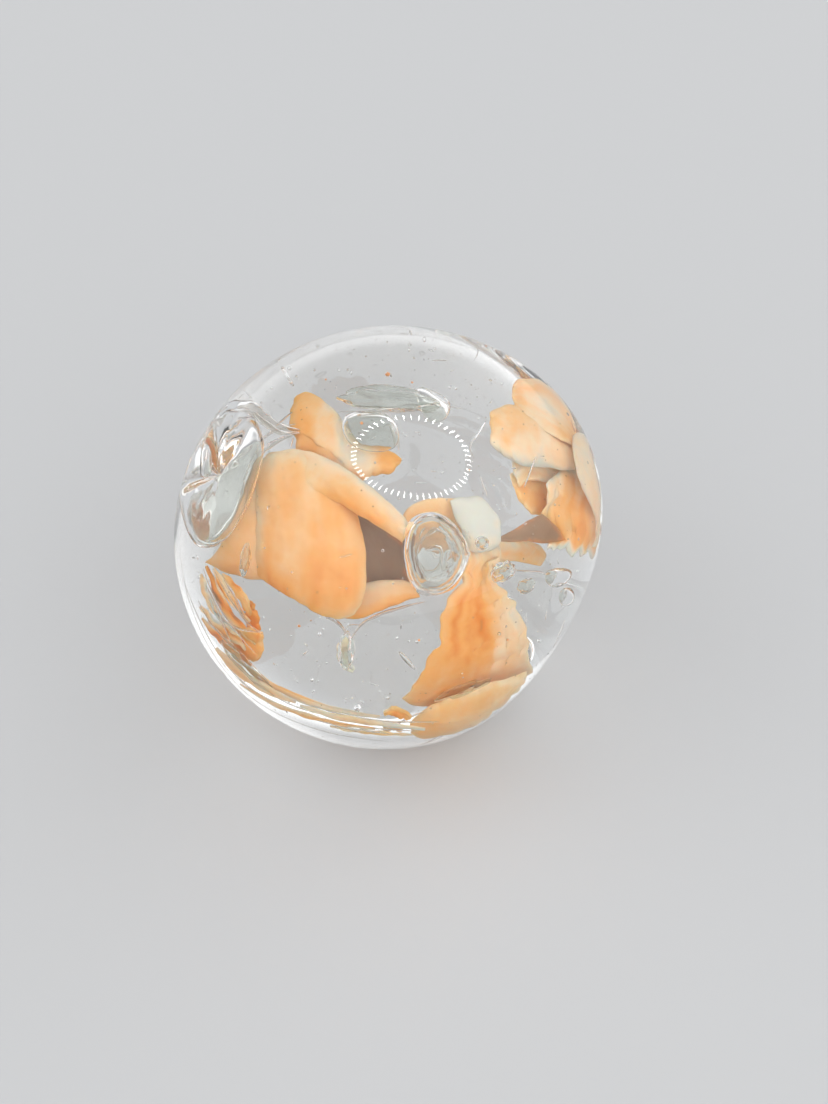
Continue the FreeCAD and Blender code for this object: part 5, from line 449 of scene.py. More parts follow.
        -75,-1812,3395,-9,-1810,3427,55,-1802,3462,123,-1794,3479,189,-1783,3498,253,-1766,3525,320,-1747,3541,389,-1726,3545,458,-1702,3548,]),
    "wisp": (0.7, 19, 5, [
        -562,-2201,3226,-547,-2205,3220,-532,-2198,3208,-516,-2184,3191,-501,-2186,3184,-591,-2196,3187,-568,-2202,3183,-546,-2195,3172,-523,-2183,3157,-500,-2186,3152,-616,-2193,3149,-589,-2199,3147,-560,-2191,3136,-532,-2180,3123,-505,-2185,3121,-647,-2189,3119,
        -613,-2197,3117,-578,-2188,3105,-544,-2178,3092,-510,-2185,3090,-677,-2186,3085,-635,-2195,3084,-593,-2186,3072,-551,-2178,3061,-509,-2186,3060,-692,-2186,3043,-646,-2197,3046,-599,-2187,3037,-553,-2180,3029,-507,-2189,3031,-690,-2189,2999,-646,-2200,3006,
        -602,-2190,3000,-557,-2183,2996,-513,-2190,3000,-685,-2192,2953,-643,-2203,2964,-601,-2192,2961,-559,-2186,2962,-517,-2193,2970,-688,-2188,2904,-646,-2202,2921,-602,-2191,2922,-559,-2190,2928,-516,-2197,2940,-692,-2182,2855,-645,-2199,2877,-598,-2190,2884,
        -551,-2194,2898,-505,-2202,2914,-679,-2180,2811,-634,-2197,2836,-588,-2189,2847,-543,-2196,2866,-498,-2204,2886,-661,-2179,2769,-620,-2194,2795,-578,-2185,2808,-537,-2195,2832,-495,-2202,2853,-638,-2180,2732,-600,-2193,2759,-561,-2183,2773,-524,-2195,2800,
        -486,-2199,2822,-616,-2181,2695,-583,-2190,2722,-549,-2178,2736,-516,-2192,2765,-482,-2193,2787,-599,-2183,2660,-570,-2188,2685,-540,-2173,2698,-512,-2188,2728,-483,-2184,2748,-576,-2189,2635,-548,-2191,2659,-519,-2175,2673,-492,-2190,2704,-464,-2181,2722,
        -545,-2201,2621,-521,-2199,2642,-497,-2179,2652,-473,-2193,2682,-449,-2178,2694,-511,-2214,2613,-492,-2208,2628,-474,-2185,2634,-457,-2197,2659,-438,-2175,2665,-473,-2228,2609,-461,-2218,2619,-449,-2193,2619,-437,-2204,2640,-425,-2174,2638,]),
    "petal_left_side": (1.4, 19, 13, [
        -1870,-297,4473,-1837,-303,4500,-1803,-315,4527,-1771,-316,4554,-1737,-324,4578,-1701,-352,4591,-1665,-364,4597,-1626,-357,4601,-1588,-358,4598,-1550,-369,4593,-1513,-379,4590,-1477,-393,4589,-1438,-402,4589,-1901,-382,4459,-1865,-392,4486,-1829,-407,4513,
        -1794,-412,4538,-1757,-422,4562,-1717,-449,4573,-1678,-461,4578,-1636,-456,4582,-1595,-459,4580,-1554,-469,4576,-1514,-480,4575,-1474,-493,4574,-1432,-501,4574,-1935,-455,4435,-1896,-469,4462,-1856,-488,4488,-1818,-498,4513,-1778,-510,4536,-1734,-537,4547,
        -1691,-550,4551,-1647,-548,4555,-1602,-552,4555,-1558,-562,4553,-1515,-574,4554,-1472,-587,4553,-1426,-594,4554,-1962,-529,4409,-1920,-546,4435,-1878,-567,4460,-1838,-581,4485,-1795,-595,4506,-1748,-621,4516,-1702,-634,4519,-1655,-635,4523,-1608,-640,4525,
        -1561,-651,4524,-1515,-662,4526,-1469,-676,4526,-1421,-681,4526,-1991,-593,4374,-1947,-613,4399,-1902,-637,4424,-1859,-654,4447,-1813,-671,4468,-1763,-696,4477,-1714,-710,4480,-1665,-713,4484,-1615,-720,4486,-1565,-731,4488,-1516,-743,4490,-1467,-756,4491,
        -1416,-761,4492,-2015,-659,4339,-1968,-681,4363,-1921,-708,4386,-1876,-727,4407,-1827,-744,4425,-1775,-769,4433,-1724,-782,4435,-1673,-787,4438,-1620,-795,4442,-1569,-805,4445,-1517,-816,4448,-1466,-829,4448,-1413,-832,4450,-2035,-726,4301,-1987,-750,4324,
        -1938,-778,4345,-1891,-798,4362,-1840,-815,4379,-1786,-837,4385,-1734,-850,4385,-1681,-856,4387,-1626,-864,4391,-1573,-872,4396,-1520,-883,4399,-1467,-894,4399,-1412,-896,4400,-2070,-769,4250,-2019,-796,4271,-1967,-826,4292,-1918,-849,4307,-1864,-868,4321,
        -1806,-890,4327,-1751,-904,4327,-1695,-912,4329,-1638,-921,4333,-1581,-930,4339,-1526,-941,4343,-1470,-951,4343,-1412,-953,4345,-2097,-821,4202,-2043,-851,4222,-1989,-883,4241,-1938,-907,4253,-1881,-926,4265,-1821,-947,4270,-1764,-960,4268,-1706,-969,4268,
        -1646,-979,4273,-1588,-986,4280,-1530,-996,4284,-1471,-1005,4284,-1412,-1006,4286,-2128,-864,4149,-2072,-898,4169,-2016,-931,4185,-1961,-957,4195,-1902,-978,4205,-1838,-998,4209,-1779,-1011,4206,-1719,-1022,4205,-1656,-1031,4211,-1595,-1038,4219,-1534,-1047,4222,
        -1473,-1055,4221,-1411,-1055,4225,-2172,-883,4085,-2112,-923,4105,-2052,-961,4122,-1994,-991,4130,-1931,-1015,4139,-1863,-1036,4143,-1800,-1051,4140,-1736,-1065,4138,-1670,-1076,4144,-1605,-1084,4154,-1541,-1093,4157,-1476,-1101,4157,-1410,-1101,4161,-2211,-904,4019,
        -2149,-949,4040,-2086,-992,4057,-2025,-1026,4063,-1957,-1052,4071,-1886,-1075,4076,-1820,-1091,4073,-1753,-1108,4070,-1683,-1121,4077,-1614,-1128,4087,-1546,-1137,4091,-1478,-1145,4091,-1409,-1146,4095,-2253,-913,3946,-2188,-966,3969,-2121,-1015,3987,-2057,-1052,3992,
        -1986,-1082,3999,-1911,-1107,4006,-1841,-1127,4003,-1771,-1146,3999,-1697,-1161,4007,-1625,-1169,4019,-1553,-1179,4023,-1481,-1187,4023,-1408,-1188,4028,-2291,-919,3870,-2223,-980,3895,-2154,-1034,3913,-2086,-1076,3917,-2012,-1109,3924,-1934,-1137,3932,-1861,-1159,3929,
        -1787,-1181,3925,-1711,-1197,3934,-1635,-1206,3948,-1560,-1216,3952,-1485,-1226,3953,-1409,-1227,3959,-2322,-927,3790,-2252,-994,3817,-2182,-1053,3835,-2111,-1098,3837,-2035,-1134,3844,-1954,-1164,3853,-1879,-1188,3851,-1803,-1212,3846,-1724,-1230,3856,-1645,-1239,3871,
        -1568,-1249,3877,-1490,-1259,3878,-1412,-1260,3885,-2358,-911,3699,-2287,-987,3728,-2215,-1052,3748,-2142,-1102,3749,-2062,-1142,3756,-1979,-1176,3767,-1901,-1203,3766,-1823,-1230,3761,-1741,-1251,3771,-1659,-1262,3789,-1578,-1274,3796,-1498,-1284,3798,-1417,-1286,3806,
        -2397,-877,3596,-2324,-963,3629,-2250,-1036,3651,-2174,-1091,3651,-2091,-1136,3659,-2006,-1175,3673,-1925,-1206,3674,-1844,-1238,3668,-1759,-1261,3680,-1674,-1275,3701,-1590,-1290,3709,-1506,-1302,3713,-1422,-1305,3721,-2438,-816,3482,-2365,-915,3520,-2288,-998,3545,
        -2209,-1061,3546,-2124,-1113,3555,-2035,-1159,3573,-1951,-1196,3575,-1867,-1232,3569,-1778,-1260,3583,-1690,-1278,3608,-1603,-1296,3617,-1516,-1311,3622,-1428,-1316,3631,-2480,-725,3356,-2407,-843,3402,-2329,-939,3432,-2247,-1010,3434,-2158,-1072,3445,-2067,-1127,3467,
        -1980,-1171,3472,-1892,-1212,3465,-1799,-1246,3481,-1707,-1270,3509,-1617,-1292,3520,-1525,-1311,3526,-1433,-1317,3535,]),
    "tail_c": (0.9, 13, 11, [
        -2104,-1743,3467,-2081,-1754,3484,-2063,-1760,3511,-2040,-1768,3519,-2018,-1771,3500,-2000,-1767,3487,-1982,-1768,3492,-1962,-1783,3501,-1941,-1810,3512,-1933,-1823,3492,-1920,-1831,3471,-2088,-1767,3445,-2065,-1778,3461,-2045,-1783,3485,-2022,-1787,3490,-1999,-1788,3469,
        -1980,-1783,3458,-1962,-1785,3464,-1942,-1800,3474,-1920,-1824,3485,-1910,-1835,3466,-1895,-1839,3446,-2076,-1790,3421,-2053,-1801,3435,-2032,-1806,3458,-2009,-1809,3460,-1985,-1808,3439,-1965,-1804,3430,-1945,-1807,3438,-1925,-1822,3450,-1902,-1843,3461,-1890,-1850,3442,
        -1873,-1853,3424,-2071,-1803,3387,-2051,-1814,3397,-2031,-1818,3415,-2009,-1818,3412,-1987,-1815,3389,-1968,-1811,3380,-1950,-1815,3387,-1932,-1828,3398,-1910,-1845,3407,-1898,-1849,3387,-1882,-1849,3367,-2059,-1817,3357,-2039,-1830,3365,-2020,-1834,3380,-1999,-1832,3374,
        -1977,-1830,3351,-1959,-1828,3345,-1942,-1834,3354,-1924,-1847,3366,-1903,-1862,3375,-1890,-1865,3356,-1874,-1865,3340,-2044,-1828,3325,-2023,-1843,3334,-2001,-1849,3350,-1978,-1849,3345,-1955,-1850,3326,-1934,-1854,3326,-1915,-1864,3339,-1895,-1879,3356,-1873,-1895,3369,
        -1857,-1902,3357,-1837,-1906,3347,-2034,-1832,3286,-2012,-1847,3294,-1989,-1853,3308,-1965,-1853,3301,-1941,-1856,3284,-1920,-1863,3289,-1899,-1877,3305,-1878,-1893,3325,-1855,-1910,3341,-1838,-1920,3333,-1817,-1927,3329,-2035,-1829,3236,-2012,-1844,3243,-1985,-1849,3255,
        -1960,-1849,3247,-1935,-1853,3232,-1911,-1864,3242,-1889,-1880,3261,-1867,-1898,3284,-1842,-1917,3303,-1822,-1930,3301,-1799,-1941,3302,-2030,-1841,3202,-2007,-1851,3202,-1981,-1853,3208,-1957,-1848,3195,-1933,-1850,3178,-1910,-1861,3189,-1889,-1876,3206,-1868,-1892,3228,
        -1845,-1909,3247,-1825,-1922,3247,-1803,-1932,3249,-2014,-1873,3186,-1994,-1877,3179,-1969,-1872,3177,-1948,-1861,3157,-1927,-1860,3138,-1906,-1869,3147,-1887,-1880,3160,-1868,-1892,3181,-1849,-1906,3198,-1830,-1916,3197,-1809,-1922,3198,-2014,-1892,3155,-1993,-1894,3145,
        -1966,-1888,3140,-1944,-1877,3118,-1922,-1877,3100,-1900,-1887,3112,-1879,-1898,3126,-1859,-1910,3148,-1839,-1924,3168,-1819,-1934,3170,-1795,-1937,3172,-2007,-1916,3129,-1986,-1917,3116,-1959,-1909,3107,-1937,-1898,3084,-1916,-1900,3067,-1893,-1911,3081,-1872,-1922,3095,
        -1852,-1933,3118,-1832,-1947,3139,-1811,-1956,3142,-1786,-1956,3145,-1994,-1940,3106,-1974,-1938,3087,-1948,-1928,3074,-1929,-1917,3048,-1910,-1919,3031,-1888,-1931,3047,-1868,-1941,3060,-1850,-1953,3085,-1832,-1966,3106,-1810,-1973,3110,-1785,-1969,3112,]),
    "tail_d": (1.0, 13, 11, [
        -2279,-1796,2859,-2238,-1824,2940,-2191,-1850,3011,-2135,-1893,3034,-2090,-1938,3063,-2042,-1995,3142,-1991,-2044,3191,-1936,-2076,3222,-1884,-2088,3199,-1834,-2095,3175,-1780,-2116,3171,-2271,-1799,2824,-2229,-1829,2900,-2184,-1859,2968,-2130,-1906,2993,-2086,-1956,3025,
        -2039,-2016,3102,-1988,-2064,3148,-1933,-2094,3176,-1880,-2105,3157,-1831,-2113,3139,-1779,-2138,3142,-2258,-1803,2793,-2216,-1834,2864,-2171,-1867,2928,-2119,-1917,2953,-2076,-1971,2987,-2030,-2033,3062,-1978,-2079,3105,-1923,-2106,3130,-1870,-2117,3114,-1822,-2129,3103,
        -1771,-2158,3114,-2251,-1799,2755,-2208,-1829,2819,-2164,-1863,2879,-2115,-1914,2903,-2075,-1970,2937,-2029,-2031,3008,-1979,-2074,3047,-1925,-2098,3068,-1872,-2110,3056,-1826,-2124,3053,-1778,-2157,3070,-2248,-1794,2715,-2205,-1823,2772,-2163,-1858,2827,-2116,-1909,2850,
        -2077,-1966,2884,-2032,-2025,2950,-1982,-2064,2985,-1928,-2084,3003,-1877,-2096,2995,-1832,-2114,3000,-1786,-2150,3023,-2235,-1815,2699,-2192,-1841,2748,-2149,-1876,2796,-2105,-1927,2817,-2066,-1982,2850,-2021,-2037,2910,-1971,-2070,2939,-1918,-2086,2952,-1867,-2098,2948,
        -1824,-2119,2959,-1780,-2156,2987,-2222,-1837,2685,-2178,-1862,2727,-2137,-1897,2769,-2096,-1947,2787,-2057,-2001,2818,-2013,-2051,2871,-1963,-2077,2895,-1911,-2090,2903,-1861,-2103,2903,-1820,-2126,2921,-1777,-2163,2952,-2224,-1826,2638,-2179,-1855,2676,-2137,-1895,2717,
        -2097,-1949,2737,-2058,-2006,2769,-2012,-2054,2819,-1961,-2079,2841,-1907,-2093,2848,-1857,-2111,2855,-1816,-2139,2883,-1773,-2176,2919,-2212,-1823,2603,-2168,-1852,2635,-2129,-1895,2671,-2091,-1950,2689,-2054,-2007,2721,-2009,-2053,2765,-1959,-2075,2783,-1907,-2089,2789,
        -1859,-2112,2802,-1819,-2144,2837,-1777,-2181,2877,-2191,-1825,2579,-2149,-1851,2601,-2114,-1892,2629,-2081,-1945,2644,-2047,-2000,2672,-2005,-2040,2709,-1958,-2058,2722,-1911,-2072,2726,-1866,-2100,2744,-1832,-2134,2786,-1793,-2169,2829,-2171,-1814,2542,-2131,-1836,2554,
        -2099,-1877,2575,-2071,-1927,2586,-2039,-1978,2611,-1999,-2012,2640,-1955,-2028,2650,-1912,-2044,2652,-1871,-2077,2677,-1840,-2115,2726,-1805,-2149,2772,-2140,-1830,2537,-2104,-1841,2536,-2077,-1873,2544,-2055,-1915,2548,-2028,-1956,2565,-1993,-1980,2583,-1955,-1988,2586,
        -1918,-2002,2583,-1884,-2037,2611,-1859,-2074,2664,-1830,-2106,2712,-2114,-1843,2526,-2081,-1845,2511,-2058,-1868,2508,-2041,-1900,2503,-2018,-1931,2513,-1986,-1943,2520,-1953,-1944,2516,-1921,-1955,2509,-1893,-1990,2540,-1873,-2026,2596,-1851,-2057,2647,]),
    "tail_1": (0.6, 19, 5, [
        -2701,-1299,3705,-2683,-1292,3706,-2674,-1309,3725,-2653,-1292,3719,-2639,-1295,3728,-2673,-1357,3656,-2653,-1353,3662,-2642,-1370,3684,-2617,-1353,3680,-2603,-1360,3695,-2637,-1424,3619,-2617,-1422,3628,-2604,-1437,3650,-2579,-1417,3647,-2564,-1426,3664,-2608,-1476,3567,
        -2586,-1480,3585,-2568,-1498,3613,-2540,-1482,3615,-2522,-1496,3640,-2591,-1506,3493,-2566,-1519,3520,-2545,-1541,3553,-2512,-1529,3562,-2491,-1550,3594,-2569,-1535,3420,-2542,-1557,3456,-2517,-1584,3496,-2482,-1578,3512,-2457,-1604,3551,-2530,-1583,3370,-2503,-1609,3412,
        -2477,-1637,3454,-2441,-1634,3475,-2416,-1663,3518,-2480,-1642,3337,-2456,-1667,3376,-2433,-1690,3413,-2401,-1685,3432,-2379,-1712,3473,-2433,-1691,3294,-2413,-1714,3330,-2392,-1732,3363,-2364,-1726,3380,-2346,-1752,3417,-2402,-1717,3222,-2380,-1745,3265,-2356,-1764,3302,
        -2326,-1765,3326,-2305,-1794,3370,-2359,-1757,3174,-2338,-1785,3216,-2313,-1801,3250,-2285,-1802,3275,-2265,-1830,3317,-2310,-1805,3135,-2291,-1831,3174,-2267,-1840,3203,-2241,-1841,3226,-2222,-1865,3265,-2269,-1841,3077,-2246,-1872,3125,-2218,-1882,3161,-2189,-1887,3192,
        -2165,-1913,3237,-2216,-1892,3045,-2192,-1924,3096,-2162,-1931,3131,-2133,-1937,3165,-2108,-1960,3210,-2164,-1939,3008,-2141,-1971,3060,-2110,-1974,3093,-2081,-1981,3129,-2056,-2001,3172,-2111,-1983,2970,-2092,-2012,3017,-2064,-2009,3044,-2039,-2014,3075,-2016,-2027,3111,
        -2047,-2037,2957,-2033,-2061,2993,-2011,-2050,3008,-1992,-2049,3029,-1975,-2055,3053,-1981,-2087,2943,-1972,-2108,2971,-1955,-2091,2977,-1940,-2088,2991,-1927,-2089,3007,-1916,-2131,2921,-1911,-2149,2944,-1897,-2128,2943,-1887,-2124,2952,-1877,-2121,2962,]),
    "tail_2": (0.6, 19, 5, [
        -2582,-1410,3758,-2568,-1404,3761,-2551,-1392,3759,-2540,-1396,3769,-2523,-1382,3766,-2561,-1441,3716,-2544,-1438,3724,-2527,-1431,3728,-2514,-1438,3743,-2495,-1427,3744,-2529,-1482,3689,-2510,-1480,3701,-2491,-1478,3712,-2476,-1488,3732,-2456,-1479,3738,-2507,-1507,3644,
        -2482,-1511,3666,-2458,-1517,3688,-2438,-1535,3720,-2412,-1531,3736,-2490,-1525,3591,-2461,-1533,3619,-2433,-1545,3649,-2410,-1568,3687,-2380,-1568,3710,-2471,-1546,3540,-2439,-1555,3572,-2409,-1571,3608,-2383,-1596,3650,-2350,-1599,3677,-2441,-1580,3509,-2410,-1585,3536,
        -2383,-1598,3568,-2358,-1621,3607,-2328,-1621,3630,-2404,-1623,3490,-2376,-1622,3510,-2352,-1631,3537,-2330,-1649,3570,-2302,-1644,3587,-2376,-1656,3456,-2346,-1655,3479,-2320,-1666,3509,-2296,-1683,3543,-2266,-1676,3562,-2336,-1700,3440,-2308,-1698,3462,-2283,-1707,3491,
        -2259,-1720,3522,-2230,-1710,3538,-2305,-1734,3410,-2275,-1733,3435,-2248,-1745,3468,-2223,-1757,3501,-2191,-1747,3519,-2274,-1764,3376,-2245,-1764,3402,-2219,-1776,3436,-2193,-1787,3468,-2162,-1776,3486,-2234,-1800,3357,-2209,-1797,3377,-2188,-1808,3406,-2166,-1812,3431,
        -2139,-1799,3443,-2191,-1836,3344,-2171,-1830,3357,-2155,-1838,3379,-2136,-1838,3395,-2115,-1823,3401,-2147,-1868,3329,-2132,-1860,3336,-2119,-1867,3353,-2105,-1863,3362,-2087,-1847,3363,-2117,-1884,3281,-2102,-1878,3290,-2090,-1887,3310,-2075,-1882,3320,-2058,-1871,3326,
        -2080,-1906,3244,-2065,-1901,3256,-2053,-1911,3277,-2038,-1904,3287,-2022,-1898,3298,-2034,-1937,3231,-2020,-1931,3240,-2009,-1940,3259,-1995,-1930,3265,-1982,-1927,3276,-1987,-1969,3217,-1976,-1959,3220,-1969,-1965,3234,-1956,-1949,3234,-1947,-1947,3242,]),
    "tail_3": (0.6, 19, 5, [
        -2422,-1520,3735,-2408,-1505,3734,-2401,-1512,3748,-2387,-1498,3748,-2376,-1492,3753,-2396,-1546,3714,-2379,-1536,3720,-2369,-1547,3741,-2352,-1537,3748,-2338,-1535,3759,-2370,-1572,3693,-2349,-1567,3708,-2334,-1581,3737,-2313,-1575,3751,-2295,-1578,3772,-2343,-1599,3676,
        -2320,-1597,3694,-2302,-1612,3726,-2279,-1607,3742,-2259,-1613,3766,-2318,-1626,3655,-2295,-1624,3672,-2277,-1638,3701,-2254,-1632,3714,-2234,-1639,3737,-2289,-1657,3642,-2268,-1654,3655,-2250,-1666,3680,-2228,-1656,3689,-2209,-1664,3709,-2261,-1689,3630,-2238,-1687,3645,
        -2219,-1698,3670,-2195,-1687,3678,-2175,-1696,3701,-2237,-1717,3610,-2211,-1719,3633,-2187,-1731,3662,-2158,-1721,3676,-2135,-1733,3704,-2211,-1745,3593,-2183,-1751,3620,-2157,-1763,3651,-2126,-1754,3666,-2101,-1767,3698,-2195,-1762,3557,-2166,-1772,3585,-2139,-1786,3617,
        -2107,-1777,3632,-2081,-1793,3666,-2173,-1782,3528,-2143,-1796,3560,-2114,-1812,3594,-2079,-1805,3611,-2052,-1826,3648,-2140,-1810,3517,-2111,-1826,3548,-2082,-1841,3579,-2049,-1835,3595,-2022,-1858,3631,-2107,-1834,3502,-2083,-1848,3527,-2058,-1860,3550,-2030,-1852,3560,
        -2008,-1875,3591,-2087,-1846,3466,-2063,-1862,3492,-2038,-1874,3516,-2010,-1868,3527,-1988,-1893,3560,-2069,-1855,3426,-2047,-1869,3450,-2024,-1879,3472,-1998,-1873,3483,-1979,-1900,3517,-2039,-1877,3406,-2023,-1885,3423,-2005,-1888,3436,-1985,-1878,3440,-1972,-1900,3466,
        -2013,-1896,3381,-1999,-1901,3392,-1983,-1899,3400,-1965,-1888,3401,-1954,-1909,3424,-1999,-1905,3339,-1985,-1908,3348,-1969,-1904,3353,-1952,-1893,3354,-1941,-1912,3373,-1984,-1916,3300,-1973,-1915,3304,-1959,-1905,3303,-1945,-1893,3300,-1936,-1906,3314,]),
    "tail_4": (0.6, 19, 5, [
        -2854,-1443,3020,-2832,-1431,3026,-2826,-1455,3053,-2808,-1450,3063,-2792,-1449,3074,-2823,-1476,2987,-2798,-1470,3002,-2788,-1499,3037,-2766,-1496,3053,-2747,-1502,3073,-2776,-1544,2996,-2750,-1538,3014,-2740,-1566,3051,-2716,-1560,3067,-2697,-1566,3090,-2740,-1583,2974,
        -2714,-1582,2996,-2702,-1611,3036,-2676,-1603,3053,-2657,-1611,3079,-2709,-1609,2938,-2683,-1613,2964,-2670,-1644,3006,-2641,-1636,3025,-2622,-1648,3055,-2682,-1622,2886,-2655,-1634,2921,-2639,-1671,2970,-2608,-1666,2994,-2587,-1686,3031,-2649,-1642,2843,-2620,-1664,2890,
        -2602,-1708,2948,-2567,-1707,2980,-2544,-1735,3028,-2595,-1699,2854,-2569,-1722,2901,-2551,-1763,2957,-2518,-1760,2988,-2497,-1790,3037,-2536,-1765,2883,-2515,-1780,2918,-2500,-1811,2962,-2472,-1801,2981,-2456,-1829,3022,-2495,-1790,2856,-2472,-1811,2900,-2455,-1846,2951,
        -2424,-1841,2978,-2407,-1876,3028,-2455,-1813,2828,-2431,-1838,2876,-2412,-1874,2930,-2380,-1871,2961,-2363,-1911,3017,-2413,-1841,2804,-2389,-1867,2854,-2367,-1901,2908,-2336,-1900,2942,-2318,-1942,3000,-2367,-1879,2796,-2341,-1906,2849,-2318,-1937,2904,-2286,-1936,2940,
        -2267,-1980,3001,-2315,-1928,2808,-2290,-1952,2858,-2266,-1977,2908,-2234,-1975,2942,-2216,-2016,3000,-2269,-1967,2803,-2244,-1990,2852,-2219,-2010,2898,-2188,-2007,2931,-2169,-2045,2988,-2216,-2014,2816,-2198,-2027,2847,-2179,-2033,2874,-2155,-2022,2891,-2142,-2048,2929,
        -2164,-2058,2825,-2153,-2062,2841,-2139,-2057,2852,-2122,-2038,2855,-2114,-2054,2876,-2127,-2073,2786,-2116,-2080,2804,-2102,-2073,2814,-2086,-2058,2820,-2077,-2070,2841,-2086,-2090,2753,-2078,-2097,2769,-2065,-2086,2775,-2052,-2072,2780,-2044,-2080,2795,]),
    "tail_5": (0.6, 19, 5, [
        -2850,-1538,2850,-2834,-1535,2860,-2829,-1556,2884,-2808,-1540,2886,-2797,-1547,2902,-2821,-1574,2827,-2803,-1576,2844,-2795,-1599,2872,-2771,-1584,2879,-2759,-1596,2901,-2793,-1604,2799,-2774,-1614,2825,-2762,-1640,2859,-2735,-1627,2871,-2721,-1646,2901,-2764,-1636,2774,
        -2744,-1654,2808,-2729,-1683,2849,-2698,-1673,2867,-2683,-1697,2904,-2736,-1662,2742,-2715,-1688,2786,-2697,-1720,2832,-2664,-1714,2857,-2648,-1745,2901,-2705,-1690,2717,-2682,-1726,2770,-2661,-1762,2823,-2627,-1761,2855,-2609,-1797,2907,-2667,-1730,2707,-2645,-1770,2765,
        -2622,-1807,2821,-2588,-1808,2856,-2569,-1849,2912,-2621,-1783,2718,-2602,-1820,2771,-2581,-1851,2821,-2549,-1850,2852,-2533,-1890,2905,-2583,-1815,2704,-2563,-1855,2760,-2541,-1885,2811,-2510,-1888,2845,-2494,-1931,2901,-2549,-1834,2671,-2531,-1874,2726,-2509,-1902,2775,
        -2479,-1906,2810,-2465,-1951,2866,-2513,-1861,2649,-2495,-1900,2704,-2472,-1924,2750,-2444,-1930,2786,-2430,-1974,2842,-2468,-1907,2655,-2450,-1944,2709,-2426,-1963,2752,-2399,-1970,2789,-2385,-2013,2843,-2429,-1944,2648,-2410,-1981,2703,-2384,-1996,2745,-2357,-2005,2784,
        -2341,-2045,2838,-2387,-1988,2651,-2370,-2017,2696,-2346,-2022,2727,-2324,-2027,2758,-2309,-2058,2802,-2345,-2029,2651,-2332,-2051,2686,-2311,-2046,2706,-2292,-2047,2729,-2280,-2068,2762,-2306,-2064,2643,-2293,-2087,2678,-2271,-2078,2697,-2252,-2082,2722,-2238,-2098,2753,
        -2264,-2104,2645,-2252,-2124,2675,-2231,-2110,2688,-2215,-2114,2709,-2201,-2123,2733,-2228,-2124,2617,-2219,-2142,2644,-2200,-2124,2652,-2187,-2128,2671,-2175,-2131,2689,-2185,-2155,2612,-2180,-2168,2629,-2165,-2144,2628,-2157,-2146,2640,-2147,-2140,2648,]),
    "tail_6": (0.6, 19, 5, [
        -2835,-1392,3618,-2824,-1401,3629,-2808,-1397,3631,-2789,-1386,3627,-2780,-1400,3641,-2823,-1409,3575,-2812,-1422,3590,-2795,-1420,3595,-2775,-1413,3596,-2765,-1428,3613,-2826,-1398,3509,-2806,-1428,3542,-2779,-1441,3563,-2752,-1451,3581,-2733,-1479,3612,-2818,-1403,3457,
        -2795,-1440,3497,-2765,-1457,3523,-2736,-1475,3550,-2714,-1507,3586,-2802,-1419,3416,-2781,-1456,3457,-2751,-1471,3482,-2724,-1491,3510,-2701,-1522,3546,-2795,-1423,3364,-2773,-1459,3404,-2743,-1473,3428,-2717,-1494,3457,-2695,-1524,3492,-2784,-1433,3319,-2763,-1469,3358,
        -2732,-1480,3381,-2707,-1502,3410,-2685,-1530,3443,-2764,-1462,3291,-2739,-1501,3335,-2705,-1513,3362,-2677,-1539,3397,-2651,-1568,3434,-2737,-1504,3277,-2709,-1546,3326,-2671,-1559,3357,-2640,-1588,3397,-2611,-1617,3437,-2714,-1539,3256,-2689,-1575,3300,-2653,-1583,3326,
        -2625,-1606,3361,-2597,-1630,3396,-2700,-1558,3216,-2676,-1592,3260,-2641,-1597,3284,-2614,-1620,3318,-2586,-1640,3352,-2686,-1572,3172,-2664,-1606,3215,-2630,-1610,3239,-2604,-1631,3273,-2578,-1649,3305,-2662,-1601,3149,-2642,-1632,3189,-2611,-1633,3210,-2587,-1652,3241,
        -2563,-1668,3270,-2638,-1625,3121,-2617,-1657,3163,-2587,-1662,3187,-2563,-1683,3221,-2538,-1700,3253,-2609,-1656,3103,-2590,-1685,3142,-2561,-1687,3163,-2540,-1707,3195,-2518,-1724,3225,-2570,-1699,3105,-2551,-1725,3140,-2525,-1726,3160,-2505,-1745,3189,-2485,-1761,3218,
        -2532,-1740,3105,-2514,-1761,3136,-2489,-1762,3153,-2471,-1779,3181,-2452,-1795,3208,-2498,-1774,3093,-2485,-1784,3112,-2465,-1777,3121,-2452,-1788,3139,-2439,-1798,3158,-2464,-1809,3083,-2454,-1811,3093,-2439,-1797,3094,-2429,-1801,3105,-2421,-1805,3116,]),
    "tail_7": (0.6, 19, 5, [
        -2470,-1427,3306,-2464,-1429,3313,-2455,-1420,3312,-2439,-1395,3300,-2438,-1409,3315,-2448,-1459,3287,-2442,-1464,3298,-2430,-1453,3298,-2414,-1430,3289,-2410,-1445,3306,-2432,-1482,3256,-2424,-1492,3273,-2409,-1481,3275,-2391,-1461,3272,-2385,-1478,3292,-2414,-1505,3228,
        -2405,-1520,3249,-2388,-1509,3254,-2369,-1494,3255,-2361,-1511,3278,-2393,-1529,3202,-2384,-1547,3226,-2366,-1536,3232,-2348,-1525,3237,-2339,-1540,3259,-2368,-1555,3181,-2360,-1576,3207,-2342,-1564,3212,-2325,-1557,3220,-2315,-1571,3242,-2328,-1601,3191,-2323,-1620,3213,
        -2308,-1603,3212,-2295,-1596,3217,-2287,-1605,3232,-2296,-1633,3183,-2291,-1653,3207,-2274,-1637,3207,-2262,-1635,3217,-2253,-1643,3233,-2268,-1657,3164,-2263,-1677,3188,-2247,-1660,3187,-2236,-1661,3198,-2227,-1668,3213,-2255,-1659,3111,-2248,-1683,3139,-2230,-1667,3142,
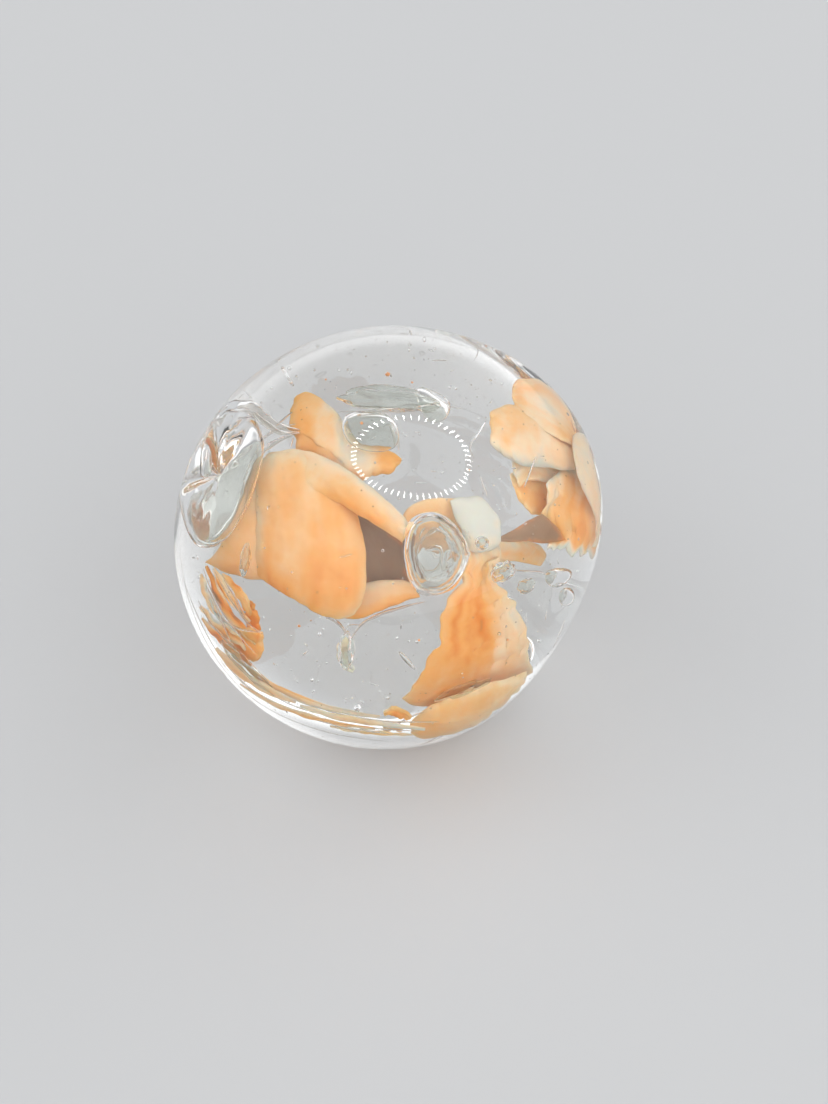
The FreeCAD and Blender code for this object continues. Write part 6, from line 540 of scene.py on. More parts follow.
        -2218,-1673,3160,-2206,-1682,3179,-2237,-1670,3069,-2228,-1695,3100,-2208,-1678,3106,-2196,-1689,3128,-2182,-1697,3148,-2203,-1707,3069,-2195,-1728,3096,-2175,-1708,3098,-2163,-1717,3118,-2150,-1722,3135,-2176,-1735,3053,-2167,-1753,3078,-2147,-1731,3078,-2136,-1740,3098,
        -2123,-1741,3113,-2146,-1768,3045,-2137,-1784,3069,-2117,-1759,3067,-2106,-1767,3085,-2093,-1765,3097,-2118,-1798,3032,-2108,-1812,3055,-2089,-1786,3052,-2078,-1793,3070,-2064,-1789,3081,-2094,-1818,3004,-2085,-1833,3028,-2065,-1808,3027,-2053,-1815,3046,-2039,-1810,3058,
        -2064,-1846,2991,-2055,-1860,3014,-2035,-1835,3013,-2024,-1843,3032,-2010,-1837,3043,-2029,-1876,2987,-2024,-1885,3001,-2009,-1857,2993,-2002,-1860,3004,-1992,-1850,3007,-1994,-1902,2980,-1990,-1909,2990,-1978,-1881,2979,-1974,-1883,2986,-1966,-1872,2986,]),
    "tail_8": (0.6, 19, 5, [
        -2693,-1564,3339,-2685,-1569,3348,-2670,-1555,3344,-2656,-1544,3342,-2652,-1558,3357,-2671,-1595,3311,-2662,-1602,3324,-2645,-1587,3322,-2630,-1579,3324,-2624,-1591,3340,-2639,-1641,3303,-2635,-1642,3307,-2622,-1617,3296,-2613,-1602,3291,-2610,-1604,3297,-2627,-1654,3259,
        -2621,-1659,3269,-2606,-1637,3261,-2595,-1627,3262,-2588,-1629,3270,-2612,-1667,3217,-2604,-1679,3234,-2585,-1661,3233,-2572,-1659,3242,-2562,-1663,3254,-2600,-1672,3166,-2590,-1690,3190,-2569,-1676,3194,-2555,-1681,3209,-2541,-1686,3225,-2581,-1685,3127,-2570,-1707,3155,
        -2547,-1696,3163,-2532,-1707,3184,-2516,-1713,3202,-2555,-1706,3099,-2542,-1731,3131,-2518,-1724,3144,-2503,-1739,3170,-2485,-1748,3192,-2531,-1724,3065,-2514,-1753,3105,-2487,-1751,3126,-2469,-1773,3162,-2448,-1786,3191,-2498,-1755,3050,-2481,-1782,3090,-2454,-1780,3112,
        -2436,-1803,3148,-2415,-1815,3178,-2463,-1791,3040,-2448,-1811,3074,-2423,-1804,3090,-2408,-1823,3122,-2390,-1831,3147,-2430,-1826,3029,-2416,-1839,3055,-2395,-1826,3064,-2382,-1841,3090,-2366,-1844,3109,-2394,-1866,3028,-2381,-1874,3049,-2361,-1858,3054,-2350,-1868,3076,
        -2335,-1868,3091,-2359,-1906,3029,-2347,-1908,3042,-2330,-1888,3042,-2320,-1894,3058,-2307,-1889,3067,-2332,-1932,3005,-2319,-1933,3020,-2301,-1914,3022,-2290,-1920,3039,-2277,-1915,3050,-2305,-1955,2973,-2290,-1959,2996,-2270,-1945,3007,-2256,-1953,3032,-2240,-1951,3050,
        -2266,-1992,2974,-2252,-1994,2994,-2233,-1981,3006,-2221,-1987,3028,-2205,-1984,3045,-2223,-2032,2984,-2212,-2029,2997,-2197,-2014,3002,-2188,-2017,3018,-2176,-2010,3028,-2178,-2070,2998,-2170,-2062,3001,-2160,-2045,2999,-2154,-2044,3007,-2146,-2033,3008,]),
    "band_1": (0.6, 19, 5, [
        -2703,-1879,2475,-2690,-1901,2508,-2666,-1893,2526,-2654,-1915,2557,-2636,-1920,2580,-2657,-1913,2406,-2640,-1946,2454,-2612,-1951,2488,-2598,-1986,2535,-2576,-1998,2569,-2598,-1972,2369,-2577,-2011,2428,-2548,-2024,2473,-2533,-2067,2530,-2509,-2083,2573,-2544,-2012,2314,
        -2519,-2060,2386,-2488,-2082,2444,-2470,-2133,2512,-2442,-2153,2564,-2495,-2035,2241,-2464,-2097,2333,-2428,-2133,2410,-2405,-2196,2495,-2372,-2223,2562,-2428,-2106,2227,-2394,-2166,2324,-2357,-2204,2407,-2333,-2269,2497,-2297,-2294,2567,-2362,-2174,2214,-2327,-2227,2306,
        -2291,-2261,2386,-2267,-2323,2474,-2232,-2343,2541,-2298,-2230,2183,-2265,-2273,2266,-2232,-2302,2340,-2209,-2359,2422,-2175,-2372,2483,-2226,-2301,2175,-2196,-2333,2248,-2165,-2357,2315,-2144,-2406,2389,-2113,-2410,2443,-2145,-2389,2197,-2117,-2411,2261,-2090,-2428,2320,
        -2071,-2469,2387,-2041,-2466,2433,-2075,-2442,2173,-2046,-2465,2240,-2020,-2485,2304,-1999,-2525,2373,-1969,-2519,2421,-2005,-2486,2140,-1976,-2513,2217,-1948,-2540,2290,-1926,-2581,2367,-1894,-2577,2421,-1925,-2552,2152,-1897,-2573,2221,-1873,-2598,2288,-1852,-2633,2358,
        -1822,-2626,2408,-1846,-2603,2147,-1822,-2618,2206,-1801,-2642,2268,-1782,-2672,2330,-1756,-2663,2374,-1764,-2655,2150,-1743,-2665,2201,-1725,-2687,2256,-1708,-2711,2310,-1685,-2702,2349,-1678,-2711,2167,-1660,-2712,2204,-1647,-2729,2248,-1633,-2745,2290,-1615,-2734,2320,
        -1593,-2760,2174,-1578,-2756,2205,-1566,-2772,2244,-1554,-2782,2280,-1539,-2772,2306,-1505,-2816,2201,-1492,-2804,2221,-1484,-2815,2249,-1474,-2816,2273,-1462,-2805,2291,-1421,-2858,2201,-1410,-2841,2215,-1404,-2850,2239,-1395,-2845,2257,-1386,-2835,2272,]),
    "band_2": (0.6, 19, 5, [
        -2375,-2105,2609,-2358,-2082,2610,-2351,-2090,2626,-2342,-2091,2639,-2330,-2079,2645,-2267,-2195,2561,-2250,-2172,2565,-2242,-2181,2586,-2232,-2181,2601,-2219,-2169,2610,-2156,-2282,2519,-2138,-2261,2529,-2129,-2272,2555,-2117,-2271,2574,-2103,-2260,2589,-2058,-2336,2434,
        -2036,-2323,2459,-2023,-2342,2498,-2007,-2344,2529,-1989,-2339,2555,-1951,-2394,2365,-1929,-2386,2398,-1915,-2409,2445,-1896,-2411,2481,-1876,-2407,2514,-1830,-2468,2336,-1812,-2455,2359,-1801,-2473,2397,-1785,-2467,2422,-1769,-2459,2447,-1707,-2530,2296,-1691,-2519,2322,
        -1680,-2538,2360,-1665,-2530,2386,-1650,-2523,2411,-1579,-2589,2267,-1563,-2581,2297,-1553,-2603,2339,-1537,-2594,2367,-1523,-2591,2397,-1452,-2632,2224,-1437,-2628,2258,-1427,-2653,2303,-1412,-2644,2333,-1399,-2645,2367,-1326,-2664,2172,-1312,-2664,2212,-1302,-2692,2263,
        -1287,-2684,2298,-1274,-2691,2339,-1194,-2702,2149,-1181,-2702,2188,-1171,-2729,2238,-1157,-2719,2271,-1146,-2731,2313,-1057,-2741,2139,-1046,-2739,2173,-1038,-2763,2218,-1026,-2749,2246,-1017,-2763,2286,-922,-2767,2112,-913,-2763,2142,-906,-2783,2182,-895,-2765,2206,
        -888,-2782,2244,-786,-2794,2098,-777,-2788,2126,-771,-2805,2164,-762,-2784,2184,-755,-2802,2222,-649,-2820,2097,-642,-2813,2122,-636,-2826,2154,-628,-2800,2171,-622,-2819,2206,-514,-2831,2072,-508,-2824,2097,-502,-2834,2128,-495,-2806,2143,-491,-2825,2178,
        -377,-2842,2063,-372,-2833,2081,-369,-2838,2103,-364,-2805,2110,-360,-2822,2137,-239,-2845,2052,-236,-2836,2066,-234,-2838,2083,-230,-2803,2086,-228,-2818,2109,-102,-2838,2038,-100,-2831,2048,-98,-2829,2061,-97,-2794,2059,-95,-2807,2078,]),
    "band_3": (0.4, 19, 5, [
        -2347,-2138,1927,-2338,-2144,1947,-2331,-2157,1969,-2313,-2136,1980,-2306,-2147,2000,-2238,-2244,1921,-2229,-2252,1944,-2222,-2264,1967,-2204,-2242,1979,-2197,-2254,2002,-2126,-2337,1909,-2117,-2354,1943,-2108,-2369,1974,-2089,-2352,1994,-2082,-2370,2025,-2014,-2417,1892,
        -2006,-2438,1929,-1996,-2453,1963,-1978,-2438,1986,-1972,-2458,2020,-1899,-2493,1881,-1893,-2512,1912,-1884,-2522,1941,-1869,-2504,1959,-1864,-2525,1989,-1787,-2548,1850,-1779,-2577,1895,-1768,-2592,1934,-1752,-2584,1964,-1746,-2613,2005,-1669,-2612,1844,-1660,-2644,1893,
        -1649,-2659,1935,-1634,-2654,1969,-1627,-2687,2014,-1541,-2698,1882,-1536,-2720,1917,-1526,-2724,1945,-1515,-2714,1967,-1510,-2742,2002,-1421,-2750,1873,-1414,-2773,1910,-1405,-2775,1940,-1394,-2768,1965,-1389,-2797,2003,-1303,-2784,1838,-1294,-2814,1890,-1282,-2820,1933,
        -1270,-2821,1973,-1264,-2855,2024,-1177,-2839,1846,-1171,-2862,1889,-1160,-2859,1923,-1150,-2857,1956,-1145,-2884,1999,-1050,-2900,1878,-1045,-2912,1903,-1038,-2896,1918,-1031,-2887,1935,-1027,-2903,1961,-927,-2939,1876,-923,-2950,1901,-915,-2930,1915,-909,-2923,1933,
        -905,-2934,1957,-807,-2959,1850,-803,-2971,1876,-795,-2950,1891,-790,-2946,1912,-785,-2953,1936,-685,-2974,1822,-681,-2988,1852,-674,-2966,1870,-669,-2967,1894,-664,-2970,1919,-559,-3003,1839,-555,-3014,1863,-550,-2989,1873,-546,-2990,1893,-542,-2986,1910,
        -433,-3017,1839,-431,-3026,1857,-427,-2998,1862,-424,-3002,1878,-421,-2991,1888,-309,-3016,1822,-306,-3027,1842,-303,-3000,1849,-301,-3009,1869,-298,-2997,1880,-184,-3007,1798,-183,-3015,1813,-181,-2986,1816,-179,-2997,1832,-178,-2981,1838,]),
    "petal_back_left": (1.6, 17, 29, [
        -1173,811,4887,-1122,795,4952,-1066,771,5015,-1009,687,5094,-957,583,5166,-906,494,5222,-862,392,5268,-819,293,5304,-769,212,5333,-723,130,5353,-679,48,5368,-647,-40,5374,-614,-121,5375,-582,-200,5370,-567,-283,5356,-532,-352,5344,
        -488,-407,5331,-448,-471,5311,-402,-529,5289,-339,-547,5275,-276,-545,5261,-211,-546,5242,-143,-524,5225,-80,-517,5200,-22,-516,5168,40,-507,5134,98,-506,5095,150,-516,5050,204,-520,5003,-1217,726,4924,-1165,704,4991,-1108,677,5055,
        -1050,595,5130,-996,494,5197,-943,406,5249,-897,307,5291,-853,210,5324,-801,131,5351,-754,50,5369,-708,-29,5382,-673,-113,5386,-637,-191,5385,-603,-267,5379,-584,-346,5363,-546,-410,5350,-500,-461,5337,-458,-521,5317,-410,-575,5293,
        -345,-588,5279,-281,-582,5266,-216,-582,5246,-147,-558,5229,-83,-549,5203,-23,-547,5170,39,-534,5136,97,-527,5098,149,-530,5052,204,-528,5005,-1239,607,4976,-1185,583,5041,-1127,554,5103,-1068,478,5171,-1013,382,5231,-959,298,5278,
        -912,204,5315,-867,111,5343,-815,35,5366,-767,-41,5382,-719,-116,5392,-682,-195,5394,-645,-269,5391,-610,-341,5383,-588,-415,5366,-548,-474,5352,-500,-520,5339,-456,-574,5317,-407,-623,5293,-343,-630,5280,-279,-621,5267,-213,-619,5247,
        -146,-593,5229,-82,-582,5203,-21,-579,5170,41,-562,5136,97,-547,5099,150,-544,5054,204,-536,5008,-1266,533,4995,-1211,505,5060,-1153,474,5122,-1093,399,5187,-1036,307,5243,-982,224,5287,-933,132,5322,-888,41,5347,-836,-34,5368,
        -786,-108,5383,-737,-180,5392,-698,-255,5393,-659,-327,5389,-622,-396,5380,-597,-468,5362,-554,-522,5349,-505,-564,5335,-459,-615,5313,-408,-660,5290,-344,-663,5277,-280,-651,5265,-214,-648,5244,-146,-621,5227,-82,-609,5201,-20,-605,5167,
        42,-585,5134,97,-564,5098,150,-556,5055,204,-542,5009,-1295,470,5001,-1240,438,5066,-1181,403,5128,-1119,330,5190,-1063,240,5243,-1007,158,5286,-957,68,5318,-911,-21,5342,-858,-95,5362,-808,-168,5375,-757,-236,5384,-716,-309,5384,
        -675,-379,5380,-635,-446,5370,-607,-514,5352,-563,-565,5339,-512,-603,5326,-464,-651,5304,-411,-693,5281,-346,-691,5270,-282,-676,5258,-215,-672,5238,-148,-645,5221,-83,-632,5195,-20,-628,5161,42,-605,5129,96,-578,5094,149,-565,5052,
        204,-547,5008,-1297,376,5026,-1241,343,5089,-1182,308,5147,-1121,239,5204,-1064,155,5252,-1008,76,5291,-958,-9,5319,-912,-96,5339,-860,-167,5357,-809,-236,5368,-757,-301,5375,-715,-369,5374,-673,-435,5368,-633,-499,5358,-603,-564,5339,
        -557,-610,5326,-505,-644,5313,-456,-688,5292,-402,-725,5269,-339,-719,5259,-275,-701,5248,-209,-696,5228,-143,-668,5211,-79,-654,5185,-15,-648,5151,46,-622,5121,98,-590,5088,150,-572,5048,204,-549,5005,-1299,284,5045,-1243,251,5104,
        -1183,216,5160,-1122,151,5212,-1065,72,5255,-1009,-4,5289,-959,-85,5315,-913,-168,5331,-861,-236,5346,-810,-302,5355,-758,-362,5361,-715,-427,5359,-672,-490,5352,-630,-550,5341,-598,-611,5322,-551,-652,5309,-499,-682,5296,-449,-723,5275,
        -394,-756,5253,-331,-745,5244,-269,-724,5234,-203,-718,5214,-138,-688,5198,-75,-673,5173,-11,-667,5139,49,-637,5110,99,-600,5079,151,-576,5041,204,-549,5000,-1311,204,5049,-1255,170,5106,-1195,135,5159,-1133,73,5208,-1076,-2,5247,
        -1020,-76,5279,-969,-153,5302,-923,-233,5316,-871,-299,5329,-820,-362,5337,-766,-418,5342,-721,-479,5339,-677,-539,5331,-634,-597,5319,-600,-654,5301,-551,-691,5288,-497,-717,5276,-446,-754,5256,-391,-783,5235,-328,-768,5227,-266,-744,5218,
        -201,-737,5199,-136,-707,5184,-73,-690,5158,-9,-684,5125,51,-651,5097,100,-608,5069,151,-580,5033,204,-548,4995,-1321,128,5050,-1264,93,5105,-1204,57,5155,-1142,-2,5201,-1084,-73,5237,-1028,-144,5266,-977,-218,5286,-931,-295,5298,
        -879,-358,5309,-828,-419,5316,-773,-472,5320,-727,-529,5316,-681,-586,5308,-637,-641,5296,-600,-695,5278,-550,-728,5266,-495,-751,5255,-442,-784,5236,-386,-809,5216,-324,-790,5210,-262,-764,5202,-197,-756,5183,-133,-724,5168,-70,-706,5144,
        -6,-700,5111,53,-665,5085,100,-617,5060,151,-584,5026,204,-549,4990,-1326,52,5048,-1269,16,5100,-1209,-20,5148,-1148,-76,5190,-1090,-143,5224,-1034,-212,5250,-982,-282,5268,-936,-357,5278,-885,-417,5287,-833,-475,5292,-777,-525,5296,
        -730,-579,5292,-683,-633,5284,-638,-684,5271,-599,-735,5253,-547,-764,5243,-492,-783,5233,-438,-814,5214,-380,-835,5196,-319,-812,5192,-258,-783,5185,-194,-774,5167,-130,-742,5153,-68,-723,5129,-3,-716,5097,55,-679,5073,101,-626,5051,
        151,-590,5020,203,-551,4987,-1305,-31,5057,-1249,-66,5105,-1190,-100,5148,-1129,-151,5187,-1072,-214,5216,-1017,-280,5239,-966,-346,5255,-921,-417,5261,-871,-475,5268,-820,-529,5272,-765,-576,5275,-717,-626,5270,-670,-677,5261,-625,-726,5248,
        -584,-774,5230,-532,-799,5221,-477,-814,5212,-423,-842,5194,-365,-860,5176,-305,-833,5174,-246,-801,5169,-183,-792,5151,-122,-759,5138,-61,-739,5115,3,-733,5084,60,-694,5062,103,-637,5043,151,-597,5016,203,-555,4986,-1257,-111,5076,
        -1201,-144,5117,-1144,-176,5156,-1085,-222,5189,-1030,-280,5214,-977,-342,5233,-928,-404,5245,-885,-472,5248,-837,-527,5252,-788,-578,5254,-734,-621,5256,-687,-667,5250,-641,-716,5240,-597,-762,5227,-556,-807,5209,-504,-829,5200,-450,-841,5192,
        -397,-865,5175,-341,-880,5158,-283,-849,5157,-227,-816,5153,-166,-806,5136,-108,-773,5124,-49,-753,5102,13,-747,5072,67,-708,5052,106,-647,5037,152,-605,5014,201,-561,4988,-1232,-179,5068,-1177,-212,5106,-1121,-243,5141,-1064,-286,5171,
        -1010,-339,5194,-958,-398,5209,-909,-457,5220,-868,-522,5221,-822,-575,5223,-773,-623,5223,-719,-662,5225,-672,-706,5219,-627,-752,5209,-583,-796,5196,-540,-838,5179,-488,-857,5172,-435,-866,5165,-381,-887,5149,-326,-900,5134,-270,-866,5136,
        -215,-830,5134,-156,-820,5117,-100,-787,5106,-43,-768,5086,19,-763,5058,71,-722,5041,107,-659,5031,152,-614,5012,200,-569,4991,-1239,-229,5033,-1184,-262,5069,-1128,-294,5102,-1071,-334,5131,-1017,-385,5152,-966,-442,5167,-917,-498,5176,
        -876,-562,5176,-830,-613,5178,-781,-659,5178,-727,-696,5181,-679,-737,5176,-632,-782,5167,-587,-824,5155,-542,-864,5140,-489,-880,5134,-434,-887,5130,-379,-906,5117,-323,-916,5104,-268,-879,5109,-214,-842,5109,-155,-833,5094,-99,-800,5086,
        -42,-781,5068,19,-777,5042,72,-736,5029,106,-670,5024,150,-624,5010,198,-577,4994,-1235,-273,4998,-1181,-307,5031,-1125,-339,5062,-1069,-377,5089,-1016,-425,5109,-966,-480,5122,-917,-534,5130,-876,-595,5129,-831,-644,5130,-783,-688,5130,
        -728,-723,5133,-679,-762,5130,-631,-805,5121,-585,-845,5110,-539,-884,5097,-484,-897,5094,-429,-902,5092,-374,-919,5081,-317,-927,5070,-263,-887,5078,-209,-850,5081,-151,-840,5068,-97,-808,5062,-41,-791,5047,21,-789,5023,73,-748,5015,
        105,-680,5016,149,-632,5007,196,-584,4996,-1222,-316,4963,-1168,-349,4993,-1113,-381,5021,-1058,-416,5046,-1006,-461,5064,-957,-514,5075,-908,-565,5082,-869,-624,5079,-825,-671,5079,-777,-713,5079,-722,-745,5083,-673,-782,5080,-625,-823,5072,
        -579,-861,5062,-531,-898,5050,-475,-909,5050,-420,-911,5051,-364,-927,5041,-307,-933,5033,-254,-891,5045,-202,-852,5050,-145,-844,5039,-92,-813,5035,-37,-796,5023,24,-797,5002,75,-756,4998,105,-687,5005,147,-638,5002,194,-589,4997,
        -1223,-349,4916,-1170,-382,4943,-1116,-414,4969,-1061,-447,4992,-1010,-489,5009,-961,-540,5018,-913,-588,5025,-873,-645,5021,-830,-690,5020,-782,-731,5020,-727,-761,5025,-676,-796,5024,-628,-835,5017,-580,-872,5008,-530,-908,4998,-474,-916,5000,
        -418,-917,5004,-361,-931,4997,-303,-935,4992,-251,-891,5006,-200,-851,5015,-143,-844,5006,-91,-814,5005,-37,-800,4996,25,-802,4979,75,-763,4979,103,-692,4993,145,-642,4996,191,-593,4996,]),
    "petal_throat": (1.2, 11, 17, [
        220,-1219,4486,233,-1183,4531,255,-1147,4570,286,-1114,4601,327,-1084,4624,375,-1055,4643,425,-1032,4655,476,-1010,4665,529,-989,4673,584,-974,4674,639,-961,4671,695,-943,4666,750,-926,4656,805,-914,4639,860,-897,4623,915,-877,4605,
        970,-864,4583,225,-1244,4441,241,-1209,4483,265,-1175,4520,298,-1144,4548,340,-1115,4570,388,-1088,4587,438,-1067,4597,490,-1047,4606,543,-1027,4613,597,-1012,4613,652,-999,4609,706,-981,4603,761,-964,4593,816,-951,4577,870,-932,4562,
        924,-911,4547,977,-895,4526,232,-1268,4396,252,-1235,4435,278,-1202,4469,312,-1172,4494,354,-1145,4514,403,-1119,4529,453,-1099,4538,504,-1080,4545,557,-1061,4550,610,-1046,4549,664,-1033,4544,718,-1015,4538,772,-998,4528,826,-984,4513,
        879,-964,4499,932,-941,4485,985,-923,4467,241,-1294,4354,263,-1261,4389,292,-1229,4419,328,-1201,4442,370,-1175,4459,419,-1150,4472,469,-1131,4479,519,-1113,4484,571,-1095,4488,624,-1080,4485,677,-1066,4479,731,-1048,4472,784,-1031,4461,
        836,-1015,4447,888,-993,4434,940,-969,4422,991,-948,4406,251,-1321,4313,277,-1289,4345,307,-1259,4372,344,-1232,4392,387,-1207,4407,436,-1183,4418,485,-1165,4423,535,-1148,4426,586,-1130,4427,639,-1115,4423,691,-1100,4416,743,-1083,4408,
        795,-1065,4397,847,-1047,4382,897,-1024,4370,948,-998,4359,998,-974,4346,263,-1348,4273,291,-1318,4302,323,-1289,4326,361,-1264,4344,405,-1240,4357,453,-1218,4366,502,-1201,4369,552,-1184,4370,602,-1167,4369,653,-1152,4364,705,-1137,4356,
        756,-1119,4346,807,-1101,4334,857,-1082,4320,907,-1057,4309,956,-1029,4299,1004,-1003,4289,276,-1372,4231,307,-1343,4257,341,-1317,4279,381,-1294,4294,425,-1272,4305,472,-1251,4313,521,-1235,4314,569,-1220,4313,619,-1204,4311,669,-1189,4305,
        720,-1174,4296,770,-1157,4286,820,-1138,4273,868,-1117,4259,916,-1091,4249,964,-1063,4242,1011,-1036,4235,292,-1391,4187,325,-1365,4210,361,-1340,4229,402,-1319,4242,446,-1299,4252,493,-1281,4257,540,-1266,4257,588,-1252,4254,637,-1237,4251,
        686,-1224,4244,735,-1209,4234,784,-1191,4223,832,-1173,4210,880,-1152,4197,926,-1125,4190,972,-1097,4185,1018,-1069,4182,311,-1407,4140,346,-1383,4160,383,-1360,4177,424,-1341,4187,468,-1323,4195,514,-1306,4199,561,-1292,4197,608,-1280,4192,
        656,-1266,4187,703,-1253,4179,751,-1239,4169,799,-1222,4158,845,-1203,4144,891,-1182,4133,936,-1156,4127,980,-1128,4126,1024,-1102,4128,331,-1423,4095,368,-1400,4111,407,-1379,4124,448,-1362,4132,492,-1345,4138,537,-1329,4139,583,-1316,4135,
        629,-1304,4128,675,-1292,4121,721,-1279,4112,767,-1265,4101,813,-1248,4089,858,-1230,4075,902,-1208,4065,945,-1183,4062,988,-1157,4065,1030,-1132,4072,352,-1441,4051,391,-1419,4064,432,-1400,4074,474,-1384,4079,517,-1368,4082,561,-1353,4081,
        606,-1340,4074,650,-1329,4065,695,-1318,4056,739,-1305,4045,784,-1290,4033,828,-1273,4020,871,-1255,4005,913,-1233,3997,954,-1209,3997,995,-1185,4004,1036,-1161,4016,]),
    "petal_front_crest": (1.5, 15, 15, [
        889,-1049,4710,940,-1017,4716,991,-987,4720,1044,-969,4712,1100,-954,4698,1153,-932,4685,1208,-896,4672,1264,-865,4647,1310,-851,4612,1346,-852,4568,1378,-866,4517,1408,-879,4464,1441,-881,4413,1473,-881,4359,1502,-882,4302,903,-1092,4680,
        954,-1064,4687,1005,-1037,4690,1058,-1020,4683,1113,-1006,4669,1167,-984,4657,1222,-949,4645,1277,-918,4620,1323,-901,4586,1360,-899,4544,1393,-908,4494,1424,-915,4444,1458,-912,4394,1490,-907,4342,1520,-902,4288,918,-1131,4647,969,-1106,4653,
        1020,-1081,4656,1073,-1066,4649,1128,-1052,4636,1182,-1031,4624,1236,-996,4613,1291,-965,4589,1337,-946,4556,1374,-941,4515,1407,-945,4467,1439,-947,4419,1473,-939,4371,1506,-929,4323,1536,-920,4271,931,-1168,4613,981,-1146,4618,1032,-1124,4620,
        1085,-1110,4613,1140,-1096,4600,1193,-1075,4588,1247,-1041,4577,1301,-1009,4555,1347,-989,4522,1385,-980,4483,1418,-979,4437,1451,-976,4391,1485,-964,4346,1519,-950,4300,1548,-936,4252,946,-1203,4577,996,-1183,4581,1046,-1164,4582,1099,-1150,4575,
        1153,-1135,4562,1205,-1114,4550,1258,-1081,4538,1312,-1048,4517,1357,-1026,4485,1395,-1013,4447,1429,-1008,4403,1462,-1000,4359,1497,-984,4317,1530,-967,4275,1560,-949,4231,965,-1235,4541,1014,-1218,4544,1062,-1201,4544,1113,-1188,4536,1165,-1174,4523,
        1216,-1153,4510,1267,-1120,4499,1318,-1087,4478,1362,-1064,4447,1400,-1049,4411,1433,-1040,4370,1465,-1029,4330,1500,-1010,4291,1532,-990,4253,1561,-969,4213,988,-1265,4505,1034,-1251,4506,1081,-1237,4505,1129,-1224,4496,1178,-1210,4484,1227,-1190,4471,
        1275,-1158,4460,1324,-1126,4440,1366,-1102,4411,1401,-1085,4377,1433,-1073,4338,1465,-1059,4302,1497,-1038,4267,1528,-1016,4234,1556,-993,4199,1016,-1291,4468,1060,-1280,4467,1104,-1267,4464,1150,-1256,4455,1197,-1242,4442,1243,-1222,4429,1290,-1191,4418,
        1336,-1159,4399,1376,-1135,4370,1410,-1115,4338,1441,-1100,4303,1471,-1083,4270,1503,-1060,4239,1532,-1036,4210,1558,-1010,4179,1043,-1314,4429,1085,-1306,4426,1127,-1296,4422,1172,-1285,4412,1216,-1271,4399,1260,-1252,4386,1305,-1222,4375,1348,-1190,4356,
        1386,-1165,4329,1419,-1144,4298,1450,-1126,4266,1479,-1106,4237,1510,-1082,4210,1538,-1056,4185,1562,-1027,4159,1059,-1342,4387,1099,-1336,4383,1140,-1328,4377,1183,-1318,4367,1226,-1305,4354,1268,-1286,4341,1311,-1257,4330,1353,-1225,4313,1390,-1200,4287,
        1422,-1177,4259,1452,-1156,4231,1481,-1134,4205,1511,-1108,4183,1538,-1079,4163,1563,-1047,4140,1074,-1366,4343,1113,-1362,4337,1152,-1356,4329,1193,-1347,4318,1234,-1334,4306,1275,-1316,4292,1315,-1288,4283,1355,-1257,4267,1391,-1231,4243,1422,-1207,4218,
        1451,-1185,4194,1480,-1161,4174,1510,-1134,4156,1536,-1104,4141,1559,-1068,4123,1096,-1380,4294,1133,-1378,4286,1170,-1374,4276,1209,-1365,4264,1248,-1353,4252,1286,-1336,4238,1325,-1308,4229,1362,-1279,4215,1396,-1253,4192,1426,-1229,4170,1455,-1205,4151,
        1483,-1181,4136,1512,-1153,4124,1537,-1121,4113,1558,-1084,4100,1116,-1393,4243,1152,-1392,4232,1187,-1389,4220,1223,-1380,4207,1260,-1368,4194,1297,-1351,4180,1333,-1325,4171,1368,-1296,4158,1401,-1270,4136,1430,-1245,4118,1459,-1221,4104,1486,-1196,4093,
        1514,-1167,4086,1538,-1133,4080,1559,-1093,4070,1133,-1406,4191,1165,-1407,4177,1198,-1404,4162,1232,-1395,4148,1267,-1383,4135,1301,-1366,4121,1335,-1341,4112,1367,-1313,4100,1398,-1287,4081,1426,-1262,4066,1453,-1237,4057,1481,-1212,4052,1507,-1183,4050,
        1530,-1147,4049,1549,-1104,4044,1147,-1421,4139,1178,-1422,4122,1208,-1419,4104,1240,-1410,4088,1272,-1397,4074,1304,-1380,4060,1336,-1355,4051,1366,-1327,4040,1395,-1302,4023,1422,-1276,4011,1448,-1251,4007,1475,-1224,4008,1501,-1194,4009,1522,-1156,4013,
        1540,-1111,4013,]),
    "petal_front_right": (1.9, 33, 23, [
        1105,-1276,4093,1127,-1273,4080,1146,-1271,4064,1165,-1267,4047,1184,-1262,4031,1205,-1257,4019,1227,-1249,4015,1249,-1242,4010,1271,-1231,4006,1292,-1215,3999,1313,-1200,3983,1332,-1181,3966,1352,-1160,3950,1373,-1140,3938,1392,-1120,3934,1413,-1105,3930,
        1433,-1091,3924,1452,-1073,3920,1468,-1049,3916,1482,-1018,3911,1496,-983,3900,1509,-946,3891,1521,-913,3886,1118,-1340,4049,1138,-1335,4033,1157,-1330,4015,1174,-1325,3996,1193,-1318,3980,1213,-1312,3967,1234,-1303,3963,1256,-1294,3958,1277,-1282,3953,
        1298,-1267,3947,1318,-1251,3933,1337,-1231,3918,1356,-1211,3905,1376,-1192,3893,1396,-1175,3892,1416,-1161,3889,1436,-1149,3886,1455,-1132,3883,1471,-1110,3883,1484,-1082,3881,1499,-1051,3873,1512,-1019,3869,1525,-991,3871,1134,-1393,4002,1155,-1387,3982,
        1173,-1380,3960,1190,-1372,3940,1208,-1364,3922,1228,-1356,3908,1249,-1346,3903,1270,-1336,3897,1292,-1323,3893,1312,-1307,3887,1332,-1290,3873,1351,-1270,3860,1370,-1251,3848,1391,-1233,3837,1411,-1217,3836,1431,-1205,3836,1452,-1193,3833,1471,-1178,3832,
